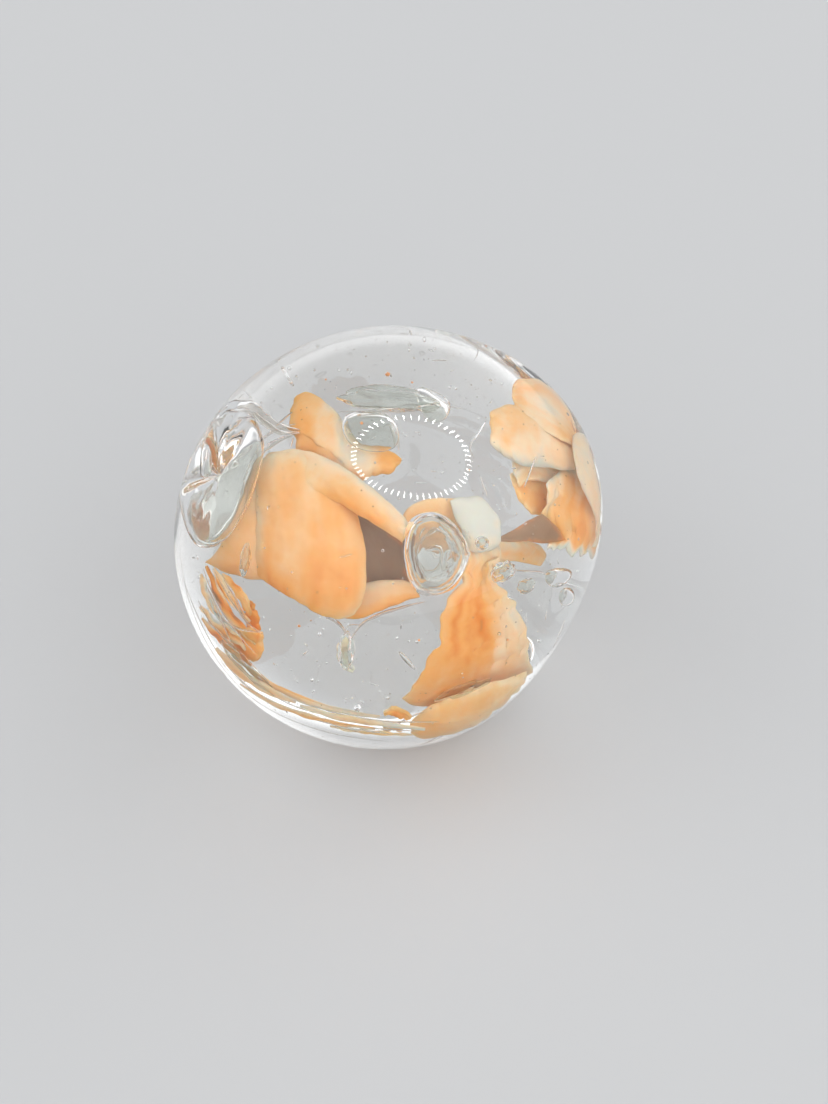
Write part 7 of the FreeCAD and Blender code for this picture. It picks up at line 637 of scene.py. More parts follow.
        1487,-1157,3834,1501,-1132,3835,1516,-1104,3829,1530,-1076,3830,1544,-1053,3836,1109,-1464,3970,1130,-1456,3946,1148,-1447,3922,1165,-1437,3900,1184,-1428,3881,1205,-1418,3866,1226,-1407,3861,1248,-1396,3855,1270,-1382,3850,1291,-1365,3846,1311,-1347,3832,
        1331,-1327,3822,1351,-1308,3812,1373,-1292,3802,1394,-1278,3801,1415,-1266,3803,1436,-1256,3802,1456,-1242,3802,1473,-1223,3807,1488,-1200,3811,1505,-1176,3808,1521,-1152,3813,1536,-1134,3824,1061,-1536,3957,1081,-1526,3930,1099,-1515,3903,1116,-1505,3880,
        1135,-1494,3860,1156,-1484,3845,1178,-1472,3840,1200,-1461,3833,1222,-1447,3829,1243,-1429,3826,1264,-1413,3814,1283,-1394,3806,1304,-1376,3798,1326,-1362,3789,1348,-1350,3790,1370,-1340,3793,1392,-1331,3795,1412,-1319,3795,1429,-1303,3805,1445,-1284,3811,
        1464,-1264,3811,1480,-1245,3821,1496,-1231,3837,1044,-1591,3924,1061,-1580,3895,1076,-1569,3867,1090,-1558,3844,1107,-1547,3825,1126,-1537,3810,1146,-1525,3807,1166,-1514,3801,1185,-1501,3799,1204,-1484,3799,1223,-1468,3789,1240,-1451,3786,1259,-1436,3782,
        1279,-1425,3776,1300,-1416,3778,1319,-1409,3786,1339,-1403,3791,1359,-1395,3795,1374,-1382,3809,1388,-1368,3821,1406,-1353,3826,1420,-1341,3842,1435,-1332,3864,1079,-1634,3837,1094,-1620,3804,1107,-1606,3775,1119,-1593,3751,1134,-1580,3732,1151,-1568,3717,
        1169,-1555,3715,1187,-1544,3710,1205,-1529,3709,1222,-1512,3712,1239,-1496,3704,1254,-1479,3704,1271,-1465,3703,1291,-1455,3699,1310,-1448,3704,1328,-1443,3714,1347,-1438,3722,1365,-1432,3729,1379,-1422,3748,1392,-1412,3764,1409,-1402,3773,1423,-1393,3795,
        1436,-1390,3823,1081,-1686,3775,1095,-1669,3738,1108,-1652,3706,1119,-1636,3681,1134,-1621,3662,1152,-1607,3646,1169,-1593,3644,1188,-1579,3638,1206,-1563,3637,1222,-1545,3642,1240,-1528,3635,1255,-1511,3637,1273,-1497,3639,1293,-1487,3635,1312,-1480,3640,
        1331,-1475,3653,1350,-1471,3662,1369,-1466,3670,1382,-1458,3693,1396,-1450,3712,1414,-1442,3723,1429,-1437,3749,1443,-1436,3780,1019,-1758,3767,1036,-1738,3726,1052,-1718,3689,1066,-1700,3662,1084,-1682,3640,1105,-1666,3621,1125,-1649,3618,1147,-1633,3610,
        1168,-1615,3607,1187,-1595,3611,1208,-1576,3603,1226,-1558,3606,1246,-1542,3607,1270,-1531,3601,1293,-1523,3604,1314,-1517,3616,1337,-1511,3624,1359,-1506,3630,1376,-1498,3654,1393,-1490,3673,1414,-1483,3684,1432,-1479,3711,1450,-1479,3742,969,-1823,3746,
        989,-1800,3701,1009,-1777,3661,1027,-1756,3631,1049,-1735,3607,1074,-1716,3586,1098,-1696,3581,1124,-1677,3571,1149,-1656,3567,1172,-1633,3570,1196,-1612,3562,1219,-1591,3564,1243,-1573,3566,1270,-1559,3557,1297,-1549,3557,1322,-1540,3569,1349,-1533,3576,
        1375,-1526,3581,1396,-1516,3605,1417,-1508,3625,1443,-1500,3634,1465,-1496,3661,1488,-1495,3693,917,-1885,3723,941,-1860,3673,964,-1834,3630,985,-1811,3597,1010,-1788,3571,1039,-1767,3548,1067,-1745,3542,1096,-1723,3530,1124,-1700,3524,1150,-1676,3527,
        1178,-1652,3517,1204,-1630,3520,1231,-1610,3521,1262,-1596,3511,1292,-1584,3508,1322,-1574,3518,1351,-1565,3525,1381,-1556,3528,1405,-1547,3553,1430,-1539,3572,1460,-1531,3580,1486,-1526,3608,1512,-1525,3639,870,-1941,3691,898,-1913,3637,925,-1885,3591,
        950,-1859,3556,979,-1834,3529,1012,-1810,3504,1044,-1786,3497,1077,-1762,3483,1109,-1737,3477,1139,-1710,3480,1171,-1684,3470,1200,-1660,3474,1231,-1639,3475,1266,-1621,3462,1301,-1607,3457,1334,-1595,3467,1368,-1584,3472,1402,-1574,3474,1430,-1564,3500,
        1459,-1555,3519,1494,-1545,3526,1524,-1539,3553,1554,-1537,3584,855,-1984,3628,886,-1952,3571,917,-1921,3523,945,-1892,3489,977,-1864,3462,1014,-1837,3436,1049,-1810,3430,1086,-1783,3416,1121,-1754,3411,1155,-1725,3415,1190,-1697,3406,1223,-1671,3413,
        1257,-1647,3415,1296,-1627,3402,1334,-1610,3397,1371,-1595,3408,1408,-1582,3414,1446,-1570,3416,1478,-1559,3445,1510,-1548,3465,1549,-1536,3471,1583,-1528,3500,1618,-1524,3532,832,-2023,3567,866,-1989,3507,899,-1954,3458,930,-1923,3423,965,-1893,3396,
        1005,-1863,3370,1044,-1834,3365,1083,-1805,3350,1122,-1774,3345,1158,-1743,3352,1196,-1713,3344,1232,-1686,3352,1270,-1660,3357,1312,-1638,3343,1353,-1619,3336,1393,-1603,3349,1433,-1589,3356,1474,-1575,3358,1510,-1564,3389,1546,-1553,3410,1588,-1539,3416,
        1625,-1530,3447,1663,-1525,3480,783,-2065,3521,819,-2029,3457,854,-1993,3405,887,-1960,3367,925,-1929,3339,967,-1898,3312,1008,-1868,3306,1049,-1838,3290,1091,-1807,3284,1129,-1777,3291,1169,-1747,3284,1207,-1720,3294,1247,-1695,3299,1291,-1672,3283,
        1335,-1653,3275,1377,-1638,3288,1420,-1624,3295,1464,-1611,3296,1502,-1602,3329,1540,-1593,3351,1585,-1579,3355,1625,-1572,3387,1666,-1567,3421,760,-2096,3454,799,-2055,3387,838,-2016,3333,874,-1980,3296,915,-1946,3268,961,-1913,3240,1006,-1880,3235,
        1051,-1847,3220,1096,-1814,3214,1138,-1781,3224,1182,-1749,3217,1223,-1720,3229,1267,-1693,3236,1314,-1667,3220,1362,-1645,3210,1408,-1628,3224,1455,-1612,3232,1502,-1597,3234,1544,-1587,3269,1586,-1575,3291,1635,-1558,3295,1679,-1549,3327,1724,-1543,3362,
        765,-2115,3367,805,-2070,3297,846,-2026,3242,884,-1988,3205,927,-1951,3177,975,-1914,3150,1022,-1879,3146,1069,-1843,3131,1116,-1807,3127,1159,-1773,3139,1205,-1739,3134,1249,-1708,3150,1294,-1680,3159,1344,-1651,3142,1394,-1626,3133,1441,-1609,3149,
        1491,-1592,3160,1541,-1576,3162,1585,-1565,3201,1629,-1553,3225,1681,-1534,3228,1727,-1523,3263,1776,-1517,3300,756,-2136,3287,796,-2088,3212,836,-2041,3154,873,-2001,3115,916,-1962,3086,964,-1924,3057,1010,-1888,3053,1057,-1851,3037,1104,-1815,3033,
        1147,-1783,3047,1192,-1749,3043,1236,-1720,3061,1281,-1693,3072,1331,-1664,3054,1380,-1641,3044,1428,-1625,3062,1478,-1612,3074,1528,-1598,3077,1572,-1591,3119,1617,-1582,3144,1669,-1564,3147,1716,-1558,3185,1765,-1556,3225,746,-2157,3208,787,-2104,3129,
        828,-2054,3069,867,-2011,3029,911,-1970,2999,961,-1928,2970,1009,-1891,2966,1057,-1851,2949,1105,-1813,2946,1150,-1780,2962,1197,-1745,2959,1242,-1716,2979,1289,-1688,2992,1340,-1657,2973,1391,-1631,2962,1441,-1616,2982,1493,-1603,2995,1545,-1588,2997,
        1591,-1582,3042,1638,-1572,3068,1692,-1552,3070,1741,-1546,3109,1793,-1546,3151,772,-2162,3101,812,-2103,3018,854,-2048,2956,891,-2002,2916,935,-1958,2888,985,-1913,2858,1033,-1874,2856,1081,-1831,2840,1129,-1792,2838,1174,-1759,2857,1221,-1723,2856,
        1267,-1695,2881,1314,-1666,2897,1365,-1633,2878,1416,-1606,2867,1467,-1593,2890,1519,-1580,2906,1572,-1564,2910,1619,-1561,2959,1666,-1551,2987,1721,-1530,2990,1771,-1526,3032,1824,-1528,3078,753,-2180,3021,795,-2117,2934,838,-2058,2869,877,-2009,2829,
        923,-1963,2800,975,-1915,2769,1024,-1875,2768,1074,-1830,2751,1124,-1789,2750,1171,-1757,2771,1220,-1719,2771,1267,-1691,2798,1316,-1663,2816,1369,-1627,2795,1422,-1598,2783,1475,-1585,2808,1529,-1572,2824,1584,-1555,2828,1633,-1552,2878,1682,-1541,2906,
        1739,-1517,2907,1792,-1514,2951,1848,-1517,2999,668,-2220,2994,715,-2155,2903,764,-2096,2836,809,-2046,2793,860,-1999,2762,917,-1950,2730,972,-1908,2728,1028,-1861,2708,1083,-1819,2706,1135,-1785,2726,1189,-1745,2725,1240,-1716,2752,1294,-1685,2768,
        1352,-1645,2744,1410,-1612,2727,1467,-1597,2750,1526,-1580,2763,1586,-1559,2762,1639,-1553,2811,1693,-1537,2835,1754,-1507,2829,1812,-1501,2871,1874,-1502,2916,620,-2240,2936,671,-2173,2841,723,-2111,2771,771,-2060,2728,825,-2012,2697,886,-1961,2663,
        944,-1919,2661,1003,-1870,2640,1061,-1827,2638,1116,-1794,2660,1173,-1753,2658,1228,-1723,2687,1285,-1692,2703,1345,-1649,2677,1406,-1614,2658,1467,-1598,2680,1529,-1581,2693,1591,-1556,2689,1648,-1549,2737,1704,-1530,2760,1768,-1496,2751,1829,-1490,2792,
        1896,-1491,2836,574,-2253,2873,626,-2183,2774,680,-2120,2702,729,-2069,2658,786,-2020,2627,849,-1968,2592,909,-1926,2591,970,-1877,2570,1030,-1835,2568,1087,-1804,2592,1146,-1763,2592,1203,-1736,2623,1261,-1706,2642,1324,-1663,2614,1387,-1627,2593,
        1450,-1614,2617,1514,-1598,2631,1578,-1572,2625,1636,-1565,2674,1694,-1546,2696,1760,-1512,2686,1824,-1508,2728,1894,-1512,2774,553,-2247,2775,606,-2172,2672,660,-2106,2599,710,-2053,2555,767,-2003,2524,830,-1950,2489,891,-1909,2489,952,-1859,2469,
        1013,-1817,2469,1071,-1789,2497,1131,-1750,2499,1188,-1727,2535,1248,-1699,2556,1311,-1655,2528,1375,-1620,2508,1439,-1611,2535,1505,-1596,2550,1569,-1570,2544,1629,-1567,2597,1689,-1549,2620,1756,-1515,2609,1822,-1515,2655,1894,-1523,2704,534,-2233,2672,
        588,-2151,2564,643,-2080,2488,694,-2024,2443,753,-1973,2412,818,-1916,2376,880,-1875,2378,942,-1823,2358,1005,-1781,2359,1064,-1756,2390,1125,-1716,2394,1185,-1696,2433,1247,-1670,2457,1311,-1624,2428,1376,-1587,2407,1442,-1580,2436,1509,-1566,2452,
        1575,-1538,2445,1637,-1536,2500,1698,-1518,2523,1767,-1482,2510,1837,-1485,2558,1913,-1496,2608,482,-2229,2602,537,-2143,2490,594,-2070,2412,647,-2013,2367,708,-1961,2336,775,-1903,2299,839,-1862,2303,903,-1810,2282,967,-1769,2284,1029,-1747,2318,
        1092,-1709,2323,1154,-1692,2366,1218,-1668,2392,1283,-1622,2362,1350,-1585,2340,1419,-1581,2371,1488,-1568,2387,1556,-1537,2378,1620,-1537,2434,1683,-1520,2458,1754,-1483,2444,1827,-1491,2493,1906,-1503,2543,444,-2212,2512,500,-2121,2396,557,-2043,2315,
        610,-1984,2269,671,-1931,2238,738,-1871,2201,803,-1832,2206,868,-1779,2186,932,-1740,2189,994,-1723,2227,1058,-1687,2234,1121,-1675,2281,1186,-1655,2311,1252,-1609,2281,1320,-1574,2258,1390,-1574,2292,1460,-1564,2310,1527,-1532,2300,1593,-1536,2359,
        1657,-1522,2384,1729,-1487,2370,1804,-1501,2423,1886,-1519,2475,402,-2194,2426,460,-2096,2304,518,-2014,2221,573,-1952,2173,635,-1897,2141,704,-1834,2103,771,-1795,2109,836,-1740,2088,903,-1701,2092,967,-1687,2132,1032,-1651,2140,1097,-1643,2190,
        1163,-1627,2222,1231,-1578,2190,1300,-1541,2166,1372,-1544,2201,1443,-1533,2218,1511,-1498,2206,1579,-1505,2267,1645,-1491,2291,1718,-1455,2274,1797,-1472,2328,1883,-1491,2378,347,-2183,2356,407,-2079,2229,469,-1992,2143,525,-1929,2094,590,-1872,2061,
        662,-1806,2022,731,-1767,2027,799,-1709,2005,867,-1671,2009,934,-1660,2051,1001,-1624,2059,1069,-1619,2112,1138,-1605,2145,1207,-1553,2111,1277,-1513,2083,1352,-1517,2118,1425,-1504,2134,1494,-1463,2116,1564,-1471,2178,1632,-1456,2200,1707,-1416,2179,
        1790,-1435,2231,1879,-1452,2278,320,-2146,2245,380,-2032,2113,442,-1938,2023,499,-1871,1974,565,-1811,1942,636,-1740,1901,706,-1703,1909,774,-1643,1886,844,-1605,1892,911,-1600,1939,979,-1566,1949,1049,-1568,2007,1119,-1559,2044,1188,-1505,2009,
        1259,-1462,1980,1335,-1471,2018,1409,-1458,2033,1477,-1412,2014,1549,-1424,2078,1618,-1411,2101,1694,-1369,2077,1780,-1391,2129,1872,-1407,2173,265,-2125,2170,329,-2004,2033,394,-1905,1941,454,-1836,1891,523,-1774,1858,598,-1699,1816,671,-1662,1824,
        742,-1599,1800,814,-1561,1807,885,-1560,1855,956,-1524,1865,1029,-1532,1926,1102,-1524,1964,1173,-1465,1925,1245,-1416,1892,1324,-1424,1929,1399,-1406,1941,1467,-1350,1915,1542,-1363,1979,1614,-1347,1998,1690,-1293,1963,1781,-1310,2009,1877,-1313,2039,
        201,-2105,2107,269,-1978,1965,337,-1876,1871,400,-1805,1819,472,-1743,1785,549,-1665,1742,625,-1631,1751,698,-1565,1726,773,-1528,1732,847,-1533,1783,920,-1497,1792,996,-1509,1856,1072,-1505,1895,1145,-1442,1853,1217,-1388,1816,1299,-1397,1850,
        1375,-1374,1859,1442,-1308,1826,1521,-1323,1889,1594,-1305,1905,1670,-1236,1856,1763,-1246,1891,1861,-1228,1901,]),
    "petal_front_foot": (1.4, 11, 27, [
        335,-1936,1631,388,-1971,1698,441,-2003,1765,493,-2032,1833,547,-2052,1891,602,-2068,1946,663,-2069,1978,727,-2059,1992,786,-2066,2032,847,-2069,2066,912,-2056,2074,975,-2048,2090,1037,-2042,2113,1098,-2040,2144,1160,-2029,2164,1223,-1993,2144,
        1284,-1973,2156,1345,-1958,2184,1406,-1929,2191,1466,-1894,2190,1526,-1843,2163,1585,-1796,2147,1644,-1756,2144,1703,-1710,2134,1763,-1660,2116,1824,-1628,2128,1886,-1575,2109,328,-2005,1633,383,-2029,1686,436,-2051,1740,489,-2075,1799,545,-2094,1852,
        602,-2109,1902,664,-2112,1934,729,-2103,1948,791,-2109,1984,853,-2111,2015,918,-2099,2023,982,-2091,2039,1045,-2084,2061,1107,-2079,2090,1170,-2064,2107,1234,-2027,2088,1294,-2005,2102,1355,-1987,2126,1416,-1956,2135,1475,-1923,2140,1534,-1870,2115,
        1594,-1820,2098,1653,-1779,2096,1712,-1734,2089,1772,-1687,2077,1833,-1651,2086,1896,-1592,2062,319,-2055,1630,374,-2068,1668,429,-2082,1708,483,-2100,1757,541,-2116,1805,599,-2131,1850,663,-2135,1881,729,-2127,1895,791,-2133,1928,855,-2133,1954,
        921,-2120,1961,986,-2112,1979,1050,-2105,2000,1112,-2097,2025,1175,-2078,2038,1239,-2039,2021,1300,-2017,2037,1361,-1994,2058,1421,-1964,2069,1479,-1933,2081,1539,-1879,2057,1598,-1827,2039,1658,-1785,2038,1716,-1743,2035,1775,-1700,2031,1837,-1661,2037,
        1901,-1594,2007,305,-2096,1625,361,-2098,1648,416,-2102,1674,472,-2115,1713,531,-2129,1755,591,-2142,1795,655,-2147,1825,722,-2141,1839,786,-2145,1868,850,-2143,1889,917,-2130,1896,982,-2122,1914,1046,-2113,1935,1109,-2102,1957,1172,-2080,1966,
        1235,-2039,1951,1295,-2017,1970,1357,-1991,1988,1416,-1962,2002,1473,-1937,2022,1533,-1883,2001,1593,-1829,1983,1652,-1789,1984,1710,-1751,1987,1769,-1715,1993,1831,-1674,1996,1894,-1602,1963,305,-2120,1604,361,-2111,1611,416,-2105,1623,473,-2111,1651,
        532,-2124,1688,593,-2135,1723,658,-2141,1752,725,-2135,1765,789,-2137,1790,854,-2133,1807,920,-2118,1813,985,-2110,1832,1048,-2100,1852,1111,-2085,1871,1174,-2058,1876,1236,-2016,1864,1295,-1996,1886,1356,-1967,1902,1414,-1940,1920,1469,-1921,1950,
        1528,-1868,1931,1588,-1813,1913,1647,-1775,1918,1705,-1742,1928,1762,-1714,1944,1824,-1670,1945,1886,-1591,1908,303,-2140,1582,360,-2119,1573,415,-2102,1570,472,-2102,1587,532,-2111,1617,594,-2121,1648,659,-2128,1676,726,-2122,1688,791,-2122,1708,
        856,-2114,1720,922,-2098,1725,987,-2090,1745,1050,-2077,1764,1112,-2059,1780,1174,-2027,1780,1235,-1984,1771,1293,-1966,1797,1354,-1934,1810,1411,-1910,1833,1466,-1900,1873,1524,-1847,1857,1584,-1791,1838,1642,-1755,1845,1699,-1727,1862,1755,-1707,1890,
        1816,-1659,1888,1877,-1571,1844,296,-2146,1555,352,-2114,1531,408,-2087,1512,465,-2079,1518,526,-2087,1543,588,-2095,1568,654,-2105,1596,721,-2101,1607,786,-2099,1623,851,-2087,1630,916,-2071,1635,980,-2064,1657,1043,-2051,1676,1105,-2030,1689,
        1166,-1993,1686,1226,-1952,1681,1284,-1938,1713,1344,-1905,1723,1401,-1888,1753,1455,-1890,1806,1514,-1840,1794,1573,-1784,1776,1631,-1752,1788,1688,-1732,1814,1743,-1724,1856,1803,-1674,1854,1863,-1583,1810,310,-2124,1518,365,-2079,1477,418,-2039,1442,
        475,-2023,1436,534,-2030,1455,596,-2037,1474,661,-2050,1502,726,-2047,1514,790,-2044,1526,854,-2029,1528,917,-2013,1533,980,-2010,1558,1041,-1998,1578,1101,-1976,1590,1160,-1936,1584,1218,-1900,1585,1275,-1896,1626,1334,-1863,1635,1390,-1857,1674,
        1444,-1877,1744,1501,-1834,1738,1560,-1782,1724,1617,-1758,1744,1673,-1751,1784,1726,-1760,1845,1784,-1714,1848,1844,-1633,1813,324,-2081,1477,377,-2019,1417,428,-1962,1364,483,-1934,1343,541,-1936,1354,602,-1940,1367,666,-1955,1393,730,-1954,1404,
        793,-1946,1409,855,-1925,1404,916,-1907,1407,977,-1908,1435,1037,-1897,1455,1095,-1873,1463,1152,-1826,1451,1209,-1794,1456,1265,-1803,1506,1323,-1770,1512,1379,-1777,1560,1433,-1820,1649,1490,-1782,1648,1548,-1730,1633,1605,-1712,1658,1660,-1720,1712,
        1712,-1748,1792,1770,-1702,1795,1828,-1619,1760,313,-2017,1425,365,-1936,1346,415,-1856,1274,468,-1811,1238,526,-1807,1240,587,-1805,1244,650,-1824,1269,714,-1823,1278,775,-1808,1276,834,-1775,1260,894,-1754,1261,955,-1761,1291,1013,-1751,1311,
        1069,-1722,1314,1124,-1662,1292,1179,-1635,1301,1238,-1665,1363,1294,-1625,1361,1352,-1652,1422,1411,-1730,1535,1468,-1696,1537,1524,-1639,1517,1581,-1629,1548,1638,-1655,1618,1691,-1708,1722,1749,-1661,1722,1806,-1570,1680,307,-1936,1366,357,-1830,1268,
        403,-1721,1175,453,-1651,1122,509,-1637,1114,568,-1626,1109,630,-1648,1133,691,-1647,1139,749,-1621,1128,804,-1567,1099,861,-1540,1096,920,-1559,1132,976,-1553,1153,1029,-1514,1149,1075,-1422,1106,1130,-1407,1122,1194,-1482,1208,1246,-1425,1192,
        1311,-1494,1277,1377,-1629,1428,1433,-1603,1436,1488,-1542,1415,1546,-1547,1456,1605,-1602,1550,1660,-1685,1679,1717,-1643,1683,1774,-1560,1648,]),
    "band_4": (0.6, 19, 5, [
        -1332,-2725,2077,-1326,-2714,2089,-1319,-2701,2099,-1317,-2712,2119,-1309,-2685,2123,-1230,-2745,2038,-1223,-2740,2063,-1215,-2737,2089,-1211,-2753,2122,-1202,-2732,2140,-1126,-2767,2013,-1117,-2765,2048,-1109,-2769,2084,-1104,-2789,2127,-1094,-2773,2154,-1017,-2796,2009,
        -1010,-2787,2034,-1005,-2789,2063,-1000,-2805,2097,-993,-2787,2118,-915,-2806,1973,-907,-2795,1999,-902,-2799,2031,-897,-2814,2066,-890,-2799,2089,-812,-2812,1935,-803,-2803,1971,-797,-2813,2013,-791,-2829,2057,-783,-2819,2090,-707,-2824,1913,-698,-2814,1951,
        -692,-2825,1997,-685,-2839,2043,-677,-2831,2079,-600,-2844,1914,-591,-2830,1950,-585,-2842,1995,-579,-2851,2039,-571,-2843,2075,-492,-2859,1913,-485,-2841,1944,-479,-2851,1984,-474,-2855,2022,-467,-2845,2053,-385,-2863,1896,-380,-2842,1921,-375,-2851,1956,
        -370,-2850,1987,-365,-2837,2014,-280,-2852,1862,-275,-2834,1891,-270,-2847,1931,-265,-2846,1965,-260,-2836,1995,-171,-2854,1866,-167,-2834,1891,-163,-2848,1928,-159,-2845,1959,-154,-2834,1985,-65,-2838,1843,-62,-2817,1865,-58,-2833,1900,-55,-2828,1926,
        -51,-2818,1950,38,-2796,1781,41,-2780,1811,45,-2802,1853,49,-2802,1887,52,-2797,1918,143,-2767,1756,146,-2751,1784,150,-2775,1825,153,-2774,1857,156,-2770,1888,248,-2731,1725,249,-2711,1746,252,-2733,1779,254,-2729,1804,256,-2723,1828,
        352,-2696,1702,353,-2672,1716,355,-2690,1744,357,-2684,1763,358,-2675,1780,455,-2637,1643,454,-2613,1658,457,-2631,1686,457,-2624,1705,458,-2615,1723,557,-2582,1600,555,-2554,1609,557,-2567,1629,556,-2556,1642,556,-2542,1654,]),
    "band_5": (0.4, 19, 5, [
        -886,-2846,1726,-886,-2859,1742,-880,-2828,1744,-877,-2817,1751,-876,-2818,1762,-815,-2850,1712,-814,-2868,1734,-809,-2840,1741,-806,-2836,1756,-804,-2839,1772,-744,-2853,1702,-743,-2874,1728,-738,-2848,1739,-735,-2851,1758,-733,-2855,1779,-676,-2833,1653,
        -674,-2860,1691,-669,-2841,1715,-666,-2854,1747,-662,-2864,1778,-606,-2824,1630,-603,-2854,1674,-598,-2838,1703,-595,-2858,1742,-591,-2869,1777,-533,-2836,1643,-531,-2857,1677,-526,-2836,1697,-525,-2855,1728,-522,-2860,1755,-461,-2843,1650,-459,-2858,1678,
        -455,-2834,1694,-454,-2853,1722,-452,-2852,1744,-392,-2829,1618,-389,-2849,1661,-385,-2831,1691,-382,-2859,1734,-379,-2861,1768,-323,-2820,1598,-319,-2839,1641,-316,-2821,1672,-313,-2850,1717,-310,-2847,1751,-251,-2832,1615,-249,-2839,1642,-246,-2813,1659,
        -244,-2835,1690,-242,-2819,1709,-182,-2821,1594,-179,-2829,1625,-177,-2805,1647,-175,-2830,1682,-172,-2811,1703,-112,-2806,1572,-110,-2819,1613,-107,-2802,1645,-104,-2832,1689,-102,-2813,1718,-42,-2798,1565,-40,-2808,1603,-38,-2792,1632,-35,-2821,1674,
        -33,-2798,1699,28,-2787,1563,29,-2791,1590,31,-2773,1609,33,-2798,1641,34,-2768,1656,98,-2776,1564,99,-2772,1579,99,-2751,1589,101,-2771,1610,101,-2736,1615,167,-2746,1540,168,-2746,1562,168,-2733,1579,170,-2757,1606,170,-2726,1617,
        235,-2709,1507,236,-2710,1533,237,-2703,1556,239,-2729,1588,238,-2704,1604,305,-2694,1513,305,-2686,1528,304,-2676,1541,306,-2695,1563,305,-2666,1570,373,-2662,1493,372,-2648,1501,371,-2636,1509,372,-2648,1524,370,-2619,1526,]),
    "patch_1": (0.6, 19, 5, [
        -34,-2578,1985,-37,-2598,2012,-41,-2582,2024,-44,-2571,2037,-48,-2585,2062,-12,-2581,1994,-16,-2603,2029,-19,-2586,2047,-23,-2580,2069,-26,-2597,2101,9,-2591,2016,8,-2611,2049,6,-2590,2066,4,-2585,2088,2,-2600,2120,30,-2592,2016,
        30,-2613,2054,29,-2591,2074,28,-2589,2103,27,-2604,2138,51,-2589,2006,50,-2614,2056,48,-2595,2087,47,-2599,2128,46,-2615,2173,71,-2583,1992,71,-2614,2054,69,-2598,2095,68,-2609,2148,67,-2624,2202,92,-2583,1994,93,-2613,2055,
        92,-2597,2095,92,-2611,2149,92,-2622,2200,111,-2571,1974,114,-2605,2041,114,-2591,2086,116,-2611,2146,118,-2621,2201,129,-2557,1954,133,-2594,2025,137,-2583,2076,141,-2609,2141,145,-2618,2199,149,-2548,1947,155,-2582,2013,159,-2571,2060,
        165,-2600,2123,170,-2605,2175,165,-2526,1915,173,-2561,1983,180,-2552,2032,189,-2587,2099,196,-2590,2153,184,-2507,1889,193,-2540,1956,201,-2532,2006,211,-2571,2074,219,-2572,2126,206,-2501,1887,215,-2528,1948,222,-2518,1992,232,-2556,2056,
        240,-2552,2101,230,-2507,1906,238,-2525,1955,245,-2510,1989,254,-2544,2045,261,-2533,2080,249,-2496,1887,257,-2510,1934,265,-2493,1967,274,-2527,2021,281,-2512,2053,264,-2473,1846,274,-2487,1895,283,-2472,1931,294,-2507,1987,302,-2489,2021,
        284,-2466,1835,292,-2473,1874,299,-2455,1902,308,-2485,1949,315,-2461,1974,307,-2471,1847,313,-2469,1871,318,-2446,1887,326,-2467,1920,331,-2435,1931,329,-2469,1847,334,-2460,1860,339,-2434,1867,346,-2449,1889,350,-2411,1891,]),
    "patch_2": (0.6, 19, 5, [
        -35,-2581,1600,-41,-2559,1609,-47,-2540,1619,-52,-2551,1638,-58,-2527,1646,-23,-2597,1624,-30,-2579,1640,-36,-2567,1657,-42,-2580,1682,-48,-2557,1696,-10,-2603,1633,-18,-2593,1662,-27,-2590,1692,-35,-2610,1729,-44,-2590,1753,7,-2591,1615,
        -3,-2591,1661,-12,-2602,1709,-22,-2630,1762,-32,-2617,1799,21,-2585,1611,16,-2586,1657,11,-2601,1706,6,-2629,1759,0,-2616,1797,33,-2587,1623,29,-2585,1664,26,-2602,1710,22,-2628,1759,18,-2613,1792,45,-2586,1630,41,-2588,1678,
        36,-2612,1732,32,-2640,1787,27,-2629,1827,58,-2590,1644,55,-2591,1692,52,-2616,1748,49,-2643,1803,45,-2634,1844,72,-2598,1663,70,-2593,1704,69,-2617,1755,68,-2638,1804,66,-2627,1840,86,-2590,1653,86,-2585,1697,87,-2612,1751,
        88,-2631,1802,88,-2623,1842,99,-2578,1633,101,-2573,1679,105,-2601,1735,108,-2616,1786,110,-2611,1828,113,-2585,1644,117,-2576,1684,122,-2601,1735,127,-2608,1778,131,-2602,1816,127,-2592,1655,132,-2582,1693,138,-2607,1742,144,-2608,1782,
        149,-2602,1818,139,-2579,1632,145,-2572,1674,152,-2601,1727,158,-2599,1769,164,-2598,1810,149,-2560,1603,156,-2557,1648,163,-2589,1702,170,-2585,1744,176,-2589,1787,162,-2551,1593,167,-2547,1631,174,-2578,1680,179,-2567,1713,185,-2573,1752,
        174,-2537,1579,180,-2532,1612,188,-2563,1656,194,-2549,1685,201,-2558,1720,189,-2530,1579,195,-2521,1601,203,-2548,1635,209,-2526,1652,216,-2535,1680,203,-2519,1572,208,-2504,1583,215,-2525,1606,219,-2496,1611,226,-2505,1629,]),
    "petal_right_curl": (1.4, 15, 25, [
        1780,1041,5037,1797,1185,4955,1816,1326,4856,1846,1419,4767,1882,1478,4692,1912,1562,4587,1927,1683,4440,1943,1765,4318,1970,1792,4250,2005,1789,4213,2037,1794,4167,2054,1835,4079,2071,1869,3996,2106,1854,3977,2146,1825,3976,2194,1773,4004,
        2233,1740,4004,2284,1671,4043,2332,1602,4077,2364,1585,4051,2412,1496,4102,2454,1418,4134,2495,1328,4174,2536,1211,4235,2570,1110,4274,1765,1029,5010,1783,1157,4936,1804,1283,4847,1835,1364,4768,1872,1414,4702,1904,1487,4611,1925,1592,4485,
        1946,1663,4381,1977,1684,4323,2014,1679,4289,2048,1682,4248,2073,1710,4179,2100,1726,4124,2138,1707,4108,2177,1681,4100,2217,1646,4104,2255,1619,4096,2298,1569,4111,2341,1517,4125,2373,1501,4098,2415,1432,4127,2454,1371,4143,2493,1297,4169,
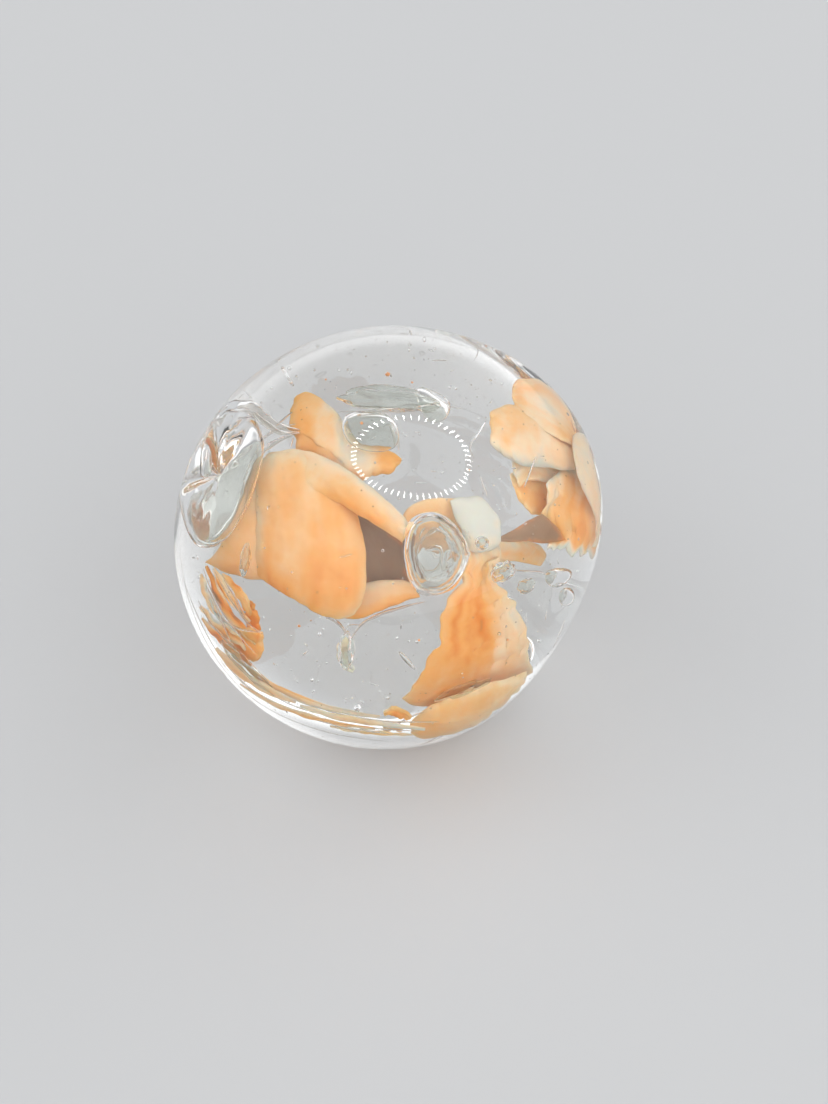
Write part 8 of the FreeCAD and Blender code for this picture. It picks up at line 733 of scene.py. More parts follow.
        2532,1195,4217,2567,1106,4248,1748,1016,4988,1768,1129,4920,1790,1242,4840,1822,1312,4770,1860,1353,4711,1894,1416,4631,1919,1508,4521,1944,1572,4429,1977,1588,4377,2015,1583,4345,2051,1585,4305,2079,1608,4245,2110,1621,4194,2148,1604,4177,
        2186,1581,4165,2225,1552,4161,2262,1529,4149,2303,1488,4153,2343,1445,4157,2376,1431,4129,2416,1374,4146,2452,1326,4150,2490,1266,4164,2528,1178,4200,2564,1100,4224,1737,1004,4964,1758,1104,4902,1781,1203,4829,1814,1264,4767,1851,1298,4715,
        1887,1351,4643,1914,1432,4546,1942,1489,4464,1977,1503,4416,2015,1497,4385,2051,1498,4347,2082,1519,4292,2114,1531,4244,2152,1514,4225,2190,1495,4210,2228,1472,4200,2265,1451,4184,2305,1417,4182,2343,1382,4178,2377,1369,4150,2415,1321,4157,
        2450,1284,4153,2485,1236,4157,2523,1160,4184,2559,1092,4201,1732,994,4939,1754,1081,4883,1778,1168,4817,1811,1220,4761,1848,1246,4715,1884,1291,4651,1913,1362,4565,1943,1412,4491,1978,1423,4448,2016,1417,4417,2053,1418,4381,2085,1436,4329,
        2119,1447,4284,2156,1432,4264,2194,1416,4246,2231,1397,4230,2267,1380,4212,2305,1352,4204,2343,1323,4195,2377,1312,4166,2413,1272,4167,2447,1243,4156,2481,1206,4152,2518,1142,4170,2554,1083,4180,1727,977,4927,1749,1050,4877,1775,1125,4818,
        1808,1167,4768,1845,1186,4728,1881,1223,4672,1913,1283,4597,1945,1327,4530,1981,1335,4490,2019,1329,4461,2056,1330,4425,2090,1345,4377,2124,1356,4333,2162,1343,4311,2199,1330,4289,2235,1317,4269,2271,1304,4248,2308,1281,4234,2344,1259,4219,
        2379,1249,4190,2414,1217,4183,2446,1198,4164,2479,1171,4152,2515,1118,4161,2550,1069,4164,1723,955,4921,1747,1015,4878,1774,1077,4826,1807,1111,4782,1844,1122,4748,1881,1150,4699,1914,1201,4634,1948,1238,4575,1985,1242,4538,2023,1236,4509,
        2061,1237,4474,2096,1250,4430,2131,1260,4388,2169,1249,4364,2206,1239,4340,2241,1231,4315,2277,1221,4290,2314,1204,4271,2349,1188,4251,2384,1181,4221,2418,1157,4207,2449,1147,4181,2481,1130,4161,2515,1088,4161,2549,1049,4156,1722,932,4918,
        1747,979,4881,1775,1029,4836,1809,1053,4798,1845,1057,4769,1883,1076,4727,1918,1117,4671,1953,1147,4620,1990,1148,4587,2029,1141,4559,2067,1141,4526,2103,1151,4485,2140,1160,4445,2177,1151,4420,2214,1143,4394,2250,1140,4365,2286,1133,4339,
        2322,1122,4315,2356,1112,4291,2391,1106,4259,2425,1089,4239,2455,1088,4207,2486,1081,4179,2518,1050,4170,2551,1021,4158,1720,905,4919,1746,939,4888,1776,977,4849,1809,991,4818,1846,989,4794,1883,999,4759,1920,1029,4711,1957,1053,4666,
        1994,1051,4637,2033,1043,4611,2072,1042,4579,2109,1049,4542,2147,1057,4504,2185,1048,4478,2222,1043,4451,2258,1044,4420,2295,1040,4392,2330,1033,4365,2365,1029,4336,2400,1025,4304,2433,1016,4278,2464,1023,4240,2493,1026,4205,2525,1005,4188,
        2557,985,4169,1722,886,4912,1749,907,4887,1779,932,4854,1813,938,4828,1849,928,4809,1886,930,4781,1923,951,4741,1961,968,4701,1998,962,4676,2037,952,4652,2076,950,4622,2114,954,4588,2152,960,4553,2191,952,4528,2229,948,4501,
        2265,952,4469,2302,949,4440,2339,947,4411,2374,947,4380,2409,944,4347,2442,941,4317,2473,955,4275,2502,967,4235,2533,955,4211,2565,942,4186,1725,871,4900,1753,879,4881,1783,893,4854,1817,889,4833,1852,872,4819,1889,866,4796,
        1926,877,4763,1964,888,4729,2002,879,4707,2040,867,4685,2079,863,4657,2117,864,4627,2156,869,4595,2195,860,4571,2233,857,4544,2271,864,4512,2308,862,4484,2345,862,4453,2380,867,4420,2416,864,4388,2450,867,4355,2481,887,4310,
        2510,906,4266,2542,903,4236,2574,897,4207,1728,852,4893,1756,847,4878,1787,849,4856,1820,837,4840,1854,813,4830,1890,799,4812,1928,802,4785,1966,807,4756,2003,795,4736,2041,782,4716,2079,777,4690,2118,775,4663,2157,778,4633,
        2196,769,4610,2235,767,4584,2273,776,4552,2311,775,4524,2348,779,4493,2384,787,4458,2421,785,4426,2455,793,4390,2486,819,4343,2517,845,4295,2549,849,4261,2582,849,4229,1734,836,4883,1763,819,4873,1794,811,4855,1827,790,4843,
        1859,759,4837,1894,738,4824,1931,732,4801,1968,732,4776,2005,717,4758,2042,702,4740,2080,696,4716,2119,692,4692,2158,693,4664,2196,684,4642,2235,682,4617,2274,693,4585,2312,693,4558,2350,700,4526,2386,711,4491,2423,710,4459,
        2457,722,4421,2489,754,4372,2521,785,4323,2554,795,4286,2588,800,4252,1744,819,4876,1772,790,4871,1804,771,4857,1835,742,4849,1866,704,4846,1900,676,4836,1935,663,4818,1972,658,4796,2008,640,4780,2044,624,4763,2081,617,4741,
        2119,610,4719,2158,609,4693,2196,600,4672,2235,599,4648,2274,612,4616,2312,613,4589,2350,622,4557,2387,637,4521,2423,637,4490,2458,653,4450,2491,689,4400,2524,725,4350,2558,740,4311,2594,749,4276,1756,796,4878,1784,754,4875,
        1816,725,4865,1846,688,4860,1875,644,4860,1907,610,4853,1942,589,4839,1978,579,4819,2012,559,4805,2047,542,4789,2083,534,4769,2120,525,4748,2158,523,4724,2196,514,4704,2235,513,4680,2274,528,4649,2312,530,4622,2350,543,4589,
        2387,561,4552,2422,561,4521,2458,581,4480,2492,621,4430,2526,662,4379,2562,682,4339,2599,695,4303,]),
    "petal_right": (1.8, 15, 25, [
        1444,336,5164,1485,421,5120,1528,498,5072,1570,581,5020,1611,673,4962,1656,743,4904,1702,786,4857,1745,837,4807,1792,866,4763,1841,873,4728,1888,879,4693,1934,880,4662,1978,895,4619,2022,889,4589,2064,857,4574,2106,858,4536,
        2146,891,4476,2186,904,4429,2224,931,4371,2258,988,4296,2295,1002,4249,2333,1020,4199,2365,1069,4128,2391,1141,4041,2408,1231,3939,1445,274,5168,1488,350,5127,1533,420,5084,1576,492,5039,1619,572,4989,1667,634,4938,1715,671,4896,
        1760,717,4851,1810,744,4810,1859,754,4774,1908,765,4737,1954,771,4703,2000,790,4659,2044,792,4623,2087,770,4600,2129,777,4558,2170,812,4498,2211,830,4447,2250,863,4388,2285,924,4312,2322,945,4260,2360,971,4205,2393,1027,4132,
        2419,1103,4043,2436,1200,3938,1458,223,5159,1502,293,5121,1547,355,5081,1591,418,5040,1635,489,4996,1685,544,4950,1733,576,4911,1780,617,4870,1830,643,4831,1880,657,4794,1929,671,4755,1976,682,4718,2022,706,4673,2066,714,4634,
        2108,701,4604,2151,713,4559,2192,751,4499,2233,773,4446,2272,810,4385,2308,874,4309,2345,901,4255,2382,934,4198,2415,994,4123,2442,1074,4034,2459,1174,3929,1454,161,5164,1499,223,5129,1546,279,5091,1591,333,5054,1637,395,5015,
        1688,444,4972,1738,472,4936,1786,508,4898,1838,533,4859,1889,551,4821,1940,570,4780,1987,586,4741,2034,614,4693,2079,628,4650,2122,626,4615,2165,644,4566,2208,685,4504,2249,711,4449,2289,753,4385,2326,821,4309,2364,855,4251,
        2401,895,4190,2434,961,4113,2461,1046,4022,2478,1152,3915,1453,101,5167,1499,156,5133,1547,207,5097,1593,252,5064,1641,305,5027,1693,349,4988,1744,373,4953,1794,406,4917,1846,430,4879,1899,451,4839,1950,475,4797,1998,496,4755,
        2047,527,4706,2092,548,4660,2135,555,4619,2179,578,4567,2223,622,4504,2265,653,4446,2306,699,4381,2343,770,4305,2381,810,4245,2419,857,4180,2452,928,4102,2480,1018,4009,2496,1128,3900,1465,53,5158,1512,102,5126,1560,147,5092,
        1607,184,5060,1654,229,5026,1707,269,4989,1758,289,4955,1808,319,4921,1861,342,4882,1914,366,4842,1965,394,4799,2014,419,4755,2062,453,4705,2108,480,4657,2151,494,4612,2195,522,4558,2239,567,4495,2282,601,4436,2323,651,4371,
        2361,724,4296,2400,769,4234,2438,820,4169,2471,894,4091,2499,987,3999,2516,1101,3890,1474,6,5150,1521,47,5119,1570,87,5085,1617,117,5055,1665,155,5024,1718,189,4988,1769,206,4955,1820,232,4922,1873,256,4884,1926,282,4843,
        1978,313,4799,2027,342,4755,2076,379,4704,2122,411,4654,2166,432,4606,2210,464,4551,2255,511,4488,2298,547,4429,2340,599,4364,2379,674,4291,2419,722,4229,2458,777,4164,2492,855,4086,2521,949,3995,2538,1066,3887,1475,-46,5142,
        1523,-11,5112,1573,24,5079,1620,47,5051,1668,77,5021,1722,107,4986,1773,121,4955,1825,144,4922,1879,167,4884,1933,196,4843,1986,229,4800,2036,262,4754,2085,302,4703,2132,338,4652,2177,366,4602,2222,401,4546,2268,449,4484,
        2312,487,4425,2355,541,4361,2396,617,4291,2438,668,4229,2478,728,4164,2514,808,4087,2544,905,3997,2563,1026,3889,1463,-106,5137,1512,-77,5107,1563,-47,5075,1611,-31,5047,1661,-7,5018,1715,19,4985,1768,30,4954,1820,51,4921,
        1876,73,4884,1931,104,4843,1985,141,4800,2036,177,4754,2087,220,4703,2135,260,4651,2182,295,4599,2229,334,4543,2276,382,4482,2322,422,4423,2368,478,4361,2411,555,4293,2455,610,4232,2497,674,4167,2535,758,4090,2567,859,4000,
        2587,984,3891,1462,-148,5118,1511,-124,5088,1563,-99,5056,1611,-88,5028,1661,-71,4999,1716,-48,4966,1768,-40,4935,1821,-22,4903,1877,0,4865,1932,33,4825,1987,73,4781,2039,112,4735,2090,157,4685,2140,201,4633,2187,241,4580,
        2235,282,4524,2284,330,4465,2331,371,4408,2378,428,4348,2424,504,4284,2469,562,4224,2513,628,4160,2553,714,4085,2586,817,3996,2608,946,3888,1458,-190,5095,1508,-171,5064,1560,-149,5032,1608,-144,5003,1658,-132,4974,1713,-112,4940,
        1765,-106,4909,1818,-90,4876,1874,-68,4839,1931,-32,4798,1985,11,4755,2038,53,4709,2090,100,4658,2141,147,4606,2189,193,4553,2238,236,4498,2287,284,4440,2337,326,4385,2385,383,4328,2432,459,4267,2480,518,4209,2525,588,4146,
        2566,677,4073,2601,782,3985,2623,913,3877,1467,-217,5062,1517,-201,5029,1569,-183,4995,1615,-183,4965,1664,-175,4935,1719,-158,4900,1770,-154,4868,1823,-139,4835,1878,-117,4797,1934,-79,4756,1989,-33,4712,2041,12,4666,2093,61,4616,
        2143,112,4564,2192,162,4511,2241,207,4456,2291,254,4401,2341,296,4348,2391,352,4294,2438,427,4237,2487,488,4181,2533,559,4121,2574,649,4049,2609,755,3964,2632,887,3858,1487,-227,5021,1536,-216,4986,1587,-200,4951,1632,-205,4919,
        1680,-202,4886,1733,-187,4851,1782,-185,4818,1834,-172,4783,1888,-150,4744,1943,-109,4702,1996,-60,4659,2048,-12,4612,2098,38,4561,2148,92,4509,2196,147,4456,2245,193,4403,2294,238,4350,2344,279,4300,2394,334,4249,2442,407,4196,
        2491,468,4143,2537,541,4085,2578,631,4016,2613,736,3933,2636,867,3832,1516,-225,4976,1563,-218,4939,1612,-205,4901,1655,-214,4867,1701,-216,4833,1752,-203,4796,1800,-203,4761,1849,-191,4725,1902,-169,4685,1955,-126,4642,2007,-75,4598,
        2057,-24,4550,2106,28,4500,2154,84,4448,2201,142,4395,2249,189,4343,2298,232,4293,2347,271,4246,2397,325,4198,2444,395,4150,2493,457,4099,2538,530,4043,2578,619,3977,2613,722,3898,2636,850,3801,1542,-225,4934,1587,-221,4894,
        1635,-211,4854,1676,-225,4818,1720,-231,4781,1770,-221,4741,1815,-221,4705,1863,-211,4668,1914,-189,4626,1965,-143,4583,2015,-90,4538,2064,-37,4490,2111,17,4439,2158,76,4387,2204,137,4335,2252,184,4284,2300,225,4237,2349,262,4193,
        2399,314,4149,2446,382,4104,2493,444,4056,2538,517,4002,2578,606,3939,2611,707,3863,2635,831,3772,]),
    "petal_right_lining": (1.0, 11, 17, [
        1744,133,4575,1787,238,4501,1830,336,4427,1876,402,4355,1920,478,4284,1964,531,4218,2008,582,4150,2044,675,4061,2077,767,3967,2100,880,3858,2108,1025,3724,2106,1175,3578,2133,1247,3506,2166,1312,3454,2201,1374,3417,2275,1372,3444,
        2318,1437,3427,1732,60,4575,1777,167,4506,1824,266,4436,1874,333,4365,1921,412,4293,1969,469,4223,2014,527,4150,2053,619,4060,2088,708,3966,2117,813,3862,2134,945,3743,2146,1076,3620,2175,1155,3541,2211,1221,3488,2254,1281,3454,
        2314,1312,3446,2345,1401,3401,1709,-32,4596,1758,75,4535,1810,173,4468,1865,240,4399,1917,321,4327,1969,381,4255,2017,445,4177,2061,535,4086,2102,619,3995,2137,715,3898,2166,833,3792,2192,949,3688,2229,1025,3614,2270,1098,3553,
        2307,1179,3497,2352,1248,3449,2370,1365,3375,1709,-99,4590,1760,7,4535,1814,106,4473,1872,173,4405,1927,255,4334,1980,317,4259,2031,385,4179,2077,472,4089,2121,549,4002,2161,635,3913,2197,740,3819,2232,845,3728,2276,917,3659,
        2321,991,3598,2360,1079,3534,2398,1168,3467,2410,1305,3373,1723,-144,4564,1773,-38,4515,1829,59,4458,1887,126,4392,1943,209,4322,1997,272,4247,2048,341,4166,2096,422,4080,2142,490,3998,2187,563,3919,2229,654,3837,2272,747,3760,
        2321,813,3698,2371,882,3641,2414,969,3576,2453,1066,3502,2467,1212,3401,1730,-186,4537,1781,-81,4495,1837,16,4442,1896,82,4378,1953,164,4309,2008,227,4234,2060,296,4154,2109,370,4072,2158,426,3998,2207,486,3928,2256,562,3859,
        2305,644,3792,2360,704,3737,2414,768,3683,2464,852,3621,2508,950,3546,2531,1097,3446,1728,-234,4513,1779,-129,4478,1836,-33,4428,1896,34,4366,1955,117,4296,2011,180,4221,2064,250,4142,2115,317,4063,2167,363,3995,2220,411,3933,
        2274,476,3872,2329,552,3812,2387,608,3760,2446,668,3708,2500,748,3647,2549,847,3572,2582,991,3475,1752,-244,4464,1799,-138,4432,1854,-41,4384,1913,27,4321,1969,113,4249,2024,177,4172,2075,249,4092,2125,310,4016,2177,345,3953,
        2232,380,3899,2288,435,3845,2344,503,3791,2404,552,3744,2465,605,3697,2523,675,3642,2577,766,3574,2619,899,3486,1770,-270,4428,1815,-163,4400,1869,-64,4352,1927,6,4288,1981,95,4214,2034,161,4134,2084,234,4054,2134,289,3979,
        2186,315,3922,2242,339,3872,2299,386,3822,2357,449,3773,2417,495,3728,2479,542,3682,2540,605,3631,2599,688,3569,2649,812,3487,1783,-318,4403,1827,-211,4380,1881,-111,4335,1937,-39,4271,1992,52,4196,2044,119,4115,2094,192,4034,
        2145,242,3963,2198,259,3908,2255,276,3862,2314,317,3815,2372,378,3767,2433,423,3722,2496,466,3677,2560,524,3628,2623,603,3569,2679,721,3490,1811,-339,4365,1853,-232,4347,1904,-132,4304,1959,-59,4239,2012,32,4164,2063,99,4082,
        2111,171,4004,2162,211,3936,2215,218,3888,2273,224,3846,2332,257,3802,2390,314,3757,2452,354,3715,2517,389,3674,2584,437,3629,2651,509,3575,2713,619,3500,]),
    "petal_right_pocket": (1.1, 13, 13, [
        1655,-154,4423,1689,-80,4390,1721,-4,4353,1755,62,4304,1789,119,4249,1824,177,4190,1860,222,4136,1895,265,4087,1928,306,4044,1961,321,4007,1992,317,3974,2023,326,3929,2053,315,3894,1660,-175,4400,1694,-108,4367,1727,-36,4329,
        1761,26,4280,1796,78,4226,1832,133,4170,1868,176,4116,1903,216,4069,1937,256,4024,1969,278,3982,2000,285,3942,2030,304,3891,2060,304,3850,1662,-197,4377,1696,-136,4344,1730,-69,4305,1765,-11,4256,1800,36,4205,1836,87,4151,
        1873,126,4099,1909,163,4053,1943,202,4009,1975,229,3963,2006,245,3919,2036,271,3864,2065,280,3818,1672,-203,4343,1705,-148,4310,1738,-85,4269,1772,-32,4222,1806,10,4172,1843,56,4121,1880,92,4071,1915,124,4027,1948,161,3984,
        1980,191,3937,2010,213,3890,2040,243,3834,2069,259,3785,1680,-212,4312,1712,-163,4278,1745,-104,4236,1778,-55,4189,1811,-18,4142,1847,23,4092,1884,56,4044,1918,85,4002,1951,119,3958,1982,153,3911,2012,180,3862,2041,213,3806,
        2070,236,3756,1687,-230,4288,1718,-186,4252,1750,-131,4209,1782,-86,4162,1814,-53,4117,1850,-15,4069,1886,16,4021,1919,41,3979,1951,75,3936,1982,111,3888,2011,145,3837,2040,182,3780,2068,213,3726,1704,-237,4259,1732,-198,4222,
        1763,-147,4178,1794,-107,4132,1824,-79,4088,1858,-46,4041,1892,-17,3995,1924,6,3953,1954,37,3910,1984,76,3861,2012,114,3810,2040,155,3751,2066,195,3694,1717,-256,4240,1743,-224,4203,1773,-178,4158,1803,-143,4113,1832,-121,4072,
        1864,-92,4027,1898,-66,3982,1927,-47,3941,1956,-17,3898,1985,23,3850,2012,65,3799,2039,110,3739,2064,158,3678,1727,-285,4226,1752,-260,4190,1780,-220,4146,1809,-192,4104,1836,-177,4067,1868,-153,4025,1900,-131,3982,1928,-116,3943,
        1955,-90,3902,1984,-50,3856,2010,-5,3806,2037,42,3747,2060,96,3685,1741,-304,4206,1763,-288,4172,1790,-256,4131,1816,-236,4093,1841,-230,4061,1871,-213,4024,1901,-197,3984,1927,-187,3948,1953,-168,3911,1980,-131,3870,2006,-86,3824,
        2032,-39,3768,2055,16,3709,1752,-326,4187,1770,-318,4155,1796,-295,4117,1820,-284,4085,1842,-287,4058,1870,-277,4026,1898,-267,3990,1921,-264,3959,1945,-251,3927,1971,-217,3891,1997,-174,3850,2021,-129,3799,2045,-75,3745,1763,-343,4164,
        1779,-345,4134,1802,-330,4099,1824,-328,4071,1844,-339,4049,1869,-336,4021,1895,-331,3988,1915,-334,3960,1937,-327,3932,1962,-297,3900,1987,-254,3864,2010,-211,3816,2034,-158,3768,1778,-353,4137,1790,-364,4110,1811,-357,4077,1830,-364,4054,
        1846,-384,4036,1868,-388,4012,1890,-388,3983,1907,-399,3959,1926,-398,3934,1949,-372,3907,1972,-331,3875,1994,-290,3833,2017,-240,3791,]),
    # A thin sheet under the right wing, toned dark brown as painted shade for the wing's shadowed underside.
    "fold_a": (0.6, 7, 15, [
        1536,-1042,4045,1579,-1018,4055,1623,-995,4067,1666,-972,4082,1711,-948,4090,1754,-921,4101,1796,-891,4112,1839,-862,4122,1882,-834,4135,1926,-810,4153,1975,-791,4168,2027,-777,4182,2078,-763,4203,2131,-748,4221,2184,-731,4237,1538,-1062,4052,
        1586,-1038,4058,1635,-1015,4063,1682,-989,4072,1731,-962,4074,1778,-931,4078,1825,-899,4083,1872,-871,4086,1921,-845,4094,1970,-823,4108,2024,-804,4119,2081,-788,4131,2137,-771,4147,2194,-751,4159,2251,-728,4169,1540,-1076,4055,1593,-1053,4056,
        1645,-1030,4055,1697,-1003,4059,1750,-973,4055,1801,-940,4055,1852,-908,4054,1905,-882,4052,1958,-859,4055,2014,-840,4065,2073,-822,4073,2134,-803,4083,2194,-783,4093,2256,-759,4100,2317,-730,4105,1540,-1081,4050,1597,-1057,4046,1653,-1035,4038,
        1708,-1005,4035,1764,-972,4026,1820,-937,4020,1875,-906,4014,1933,-883,4008,1991,-864,4007,2052,-848,4012,2116,-830,4017,2181,-809,4024,2246,-786,4028,2312,-758,4031,2379,-728,4034,1541,-1090,4049,1600,-1064,4037,1660,-1040,4021,1718,-1007,4009,
        1777,-971,3994,1835,-934,3982,1895,-904,3971,1956,-883,3959,2019,-867,3952,2084,-852,3950,2151,-833,3951,2219,-808,3953,2287,-784,3952,2357,-754,3952,2430,-724,3953,1543,-1106,4053,1605,-1080,4035,1667,-1054,4009,1728,-1018,3990,1790,-980,3969,
        1851,-942,3951,1915,-913,3934,1979,-895,3916,2046,-880,3902,2114,-865,3892,2184,-843,3886,2254,-815,3884,2326,-789,3876,2401,-759,3873,2478,-728,3872,1544,-1116,4053,1609,-1090,4028,1674,-1064,3994,1737,-1027,3968,1801,-989,3941,1866,-952,3920,
        1933,-926,3899,2001,-912,3875,2071,-899,3854,2143,-884,3835,2215,-860,3823,2288,-832,3818,2364,-807,3807,2443,-777,3801,2525,-745,3797,]),
    "petal_right_wing": (1.6, 21, 31, [
        2189,-173,4304,2201,-122,4289,2209,-67,4272,2218,-5,4243,2230,59,4204,2237,120,4178,2247,175,4152,2263,224,4123,2280,269,4105,2297,315,4092,2315,362,4070,2332,414,4038,2343,474,3999,2352,529,3948,2358,589,3894,2360,663,3832,
        2362,738,3772,2370,798,3724,2394,813,3701,2419,832,3686,2440,867,3669,2460,898,3652,2474,937,3621,2488,958,3591,2500,977,3560,2506,1007,3519,2522,1018,3492,2536,1053,3451,2574,1036,3451,2629,984,3476,2676,965,3476,2196,-206,4279,
        2208,-161,4266,2218,-108,4250,2229,-49,4222,2242,11,4187,2250,60,4166,2262,105,4146,2281,152,4121,2300,191,4107,2319,231,4097,2339,279,4076,2357,328,4046,2370,385,4010,2381,440,3961,2389,499,3910,2396,561,3859,2404,623,3811,
        2419,673,3773,2445,684,3753,2472,703,3737,2493,746,3717,2511,788,3692,2525,826,3659,2539,849,3626,2547,878,3587,2554,915,3543,2568,934,3513,2584,972,3471,2622,956,3465,2673,914,3480,2714,913,3467,2205,-224,4242,2217,-185,4230,
        2228,-134,4215,2241,-76,4188,2254,-22,4156,2263,18,4140,2277,52,4125,2298,98,4102,2319,132,4092,2339,166,4085,2360,216,4064,2379,264,4035,2392,316,4001,2405,373,3954,2414,430,3906,2425,482,3862,2438,533,3823,2457,575,3793,
        2485,583,3775,2513,602,3759,2533,652,3736,2550,703,3706,2564,740,3672,2577,763,3637,2585,798,3595,2592,839,3550,2607,863,3519,2625,902,3479,2664,888,3467,2711,856,3472,2746,873,3446,2205,-253,4213,2218,-220,4203,2230,-170,4188,
        2244,-113,4162,2259,-65,4133,2269,-35,4120,2283,-10,4111,2307,34,4090,2329,64,4082,2350,93,4077,2373,144,4056,2392,190,4029,2407,240,3997,2421,297,3951,2433,352,3907,2447,394,3870,2464,436,3838,2486,472,3813,2516,477,3797,
        2544,497,3780,2565,552,3755,2581,611,3722,2596,645,3687,2609,667,3650,2618,707,3608,2627,749,3565,2644,777,3535,2665,816,3495,2704,803,3479,2748,781,3473,2777,813,3438,2197,-294,4196,2210,-266,4187,2224,-218,4171,2240,-163,4147,
        2256,-120,4120,2267,-99,4111,2282,-83,4104,2308,-39,4086,2332,-14,4080,2354,12,4076,2378,64,4055,2399,109,4028,2415,155,3998,2431,212,3955,2445,265,3914,2462,299,3883,2482,332,3856,2507,363,3834,2538,366,3818,2567,388,3800,
        2588,448,3773,2603,513,3738,2619,544,3703,2634,564,3667,2645,606,3624,2657,649,3584,2676,680,3556,2700,718,3518,2739,705,3496,2779,692,3482,2804,735,3440,2195,-327,4173,2208,-304,4164,2223,-256,4148,2239,-203,4124,2256,-164,4099,
        2268,-151,4092,2284,-143,4088,2312,-100,4072,2336,-78,4066,2359,-55,4062,2384,-1,4041,2405,43,4015,2422,87,3985,2439,144,3943,2456,195,3906,2474,222,3878,2497,249,3855,2523,276,3836,2554,278,3819,2582,302,3799,2604,367,3771,
        2619,438,3734,2636,466,3699,2652,483,3663,2664,527,3622,2679,570,3584,2699,604,3557,2724,643,3519,2762,633,3491,2797,629,3468,2818,684,3419,2196,-358,4148,2209,-339,4138,2225,-291,4121,2243,-238,4097,2260,-203,4073,2272,-198,4068,
        2289,-197,4066,2319,-153,4050,2344,-133,4045,2367,-112,4040,2393,-56,4018,2414,-12,3990,2431,30,3961,2450,88,3921,2467,140,3885,2487,160,3860,2511,183,3839,2538,208,3820,2569,211,3801,2596,237,3779,2617,308,3749,2632,385,3710,
        2648,411,3674,2665,426,3637,2679,473,3597,2695,519,3560,2715,558,3532,2739,602,3491,2774,600,3453,2804,610,3419,2818,686,3358,2194,-407,4133,2206,-392,4123,2224,-345,4105,2243,-294,4082,2261,-263,4060,2273,-265,4056,2290,-271,4055,
        2321,-227,4041,2347,-209,4036,2370,-190,4030,2397,-132,4008,2419,-89,3981,2437,-49,3953,2457,8,3915,2476,59,3882,2498,74,3859,2522,91,3840,2550,115,3821,2580,118,3801,2607,146,3777,2628,221,3747,2644,302,3708,2661,323,3673,
        2680,336,3637,2695,384,3598,2713,430,3563,2733,474,3536,2757,520,3493,2789,521,3449,2816,539,3408,2828,621,3346,2177,-477,4143,2190,-465,4132,2209,-420,4115,2230,-370,4092,2250,-343,4071,2263,-352,4068,2280,-364,4067,2314,-319,4054,
        2340,-303,4048,2364,-286,4041,2393,-226,4018,2416,-184,3992,2436,-147,3964,2458,-90,3928,2480,-41,3898,2503,-31,3876,2529,-16,3857,2557,7,3837,2586,11,3814,2614,41,3788,2636,119,3758,2654,202,3721,2673,220,3686,2693,230,3649,
        2711,281,3611,2730,330,3576,2750,379,3547,2773,429,3503,2803,435,3450,2828,460,3402,2840,547,3340,2158,-544,4155,2172,-536,4143,2193,-491,4125,2217,-443,4102,2237,-421,4083,2251,-435,4080,2268,-452,4078,2304,-408,4066,2332,-394,4059,
        2357,-378,4051,2388,-317,4028,2412,-276,4001,2433,-242,3974,2458,-186,3941,2483,-138,3912,2506,-132,3891,2533,-119,3871,2562,-97,3850,2591,-92,3824,2619,-60,3796,2644,20,3768,2665,105,3732,2685,120,3696,2706,128,3658,2726,182,3620,
        2746,234,3584,2766,290,3554,2788,344,3506,2817,354,3446,2840,388,3392,2853,481,3328,2146,-595,4153,2159,-591,4139,2183,-547,4121,2208,-501,4099,2230,-482,4080,2243,-503,4077,2261,-526,4075,2300,-481,4064,2328,-469,4056,2353,-454,4046,
        2386,-393,4023,2411,-352,3997,2434,-321,3970,2461,-266,3939,2487,-219,3912,2512,-216,3891,2539,-206,3870,2568,-184,3848,2597,-178,3819,2626,-146,3791,2652,-64,3764,2676,23,3731,2698,34,3694,2720,41,3654,2740,98,3616,2761,155,3578,
        2780,217,3547,2802,275,3497,2830,291,3428,2853,332,3368,2866,434,3301,2139,-631,4138,2152,-630,4123,2177,-587,4104,2204,-543,4082,2226,-528,4065,2240,-555,4061,2258,-583,4059,2298,-538,4048,2327,-527,4039,2352,-514,4028,2387,-451,4005,
        2413,-412,3978,2436,-383,3952,2465,-328,3923,2493,-282,3898,2518,-283,3875,2546,-275,3853,2575,-253,3830,2604,-247,3800,2633,-214,3771,2662,-131,3746,2687,-43,3715,2710,-35,3677,2732,-27,3635,2754,34,3595,2774,96,3556,2792,164,3523,
        2814,226,3471,2842,248,3394,2865,300,3326,2877,419,3251,2148,-636,4095,2160,-638,4080,2185,-596,4060,2213,-553,4038,2235,-543,4022,2248,-577,4019,2266,-610,4017,2307,-565,4007,2335,-556,3997,2360,-545,3985,2395,-481,3962,2421,-444,3936,
        2445,-419,3911,2474,-365,3884,2503,-320,3861,2527,-324,3839,2554,-319,3817,2583,-299,3793,2612,-294,3763,2641,-263,3735,2671,-180,3713,2698,-92,3686,2721,-87,3647,2743,-81,3603,2763,-17,3564,2783,48,3524,2802,119,3494,2824,181,3442,
        2852,205,3360,2877,263,3287,2888,394,3207,2160,-632,4041,2171,-639,4025,2196,-597,4004,2223,-556,3983,2245,-550,3969,2258,-591,3967,2274,-631,3965,2315,-585,3955,2342,-578,3946,2366,-569,3933,2401,-505,3910,2427,-470,3885,2450,-448,3862,
        2480,-396,3838,2509,-352,3818,2533,-360,3796,2559,-358,3773,2587,-341,3751,2615,-338,3721,2644,-310,3695,2675,-229,3678,2704,-142,3654,2726,-141,3616,2746,-136,3571,2767,-70,3532,2786,-5,3495,2806,65,3470,2830,122,3423,2860,144,3338,
        2887,202,3265,2901,332,3190,2175,-615,3982,2185,-625,3965,2209,-584,3943,2236,-544,3922,2258,-542,3909,2269,-591,3908,2284,-637,3906,2325,-591,3897,2351,-585,3887,2374,-578,3873,2409,-513,3850,2434,-481,3827,2456,-462,3805,2486,-411,3783,
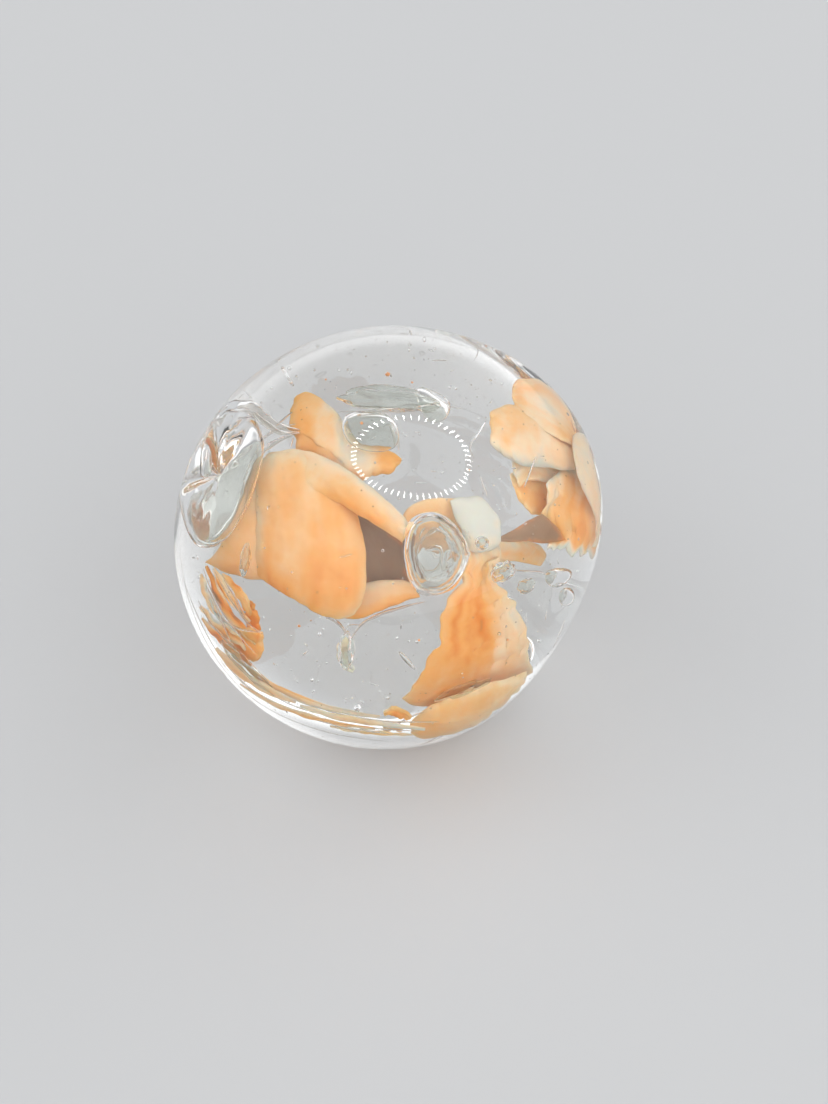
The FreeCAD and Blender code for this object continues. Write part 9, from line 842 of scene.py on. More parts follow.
        2514,-369,3765,2537,-381,3743,2561,-382,3721,2589,-367,3699,2615,-368,3670,2645,-342,3646,2677,-264,3633,2705,-177,3614,2727,-180,3574,2745,-176,3528,2765,-108,3491,2784,-45,3457,2805,22,3437,2831,74,3395,2864,93,3309,2891,153,3235,
        2905,282,3163,2191,-594,3925,2199,-608,3907,2222,-568,3884,2249,-528,3863,2269,-531,3851,2280,-587,3851,2293,-639,3849,2333,-592,3840,2358,-588,3829,2380,-583,3813,2414,-518,3791,2438,-488,3769,2459,-473,3748,2489,-423,3728,2516,-382,3712,
        2537,-397,3690,2560,-402,3668,2587,-390,3647,2613,-395,3620,2642,-373,3599,2674,-297,3590,2703,-210,3573,2722,-216,3532,2739,-213,3485,2757,-146,3450,2777,-85,3421,2800,-24,3409,2829,20,3373,2862,35,3286,2890,93,3212,2905,215,3149,
        2186,-619,3898,2193,-636,3878,2217,-595,3854,2244,-557,3833,2264,-563,3821,2274,-623,3819,2286,-678,3815,2327,-630,3806,2351,-626,3793,2372,-622,3776,2406,-555,3754,2430,-526,3732,2452,-514,3711,2482,-464,3693,2509,-422,3676,2529,-439,3653,
        2551,-446,3630,2577,-436,3609,2603,-443,3582,2632,-423,3562,2666,-346,3556,2694,-259,3541,2712,-264,3497,2727,-260,3446,2745,-192,3414,2766,-133,3388,2792,-76,3383,2823,-37,3351,2857,-21,3259,2883,43,3181,2897,167,3121,2180,-654,3880,
        2185,-672,3858,2210,-632,3832,2238,-594,3811,2258,-603,3799,2266,-668,3796,2276,-726,3789,2318,-676,3780,2341,-672,3765,2361,-669,3746,2396,-602,3724,2420,-575,3702,2442,-564,3682,2472,-514,3665,2499,-472,3650,2517,-491,3625,2539,-500,3600,
        2565,-492,3579,2590,-501,3553,2620,-483,3534,2654,-407,3531,2683,-318,3519,2697,-323,3471,2711,-319,3418,2731,-252,3388,2754,-198,3368,2782,-146,3370,2815,-112,3343,2849,-97,3248,2874,-33,3169,2887,83,3118,2168,-701,3871,2173,-721,3846,
        2198,-681,3820,2227,-645,3799,2247,-657,3787,2254,-724,3781,2263,-784,3771,2305,-733,3761,2328,-729,3744,2347,-726,3723,2383,-659,3702,2408,-633,3681,2429,-624,3659,2460,-574,3644,2488,-532,3629,2504,-552,3602,2525,-562,3576,2551,-557,3556,
        2576,-568,3530,2606,-551,3511,2640,-474,3510,2669,-384,3499,2682,-387,3448,2694,-383,3392,2716,-318,3367,2742,-269,3352,2773,-221,3361,2807,-191,3336,2838,-174,3236,2862,-107,3155,2875,4,3112,2143,-766,3885,2147,-787,3857,2175,-748,3829,
        2205,-713,3808,2226,-727,3795,2232,-796,3784,2240,-856,3769,2284,-804,3759,2307,-799,3739,2326,-796,3714,2365,-729,3694,2390,-704,3672,2412,-695,3648,2444,-644,3633,2473,-600,3618,2489,-620,3587,2510,-631,3559,2536,-627,3538,2562,-639,3510,
        2592,-620,3490,2627,-542,3490,2657,-447,3478,2668,-448,3421,2680,-443,3362,2705,-378,3339,2734,-331,3327,2767,-284,3340,2801,-251,3313,2830,-224,3201,2850,-143,3111,2862,-23,3065,2121,-826,3881,2125,-848,3850,2154,-810,3822,2186,-777,3801,
        2207,-793,3787,2211,-863,3773,2218,-925,3754,2263,-871,3745,2286,-866,3723,2306,-864,3696,2346,-798,3678,2372,-774,3655,2394,-766,3631,2426,-715,3618,2456,-671,3604,2471,-692,3571,2492,-706,3541,2519,-704,3521,2545,-716,3492,2575,-698,3472,
        2610,-618,3474,2640,-522,3464,2651,-522,3404,2663,-519,3344,2691,-459,3326,2723,-416,3319,2758,-371,3337,2791,-338,3312,2818,-309,3194,2838,-227,3103,2852,-115,3066,]),
    "petal_right_edge": (0.9, 23, 9, [
        2592,832,4353,2613,875,4349,2631,925,4333,2645,977,4305,2662,1020,4277,2688,1052,4257,2717,1088,4235,2742,1138,4194,2755,1211,4121,2618,678,4404,2644,729,4396,2666,788,4372,2684,852,4336,2705,909,4298,2732,959,4264,2761,1017,4222,
        2782,1097,4154,2784,1228,4031,2640,544,4434,2672,600,4422,2698,667,4394,2721,739,4352,2745,807,4307,2774,870,4262,2803,946,4205,2821,1054,4115,2802,1283,3905,2661,428,4445,2697,486,4432,2728,555,4402,2754,632,4358,2782,706,4309,
        2814,778,4259,2844,867,4194,2861,992,4090,2880,974,4092,2682,329,4438,2722,386,4426,2755,457,4396,2785,535,4352,2816,612,4303,2851,689,4251,2882,785,4180,2899,922,4069,2915,920,4059,2705,252,4413,2747,306,4402,2783,375,4374,
        2815,452,4332,2849,528,4285,2886,606,4233,2918,705,4161,2936,845,4050,2950,851,4035,2727,179,4382,2771,232,4372,2809,300,4344,2844,376,4303,2880,452,4257,2918,533,4205,2951,636,4131,2970,783,4016,2983,797,3996,2744,102,4353,
        2791,155,4343,2831,223,4315,2868,299,4275,2907,376,4229,2947,460,4175,2982,569,4098,3000,725,3978,3012,750,3950,2769,62,4298,2816,111,4289,2856,177,4262,2895,251,4223,2935,326,4179,2976,410,4125,3010,521,4047,3027,684,3924,
        3039,709,3897,2794,31,4234,2840,76,4227,2881,138,4202,2919,207,4167,2959,277,4126,3000,357,4076,3034,465,4001,3052,623,3882,3064,641,3864,2814,-12,4178,2861,29,4173,2900,86,4150,2939,149,4118,2980,214,4082,3020,289,4036,
        3054,391,3967,3074,537,3860,3056,866,3601,2842,-15,4097,2886,18,4095,2924,68,4076,2961,123,4049,3000,179,4019,3040,245,3979,3072,336,3918,3092,466,3825,3092,688,3655,2868,-20,4017,2910,8,4016,2946,52,4000,2981,100,3977,
        3020,148,3952,3057,207,3916,3088,291,3861,3107,409,3777,3112,600,3634,2895,-10,3927,2935,12,3929,2968,48,3916,3001,87,3898,3038,127,3878,3073,177,3848,3101,250,3801,3120,352,3729,3128,507,3614,2921,11,3830,2958,22,3837,
        2988,47,3830,3019,74,3820,3054,99,3809,3086,134,3789,3111,189,3755,3129,264,3704,3141,365,3632,2942,15,3741,2977,17,3752,3005,33,3751,3034,47,3748,3067,61,3745,3096,83,3735,3119,121,3713,3136,173,3680,3148,240,3634,
        2963,31,3645,2996,26,3658,3021,34,3661,3049,39,3663,3080,43,3666,3108,55,3662,3128,82,3649,3143,119,3627,3153,166,3597,2978,17,3568,3009,9,3582,3034,12,3586,3061,11,3591,3090,9,3597,3116,16,3598,3134,34,3590,
        3148,62,3576,3157,98,3555,2988,-32,3513,3018,-41,3526,3041,-40,3530,3068,-43,3537,3096,-49,3545,3120,-45,3547,3137,-30,3542,3150,-8,3533,3157,21,3519,2992,-110,3479,3021,-116,3488,3044,-113,3490,3070,-115,3495,3099,-119,3500,
        3121,-112,3501,3138,-97,3496,3150,-74,3488,3157,-44,3474,2999,-136,3409,3026,-144,3418,3048,-144,3420,3074,-151,3427,3101,-160,3436,3122,-159,3440,3137,-151,3441,3148,-137,3440,3152,-117,3434,2994,-249,3403,3020,-250,3404,3041,-244,3401,
        3067,-246,3403,3094,-249,3406,3115,-242,3406,3130,-228,3402,3141,-208,3397,3146,-182,3388,2976,-399,3426,3002,-392,3419,3023,-378,3409,3051,-373,3403,3078,-366,3399,3100,-350,3391,3117,-326,3380,3129,-296,3368,3135,-258,3351,]),
    "petal_front_skirt": (0.9, 7, 13, [
        1482,-782,3779,1524,-742,3755,1566,-705,3733,1608,-669,3712,1650,-638,3682,1690,-605,3646,1729,-561,3605,1764,-512,3558,1798,-453,3511,1830,-393,3459,1860,-346,3403,1889,-302,3347,1918,-260,3290,1462,-816,3749,1508,-773,3722,1555,-733,3696,
        1601,-692,3672,1646,-654,3638,1689,-611,3596,1730,-558,3548,1768,-498,3491,1803,-429,3436,1837,-360,3377,1869,-302,3314,1900,-246,3251,1928,-184,3183,1445,-836,3707,1495,-791,3678,1545,-750,3650,1593,-707,3624,1641,-663,3588,1686,-612,3542,
        1728,-552,3488,1767,-485,3426,1805,-410,3366,1841,-338,3304,1874,-274,3238,1905,-206,3169,1930,-125,3089,1436,-847,3657,1487,-801,3627,1538,-759,3596,1587,-714,3569,1634,-666,3531,1678,-610,3482,1719,-545,3424,1759,-475,3360,1796,-401,3298,
        1833,-329,3236,1867,-264,3170,1897,-188,3098,1917,-89,3008,1434,-862,3610,1484,-818,3582,1533,-777,3550,1580,-733,3523,1625,-682,3486,1667,-624,3437,1706,-560,3378,1744,-492,3316,1782,-424,3257,1819,-359,3201,1852,-297,3138,1880,-218,3065,
        1898,-113,2974,1435,-879,3564,1483,-838,3538,1530,-801,3508,1575,-759,3483,1617,-710,3449,1656,-653,3404,1694,-594,3349,1731,-533,3292,1769,-476,3241,1806,-420,3190,1838,-361,3131,1866,-285,3063,1886,-188,2980,1440,-883,3507,1485,-846,3484,
        1529,-814,3456,1570,-776,3434,1609,-729,3405,1645,-678,3364,1680,-627,3316,1717,-578,3268,1754,-533,3224,1790,-487,3181,1821,-435,3127,1849,-367,3067,1872,-288,3000,]),
}


def tone_field(tones, u, v):
    """tones is a small table over the petal (rows from top to bottom); smooth in between"""
    t = np.array(tones, float)
    r, c = t.shape
    x, y = np.clip(u * (c - 1), 0, c - 1 - 1e-6), np.clip(v * (r - 1), 0, r - 1 - 1e-6)
    i, j = x.astype(int), y.astype(int)
    fx, fy = x - i, y - j
    fx, fy = fx * fx * (3 - 2 * fx), fy * fy * (3 - 2 * fy)
    return (t[j, i] * (1 - fx) + t[j, i + 1] * fx) * (1 - fy) + (t[j + 1, i] * (1 - fx) + t[j + 1, i + 1] * fx) * fy


def skins(name, tones, wrinkle=0.12, scale=0.35, pleats=0.0, streak=0.0, along="v", m=3):
    thick, rows, cols, flat = NETS[name]
    grid = fine(np.array(flat, float).reshape(rows, cols, 3) / 100.0, m)
    rows, cols = grid.shape[:2]
    du, dv = np.gradient(grid, axis=1), np.gradient(grid, axis=0)
    n = np.cross(du, dv)
    n /= np.maximum(np.linalg.norm(n, axis=2), 1e-9)[..., None]
    u = np.linspace(0, 1, cols)[None, :].repeat(rows, 0)
    v = np.linspace(0, 1, rows)[:, None].repeat(cols, 1)
    seed = sum(map(ord, name)) % 97
    bump = np.zeros((rows, cols))
    for j in range(rows):
        for i in range(cols):
            p = Vector(grid[j, i] * scale) + Vector((seed, 0, 0))
            bump[j, i] = noise.noise(p) + 0.45 * noise.noise(p * 2.3) + 0.2 * noise.noise(p * 5.1)
    bump = bump * wrinkle
    if pleats:
        bump += pleats * np.sin(u * 34 + 3 * np.sin(v * 3 + 1)) * np.sin(np.pi * np.clip(v, 0, 1))
    swell = (1 - np.abs(2 * u - 1) ** 5) * (1 - np.abs(2 * v - 1) ** 5)
    half = (0.10 + (thick / 2 - 0.10) * swell ** 0.8)
    front = grid + n * (half + bump)[..., None]
    back = grid + n * (-half + bump)[..., None]
    verts = np.concatenate([front.reshape(-1, 3), back.reshape(-1, 3)])
    N = rows * cols
    faces = []
    for j in range(rows - 1):
        for i in range(cols - 1):
            a, b, c, d = j * cols + i, j * cols + i + 1, (j + 1) * cols + i + 1, (j + 1) * cols + i
            faces.append((a, b, c, d))
            faces.append((a + N, d + N, c + N, b + N))
    ring = [(0, i) for i in range(cols)] + [(j, cols - 1) for j in range(1, rows)] + [(rows - 1, i) for i in range(cols - 2, -1, -1)] + [(j, 0) for j in range(rows - 2, 0, -1)]
    ring = [j * cols + i for j, i in ring]
    for k in range(len(ring)):
        a, b = ring[k], ring[(k + 1) % len(ring)]
        faces.append((b, a, a + N, b + N))
    tone = tone_field(tones, u, v).reshape(-1)
    if streak:
        # pulled streaks of colour, long one way and narrow the other
        a, b = (u, v) if along == "v" else (v, u)
        wide = np.linalg.norm(grid[rows // 2, -1] - grid[rows // 2, 0]) if along == "v" else np.linalg.norm(grid[-1, cols // 2] - grid[0, cols // 2])
        a, b = a.reshape(-1) * max(wide, 1.0) * 0.34, b.reshape(-1) * 2.0
        tone += streak * np.array([1.3 * noise.noise(Vector((x + 0.8 * noise.noise(Vector((y, x * 0.5, seed))), y, seed))) + 0.45 * noise.noise(Vector((2.6 * x, 1.7 * y, seed + 5))) for x, y in zip(a, b)])
    edge = (1 - np.minimum(1, np.minimum(np.minimum(u, 1 - u) * cols, np.minimum(v, 1 - v) * rows) / (2.2 * m))).reshape(-1)
    return verts, faces, np.concatenate([tone, tone]), np.concatenate([edge, edge])


def petal(name, nets):
    """one object for a petal: its nets as {net: (tones, options)}"""
    verts, faces, tones, edges, n = [], [], [], [], 0
    for net, (table, options) in nets.items():
        vs, fs, tn, ed = skins(net, table, **options)
        verts.append(vs)
        faces += [[i + n for i in f] for f in fs]
        tones.append(tn)
        edges.append(ed)
        n += len(vs)
    ob = new_object(name + "_glass", np.vstack(verts) * MM, faces)
    me = ob.data
    bm = bmesh.new()
    bm.from_mesh(me)
    bmesh.ops.recalc_face_normals(bm, faces=bm.faces)
    bm.to_mesh(me)
    bm.free()
    attr = me.attributes.new("tone", "FLOAT", "POINT")
    attr.data.foreach_set("value", np.concatenate(tones).astype(np.float32))
    attr = me.attributes.new("rim", "FLOAT", "POINT")
    attr.data.foreach_set("value", np.concatenate(edges).astype(np.float32))
    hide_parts(name)
    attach(ob, "root")
    return ob


SLOTS = {s["node"]: s["material_slot"] for s in frame["record"]["subparts"]}


# ------------------------------------------------------------------ materials
def material(name):
    m = bpy.data.materials.new(name)
    m.use_nodes = True
    return m, m.node_tree.nodes, m.node_tree.links, m.node_tree.nodes["Principled BSDF"]


def clear_glass(name="clear_glass", tint=(0.985, 0.995, 0.99)):
    m, nodes, links, bsdf = material(name)
    bsdf.inputs["Base Color"].default_value = (*tint, 1)
    bsdf.inputs["Roughness"].default_value = 0.0
    bsdf.inputs["IOR"].default_value = 1.5
    bsdf.inputs["Transmission Weight"].default_value = 1.0
    return m


# The last stop, a dark brown, is painted shade: the sheets toned at 1 and above (the wall behind the left lobe, the
# sliver under the right wing) reach it to stand for shadowed inner surfaces.
RAMP = [(0.0, (0.69, 0.68, 0.59)), (0.18, (0.91, 0.69, 0.46)), (0.38, (0.94, 0.55, 0.255)), (0.6, (0.93, 0.43, 0.13)), (0.8, (0.84, 0.28, 0.055)), (1.0, (0.32, 0.20, 0.12))]


def opal(name, ramp=RAMP, mottle=0.16, milk=0.0, gain=1.0):
    """opal glass: tone runs from milky white through salmon to deep orange-brown, streaked and mottled"""
    m, nodes, links, bsdf = material(name)
    tone = nodes.new("ShaderNodeAttribute"); tone.attribute_name = "tone"
    rim = nodes.new("ShaderNodeAttribute"); rim.attribute_name = "rim"
    coord = nodes.new("ShaderNodeTexCoord")
    big = nodes.new("ShaderNodeTexNoise"); big.inputs["Scale"].default_value = 260; big.inputs["Detail"].default_value = 4; big.inputs["Distortion"].default_value = 0.6
    small = nodes.new("ShaderNodeTexNoise"); small.inputs["Scale"].default_value = 1500; small.inputs["Detail"].default_value = 2
    links.new(coord.outputs["Object"], big.inputs["Vector"])
    links.new(coord.outputs["Object"], small.inputs["Vector"])
    def math_node(op, a, b):
        n = nodes.new("ShaderNodeMath"); n.operation = op
        for k, x in enumerate((a, b)):
            if isinstance(x, (int, float)):
                n.inputs[k].default_value = x
            else:
                links.new(x, n.inputs[k])
        return n.outputs[0]
    t = math_node("ADD", tone.outputs["Fac"], math_node("MULTIPLY", math_node("SUBTRACT", big.outputs["Fac"], 0.5), mottle * 2))
    t = math_node("ADD", t, math_node("MULTIPLY", math_node("SUBTRACT", small.outputs["Fac"], 0.5), mottle * 0.5))
    t = math_node("SUBTRACT", t, math_node("MULTIPLY", rim.outputs["Fac"], 0.10))
    col = nodes.new("ShaderNodeValToRGB")
    el = col.color_ramp.elements
    while len(el) > 1:
        el.remove(el[-1])
    for k, (pos, rgb) in enumerate(ramp):
        e = el[0] if k == 0 else el.new(pos)
        e.position, e.color = pos, (min(1, rgb[0] * gain), min(1, rgb[1] * gain), min(1, rgb[2] * gain), 1)
    links.new(t, col.inputs["Fac"])
    # tiny dark specks, as in the real colour glass
    cells = nodes.new("ShaderNodeTexVoronoi"); cells.inputs["Scale"].default_value = 620
    links.new(coord.outputs["Object"], cells.inputs["Vector"])
    sep = nodes.new("ShaderNodeSeparateColor")
    links.new(cells.outputs["Color"], sep.inputs["Color"])
    speck = math_node("MULTIPLY", math_node("LESS_THAN", cells.outputs["Distance"], 0.075), math_node("GREATER_THAN", sep.outputs["Red"], 0.62))
    mix = nodes.new("ShaderNodeMix"); mix.data_type = "RGBA"
    links.new(math_node("MULTIPLY", speck, 0.75), mix.inputs["Factor"])
    links.new(col.outputs["Color"], mix.inputs["A"])
    mix.inputs["B"].default_value = (0.22, 0.10, 0.05, 1)
    links.new(mix.outputs["Result"], bsdf.inputs["Base Color"])
    bsdf.inputs["Roughness"].default_value = 0.6
    bsdf.inputs["Specular IOR Level"].default_value = 0.0
    bsdf.inputs["Subsurface Weight"].default_value = 0.35
    bsdf.inputs["Subsurface Radius"].default_value = (1.0, 0.55, 0.3)
    bsdf.inputs["Subsurface Scale"].default_value = 0.0016
    return m


# ------------------------------------------------------------------ build
CLEAR = clear_glass()
# The air bubbles' and threads' skins are tinted grey so that their outlines come out darker: painted shade for the dark
# surroundings they mirror.
BUBBLE_SKIN = clear_glass("bubble_skin", (0.79, 0.82, 0.77))
THREAD_SKIN = clear_glass("thread_skin", (0.80, 0.77, 0.72))
ball = make_ball()
ball.data.materials.append(CLEAR)
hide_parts("clear_casing", "clear_core")
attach(ball, "root")

big = merged("air_bubbles", [bubble(*BUBBLES[k][:5], **BUBBLES[k][5]) for k in BUBBLES] + [blob(*BLOBS[k], seed=len(k)) for k in BLOBS])
threads = merged("air_threads", [hair(*HAIRS[k]) for k in HAIRS])
threads.data.materials.append(THREAD_SKIN)
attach(threads, "root")
big.data.materials.append(BUBBLE_SKIN)
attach(big, "root")

rnd = random.Random(20)
seeds = []
while len(seeds) < 760:
    d = np.array([rnd.gauss(0, 1) for _ in range(3)])
    d /= np.linalg.norm(d)
    r = rnd.uniform(19.5, 35) if rnd.random() < 0.8 else rnd.uniform(8, 19)
    p = S + d * r
    if p[2] < 4 or p[2] < CENTRE_Z - 18 and rnd.random() < 0.6:
        continue
    s = min(0.34, 0.105 * math.exp(rnd.gauss(0, 0.45)))
    tall = 1 + (rnd.random() < 0.12) * rnd.uniform(2, 9)
    a = Vector(np.cross(d, [rnd.gauss(0, 1) for _ in range(3)])).normalized()
    b = Vector(np.cross(d, a)).normalized()
    seeds.append(bubble(p, np.array(a) * s * tall, np.array(b) * s, d, s, sphere=ICO1))
tiny = merged("seed_bubbles", seeds)
tiny.data.materials.append(CLEAR)
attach(tiny, "root")

# deep_opal's colours are raised by a gain of 1.12 to make up for the dim light on the low front petals: painted light.
MATS = {k: opal(k, **a) for k, a in {
    "salmon_opal": {}, "deep_opal": {"gain": 1.12}, "tan_opal": {}, "shaded_opal": {}, "cream_opal": {}, "white_opal": {}}.items()}
TONES = {
    "petal_left": {
        # The lobe's second row is a darker orange than the first: painted shade under the lip's fold.
        "petal_left": ([[0.3, 0.3, 0.34, 0.62], [0.42, 0.4, 0.5, 0.68], [0.4, 0.46, 0.52, 0.54], [0.44, 0.52, 0.56, 0.48], [0.64, 0.76, 0.56, 0.38]], {'wrinkle': 0.14, 'streak': 0.16, 'pleats': 0.05}),
    },
    "petal_left_lip": {
        "petal_left_lip": ([[0.34, 0.26, 0.22, 0.22, 0.2], [0.38, 0.36, 0.42, 0.4, 0.28], [0.42, 0.5, 0.66, 0.66, 0.5]], {'pleats': 0.1, 'wrinkle': 0.12, 'streak': 0.16, 'along': 'u'}),
    },
    # A sheet toned dark brown in the pocket behind the left lobe: painted shade for the shadowed inside of the petal.
    "petal_left_inner": {
        "petal_left_inner": ([[1.1, 1.06, 1.02], [1.15, 1.12, 1.04], [1.0, 1.06, 1.0]], {'streak': 0.08, 'along': 'u'}),
    },
    "petal_left_hem": {
        "petal_left_hem": ([[0.3, 0.26, 0.34], [0.36, 0.34, 0.42], [0.66, 0.72, 0.74]], {'streak': 0.1, 'along': 'u'}),
        "wisp": ([[0.16, 0.1], [0.04, 0.12], [0.1, 0.02]], {'wrinkle': 0.2, 'streak': 0.12}),
    },
    "petal_left_side": {
        "petal_left_side": ([[0.3, 0.32, 0.36], [0.38, 0.4, 0.38], [0.48, 0.46, 0.4]], {'streak': 0.12}),
    },
    "petal_left_tail": {
        "tail_c": ([[0.66, 0.75], [0.72, 0.8]], {'wrinkle': 0.2}),
        "tail_d": ([[0.45, 0.62, 0.5], [0.62, 0.7, 0.6], [0.4, 0.55, 0.5]], {'wrinkle': 0.25, 'streak': 0.2}),
        "tail_1": ([[0.2, 0.8], [0.9, 0.3], [0.3, 0.85], [0.6, 0.3]], {'wrinkle': 0.15, 'streak': 0.3}),
        "tail_2": ([[0.1, 0.4], [0.9, 0.2], [0.3, 0.95], [0.5, 0.2]], {'wrinkle': 0.15, 'streak': 0.3}),
        "tail_3": ([[0.2, 0.35], [0.4, 0.85], [0.5, 0.2], [0.7, 0.5]], {'wrinkle': 0.15, 'streak': 0.3}),
        "tail_4": ([[0.2, 0.5], [0.65, 0.15], [0.25, 0.8], [0.4, 0.2]], {'wrinkle': 0.15, 'streak': 0.3}),
        "tail_5": ([[0.5, 0.15], [0.85, 0.3], [0.3, 0.2]], {'wrinkle': 0.15, 'streak': 0.3}),
        "tail_6": ([[0.1, 0.3], [0.3, 0.05], [0.15, 0.4]], {'wrinkle': 0.15, 'streak': 0.2}),
        "tail_7": ([[0.1, 0.0], [0.0, 0.1], [0.2, 0.1]], {'wrinkle': 0.15, 'streak': 0.1}),
        "tail_8": ([[0.05, 0.2], [0.1, 0.0], [0.3, 0.1]], {'wrinkle': 0.15, 'streak': 0.15}),
        "band_1": ([[0.4, 0.3], [0.45, 0.2], [0.3, 0.1]], {'wrinkle': 0.1, 'streak': 0.25}),
        "band_2": ([[0.3, 0.1], [0.15, 0.5], [0.1, 0.3]], {'wrinkle': 0.1, 'streak': 0.25}),
        "band_3": ([[0.2, 0.7], [0.6, 0.1], [0.1, 0.5]], {'wrinkle': 0.1, 'streak': 0.3}),
    },
    "petal_back_left": {
        "petal_back_left": ([[0.52, 0.46, 0.24, 0.1, 0.16, 0.45, 0.55], [0.52, 0.5, 0.3, 0.06, 0.06, 0.58, 0.62], [0.48, 0.48, 0.34, 0.3, 0.4, 0.66, 0.66]], {'streak': 0.08}),
    },
    "petal_throat": {
        "petal_throat": ([[0.4, 0.38, 0.34], [0.4, 0.38, 0.36]], {}),
    },
    "petal_front_crest": {
        "petal_front_crest": ([[0, -0.04, 0], [-0.02, -0.04, 0], [0.16, 0.08, 0.14]], {'wrinkle': 0.05}),
    },
    "petal_front_right": {
        "petal_front_right": ([[0.2, 0.2, 0.22, 0.22, 0.24], [0.4, 0.44, 0.62, 0.46, 0.34], [0.56, 0.66, 0.76, 0.38, 0.28], [0.62, 0.72, 0.8, 0.28, 0.22], [0.66, 0.74, 0.7, 0.24, 0.2], [0.62, 0.66, 0.44, 0.24, 0.22], [0.44, 0.36, 0.26, 0.22, 0.24]], {'wrinkle': 0.2, 'scale': 0.22, 'streak': 0.18}),
    },
    "petal_front_foot": {
        "petal_front_foot": ([[0.3, 0.34, 0.3], [0.56, 0.5, 0.36], [0.5, 0.5, 0.36]], {'streak': 0.12}),
        "band_4": ([[0.1, 0.3], [0.35, 0.1], [0.1, 0.4]], {'wrinkle': 0.1, 'streak': 0.25}),
        "band_5": ([[0.3, 0.1], [0.5, 0.2], [0.2, 0.3]], {'wrinkle': 0.1, 'streak': 0.25}),
        "patch_1": ([[0.5, 0.3], [0.75, 0.5], [0.5, 0.4]], {'wrinkle': 0.15, 'streak': 0.2}),
        "patch_2": ([[0.4, 0.2], [0.6, 0.5], [0.3, 0.4]], {'wrinkle': 0.15, 'streak': 0.2}),
    },
    "petal_right_curl": {
        "petal_right_curl": ([[0.46, 0.42, 0.44], [0.38, 0.16, 0.5], [0.36, 0.36, 0.44]], {'wrinkle': 0.1, 'streak': 0.1, 'along': 'u'}),
    },
    "petal_right": {
        "petal_right": ([[0.42, 0.4, 0.38], [0.4, 0.3, 0.3], [0.34, 0.2, 0.24], [0.1, 0.02, 0.1]], {'wrinkle': 0.14, 'streak': 0.12}),
    },
    "petal_right_lining": {
        "petal_right_lining": ([[0.04, 0.02, 0.06, 0.12], [0.2, 0.1, 0.2, 0.24], [0.4, 0.22, 0.34, 0.3]], {'wrinkle': 0.14, 'streak': 0.18}),
    },
    "petal_right_pocket": {
        "petal_right_pocket": ([[0.34, 0.36], [0.48, 0.5], [0.56, 0.5]], {'streak': 0.12}),
        # Toned at the dark brown end: painted shade under the right wing.
        "fold_a": ([[1.1, 1.1, 1.05], [1.1, 1.05, 1.0]], {'wrinkle': 0.06}),
    },
    "petal_right_wing": {
        "petal_right_wing": ([[0.1, 0.16, 0.22], [0.24, 0.28, 0.3], [0.3, 0.36, 0.36], [0.36, 0.44, 0.4], [0.42, 0.54, 0.44], [0.46, 0.6, 0.46], [0.5, 0.58, 0.48], [0.46, 0.54, 0.46], [0.0, 0.04, 0.12]], {'wrinkle': 0.16, 'scale': 0.25, 'streak': 0.22}),
    },
    "petal_right_edge": {
        "petal_right_edge": ([[0.22, 0.2], [0.18, 0.26], [0.2, 0.26]], {'wrinkle': 0.05}),
    },
    "petal_front_skirt": {
        "petal_front_skirt": ([[0.26, 0.26], [0.4, 0.5]], {'wrinkle': 0.06, 'streak': 0.12}),
    },
}
for name, nets in TONES.items():
    ob = petal(name, nets)
    ob.data.materials.append(MATS[SLOTS[name]])

# loose grains keep their CAD shape
grains = frame["nodes"]["frit_specks"]
gm, gn, gl, gb = material("frit_glass")
noise_node = gn.new("ShaderNodeTexNoise"); noise_node.inputs["Scale"].default_value = 900
mix = gn.new("ShaderNodeValToRGB")
mix.color_ramp.elements[0].color, mix.color_ramp.elements[1].color = (0.75, 0.28, 0.10, 1), (0.95, 0.55, 0.30, 1)
gl.new(noise_node.outputs["Fac"], mix.inputs["Fac"]); gl.new(mix.outputs["Color"], gb.inputs["Base Color"])
gb.inputs["Specular IOR Level"].default_value = 0.0
for s in grains.material_slots:
    s.material = gm
if not grains.material_slots:
    grains.data.materials.append(gm)

# ------------------------------------------------------------------ floor, light, camera
me = bpy.data.meshes.new("floor")
me.from_pydata([(-3, -3, -0.00012), (3, -3, -0.00012), (3, 3, -0.00012), (-3, 3, -0.00012)], [], [(0, 1, 2, 3)])
floor = bpy.data.objects.new("floor", me)
scene.collection.objects.link(floor)
fm, fn, fl, fb = material("pale_floor")
fb.inputs["Base Color"].default_value = (0.52, 0.525, 0.53, 1)
fb.inputs["Roughness"].default_value = 0.55
fb.inputs["Specular IOR Level"].default_value = 0.3
floor.data.materials.append(fm)

world = bpy.data.worlds.new("studio")
scene.world = world
world.use_nodes = True
wn, wl = world.node_tree.nodes, world.node_tree.links
bg = wn["Background"]
wc = wn.new("ShaderNodeTexCoord")
ws = wn.new("ShaderNodeSeparateXYZ")
wl.new(wc.outputs["Generated"], ws.inputs["Vector"])


def wmath(op, a, b=0.0):
    n = wn.new("ShaderNodeMath")
    n.operation = op
    for k, x in enumerate((a, b)):
        if isinstance(x, (int, float)):
            n.inputs[k].default_value = x
        else:
            wl.new(x, n.inputs[k])
    return n.outputs[0]


def smooth(x, lo, hi):
    n = wn.new("ShaderNodeMapRange")
    n.interpolation_type = "SMOOTHSTEP"
    wl.new(x, n.inputs["Value"])
    n.inputs["From Min"].default_value, n.inputs["From Max"].default_value = lo, hi
    return n.outputs["Result"]


def lobe(direction, lo, hi, strength):
    d = wn.new("ShaderNodeVectorMath")
    d.operation = "DOT_PRODUCT"
    wl.new(wc.outputs["Generated"], d.inputs[0])
    d.inputs[1].default_value = Vector(direction).normalized()
    return wmath("MULTIPLY", smooth(d.outputs["Value"], lo, hi), strength)


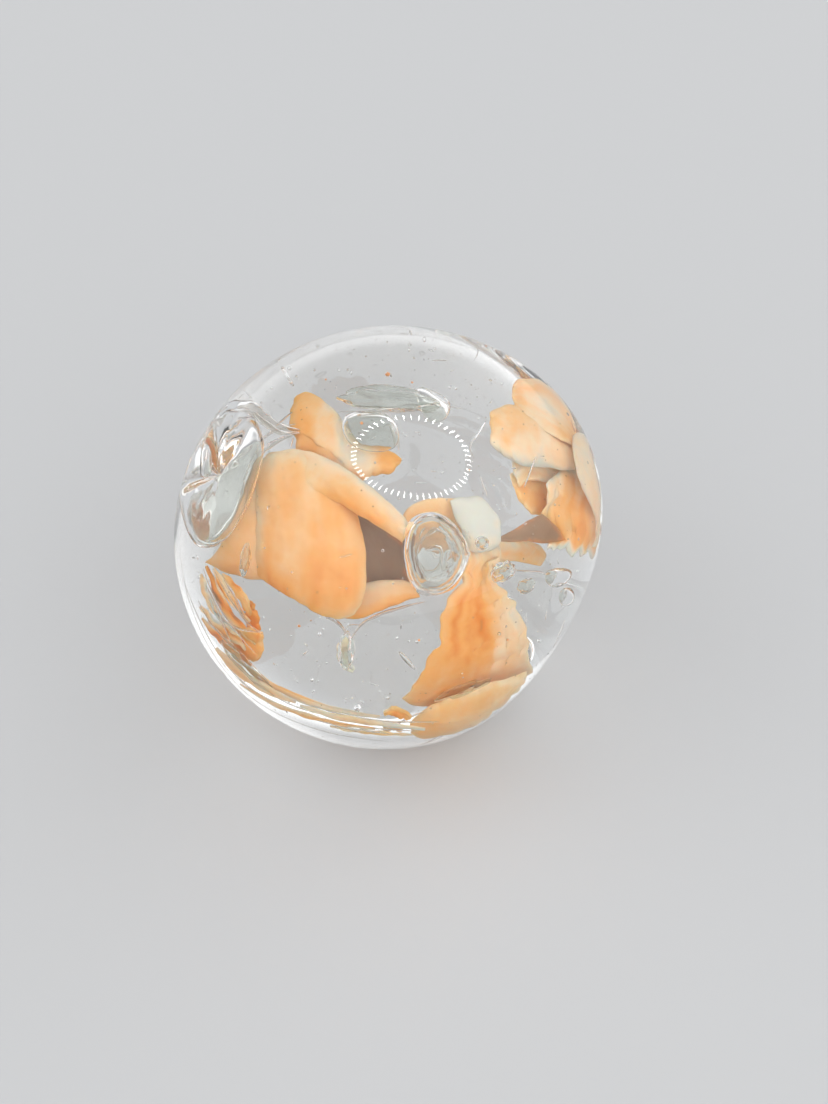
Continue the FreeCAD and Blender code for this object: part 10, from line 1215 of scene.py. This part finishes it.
# one soft sky: a dim surround that brightens upwards, and wide soft-edged lights in it
light = wmath("ADD", wmath("MULTIPLY", smooth(ws.outputs["Z"], -0.05, 1.0), 0.16), 0.38)
for part in (lobe((-0.50, -0.35, 0.80), 0.50, 0.98, 0.46), lobe((0.12, -0.06, 0.99), 0.86, 0.99, 0.25), lobe((0.80, 0.30, 0.50), 0.60, 0.98, 0.9),
             lobe((0.20, -0.93, 0.24), 0.45, 0.98, 1.7), lobe((-0.93, -0.20, 0.22), 0.55, 0.98, 1.2), lobe((0.82, -0.50, 0.30), 0.62, 0.98, 0.8),
             wmath("MULTIPLY", wmath("MULTIPLY", smooth(ws.outputs["Y"], 0.35, 0.95), smooth(ws.outputs["Z"], -0.02, 0.06)),
                   wmath("MULTIPLY", wmath("SUBTRACT", 1.0, smooth(ws.outputs["Z"], 0.12, 0.34)), 1.3))):
    light = wmath("ADD", light, part)
light = wmath("ADD", light, wmath("MULTIPLY", wmath("SUBTRACT", 1.0, smooth(ws.outputs["Z"], 0.02, 0.16)), 0.5))
light = wmath("MULTIPLY", light, wmath("ADD", wmath("MULTIPLY", smooth(ws.outputs["Z"], 0.0, 0.22), 0.33), 0.55))
bg.inputs["Color"].default_value = (0.985, 0.99, 1.0, 1)
wl.new(light, bg.inputs["Strength"])
world.cycles.sampling_method = "MANUAL"
world.cycles.sample_map_resolution = 512

# the ring of lamps overhead, which the top of the glass mirrors
def ring_light():
    at = Vector((0.0043, -0.0188, 0.0644))
    axis = Vector((0.199, -0.094, 0.976)).normalized()
    across = axis.cross(Vector((0, 1, 0))).normalized()
    along = axis.cross(across).normalized()
    bm = bmesh.new()
    for k in range(54):
        a = 2 * math.pi * k / 54
        out = across * (0.195 * math.cos(a)) + along * (0.150 * math.sin(a))
        turn = Matrix((out.normalized(), axis.cross(out).normalized(), axis)).transposed().to_4x4()
        bmesh.ops.create_icosphere(bm, subdivisions=2, radius=0.0027, matrix=Matrix.Translation(at + axis * 0.36 + out) @ turn @ Matrix.Diagonal((4.6, 1.0, 1.0, 1.0)))
    me = bpy.data.meshes.new("ring_light")
    bm.to_mesh(me)
    bm.free()
    ob = bpy.data.objects.new("ring_light", me)
    scene.collection.objects.link(ob)
    m = bpy.data.materials.new("lamp")
    m.use_nodes = True
    m.node_tree.nodes.remove(m.node_tree.nodes["Principled BSDF"])
    e = m.node_tree.nodes.new("ShaderNodeEmission")
    e.inputs["Strength"].default_value = 26
    m.node_tree.links.new(e.outputs[0], m.node_tree.nodes["Material Output"].inputs["Surface"])
    me.materials.append(m)
    ob.visible_diffuse = ob.visible_transmission = ob.visible_camera = ob.visible_shadow = False


ring_light()


def softbox(name, at, to, size, power, colour=(1, 1, 1), shape="RECTANGLE"):
    l = bpy.data.lights.new(name, "AREA")
    l.shape = shape
    l.size = size[0]
    if shape in ("RECTANGLE", "ELLIPSE"):
        l.size_y = size[1]
    l.energy = power
    l.color = colour
    o = bpy.data.objects.new(name, l)
    o.location = at
    o.rotation_euler = (Vector(to) - Vector(at)).to_track_quat("-Z", "Y").to_euler()
    scene.collection.objects.link(o)
    return o




cam = bpy.data.cameras.new("camera")
cam.sensor_fit = "VERTICAL"
cam.sensor_height = 36.0
cam.sensor_width = 36.0
cam.lens = 54.652
cam.clip_start, cam.clip_end = 0.01, 20
camera = bpy.data.objects.new("camera", cam)
camera.location = (4.6539 * MM, -231.4817 * MM, 222.8189 * MM)
camera.rotation_euler = (math.radians(50), 0, 0)
scene.collection.objects.link(camera)
scene.camera = camera

scene.cycles.max_bounces = 24
scene.cycles.transmission_bounces = 24
scene.cycles.glossy_bounces = 12
scene.cycles.diffuse_bounces = 4
scene.cycles.transparent_max_bounces = 12
scene.cycles.caustics_refractive = True
scene.cycles.caustics_reflective = True
scene.cycles.blur_glossy = 0.3
scene.cycles.sample_clamp_indirect = 8.0
scene.cycles.use_denoising = True
scene.view_settings.view_transform = "Standard"
scene.view_settings.look = "None"
scene.view_settings.exposure = 0.0
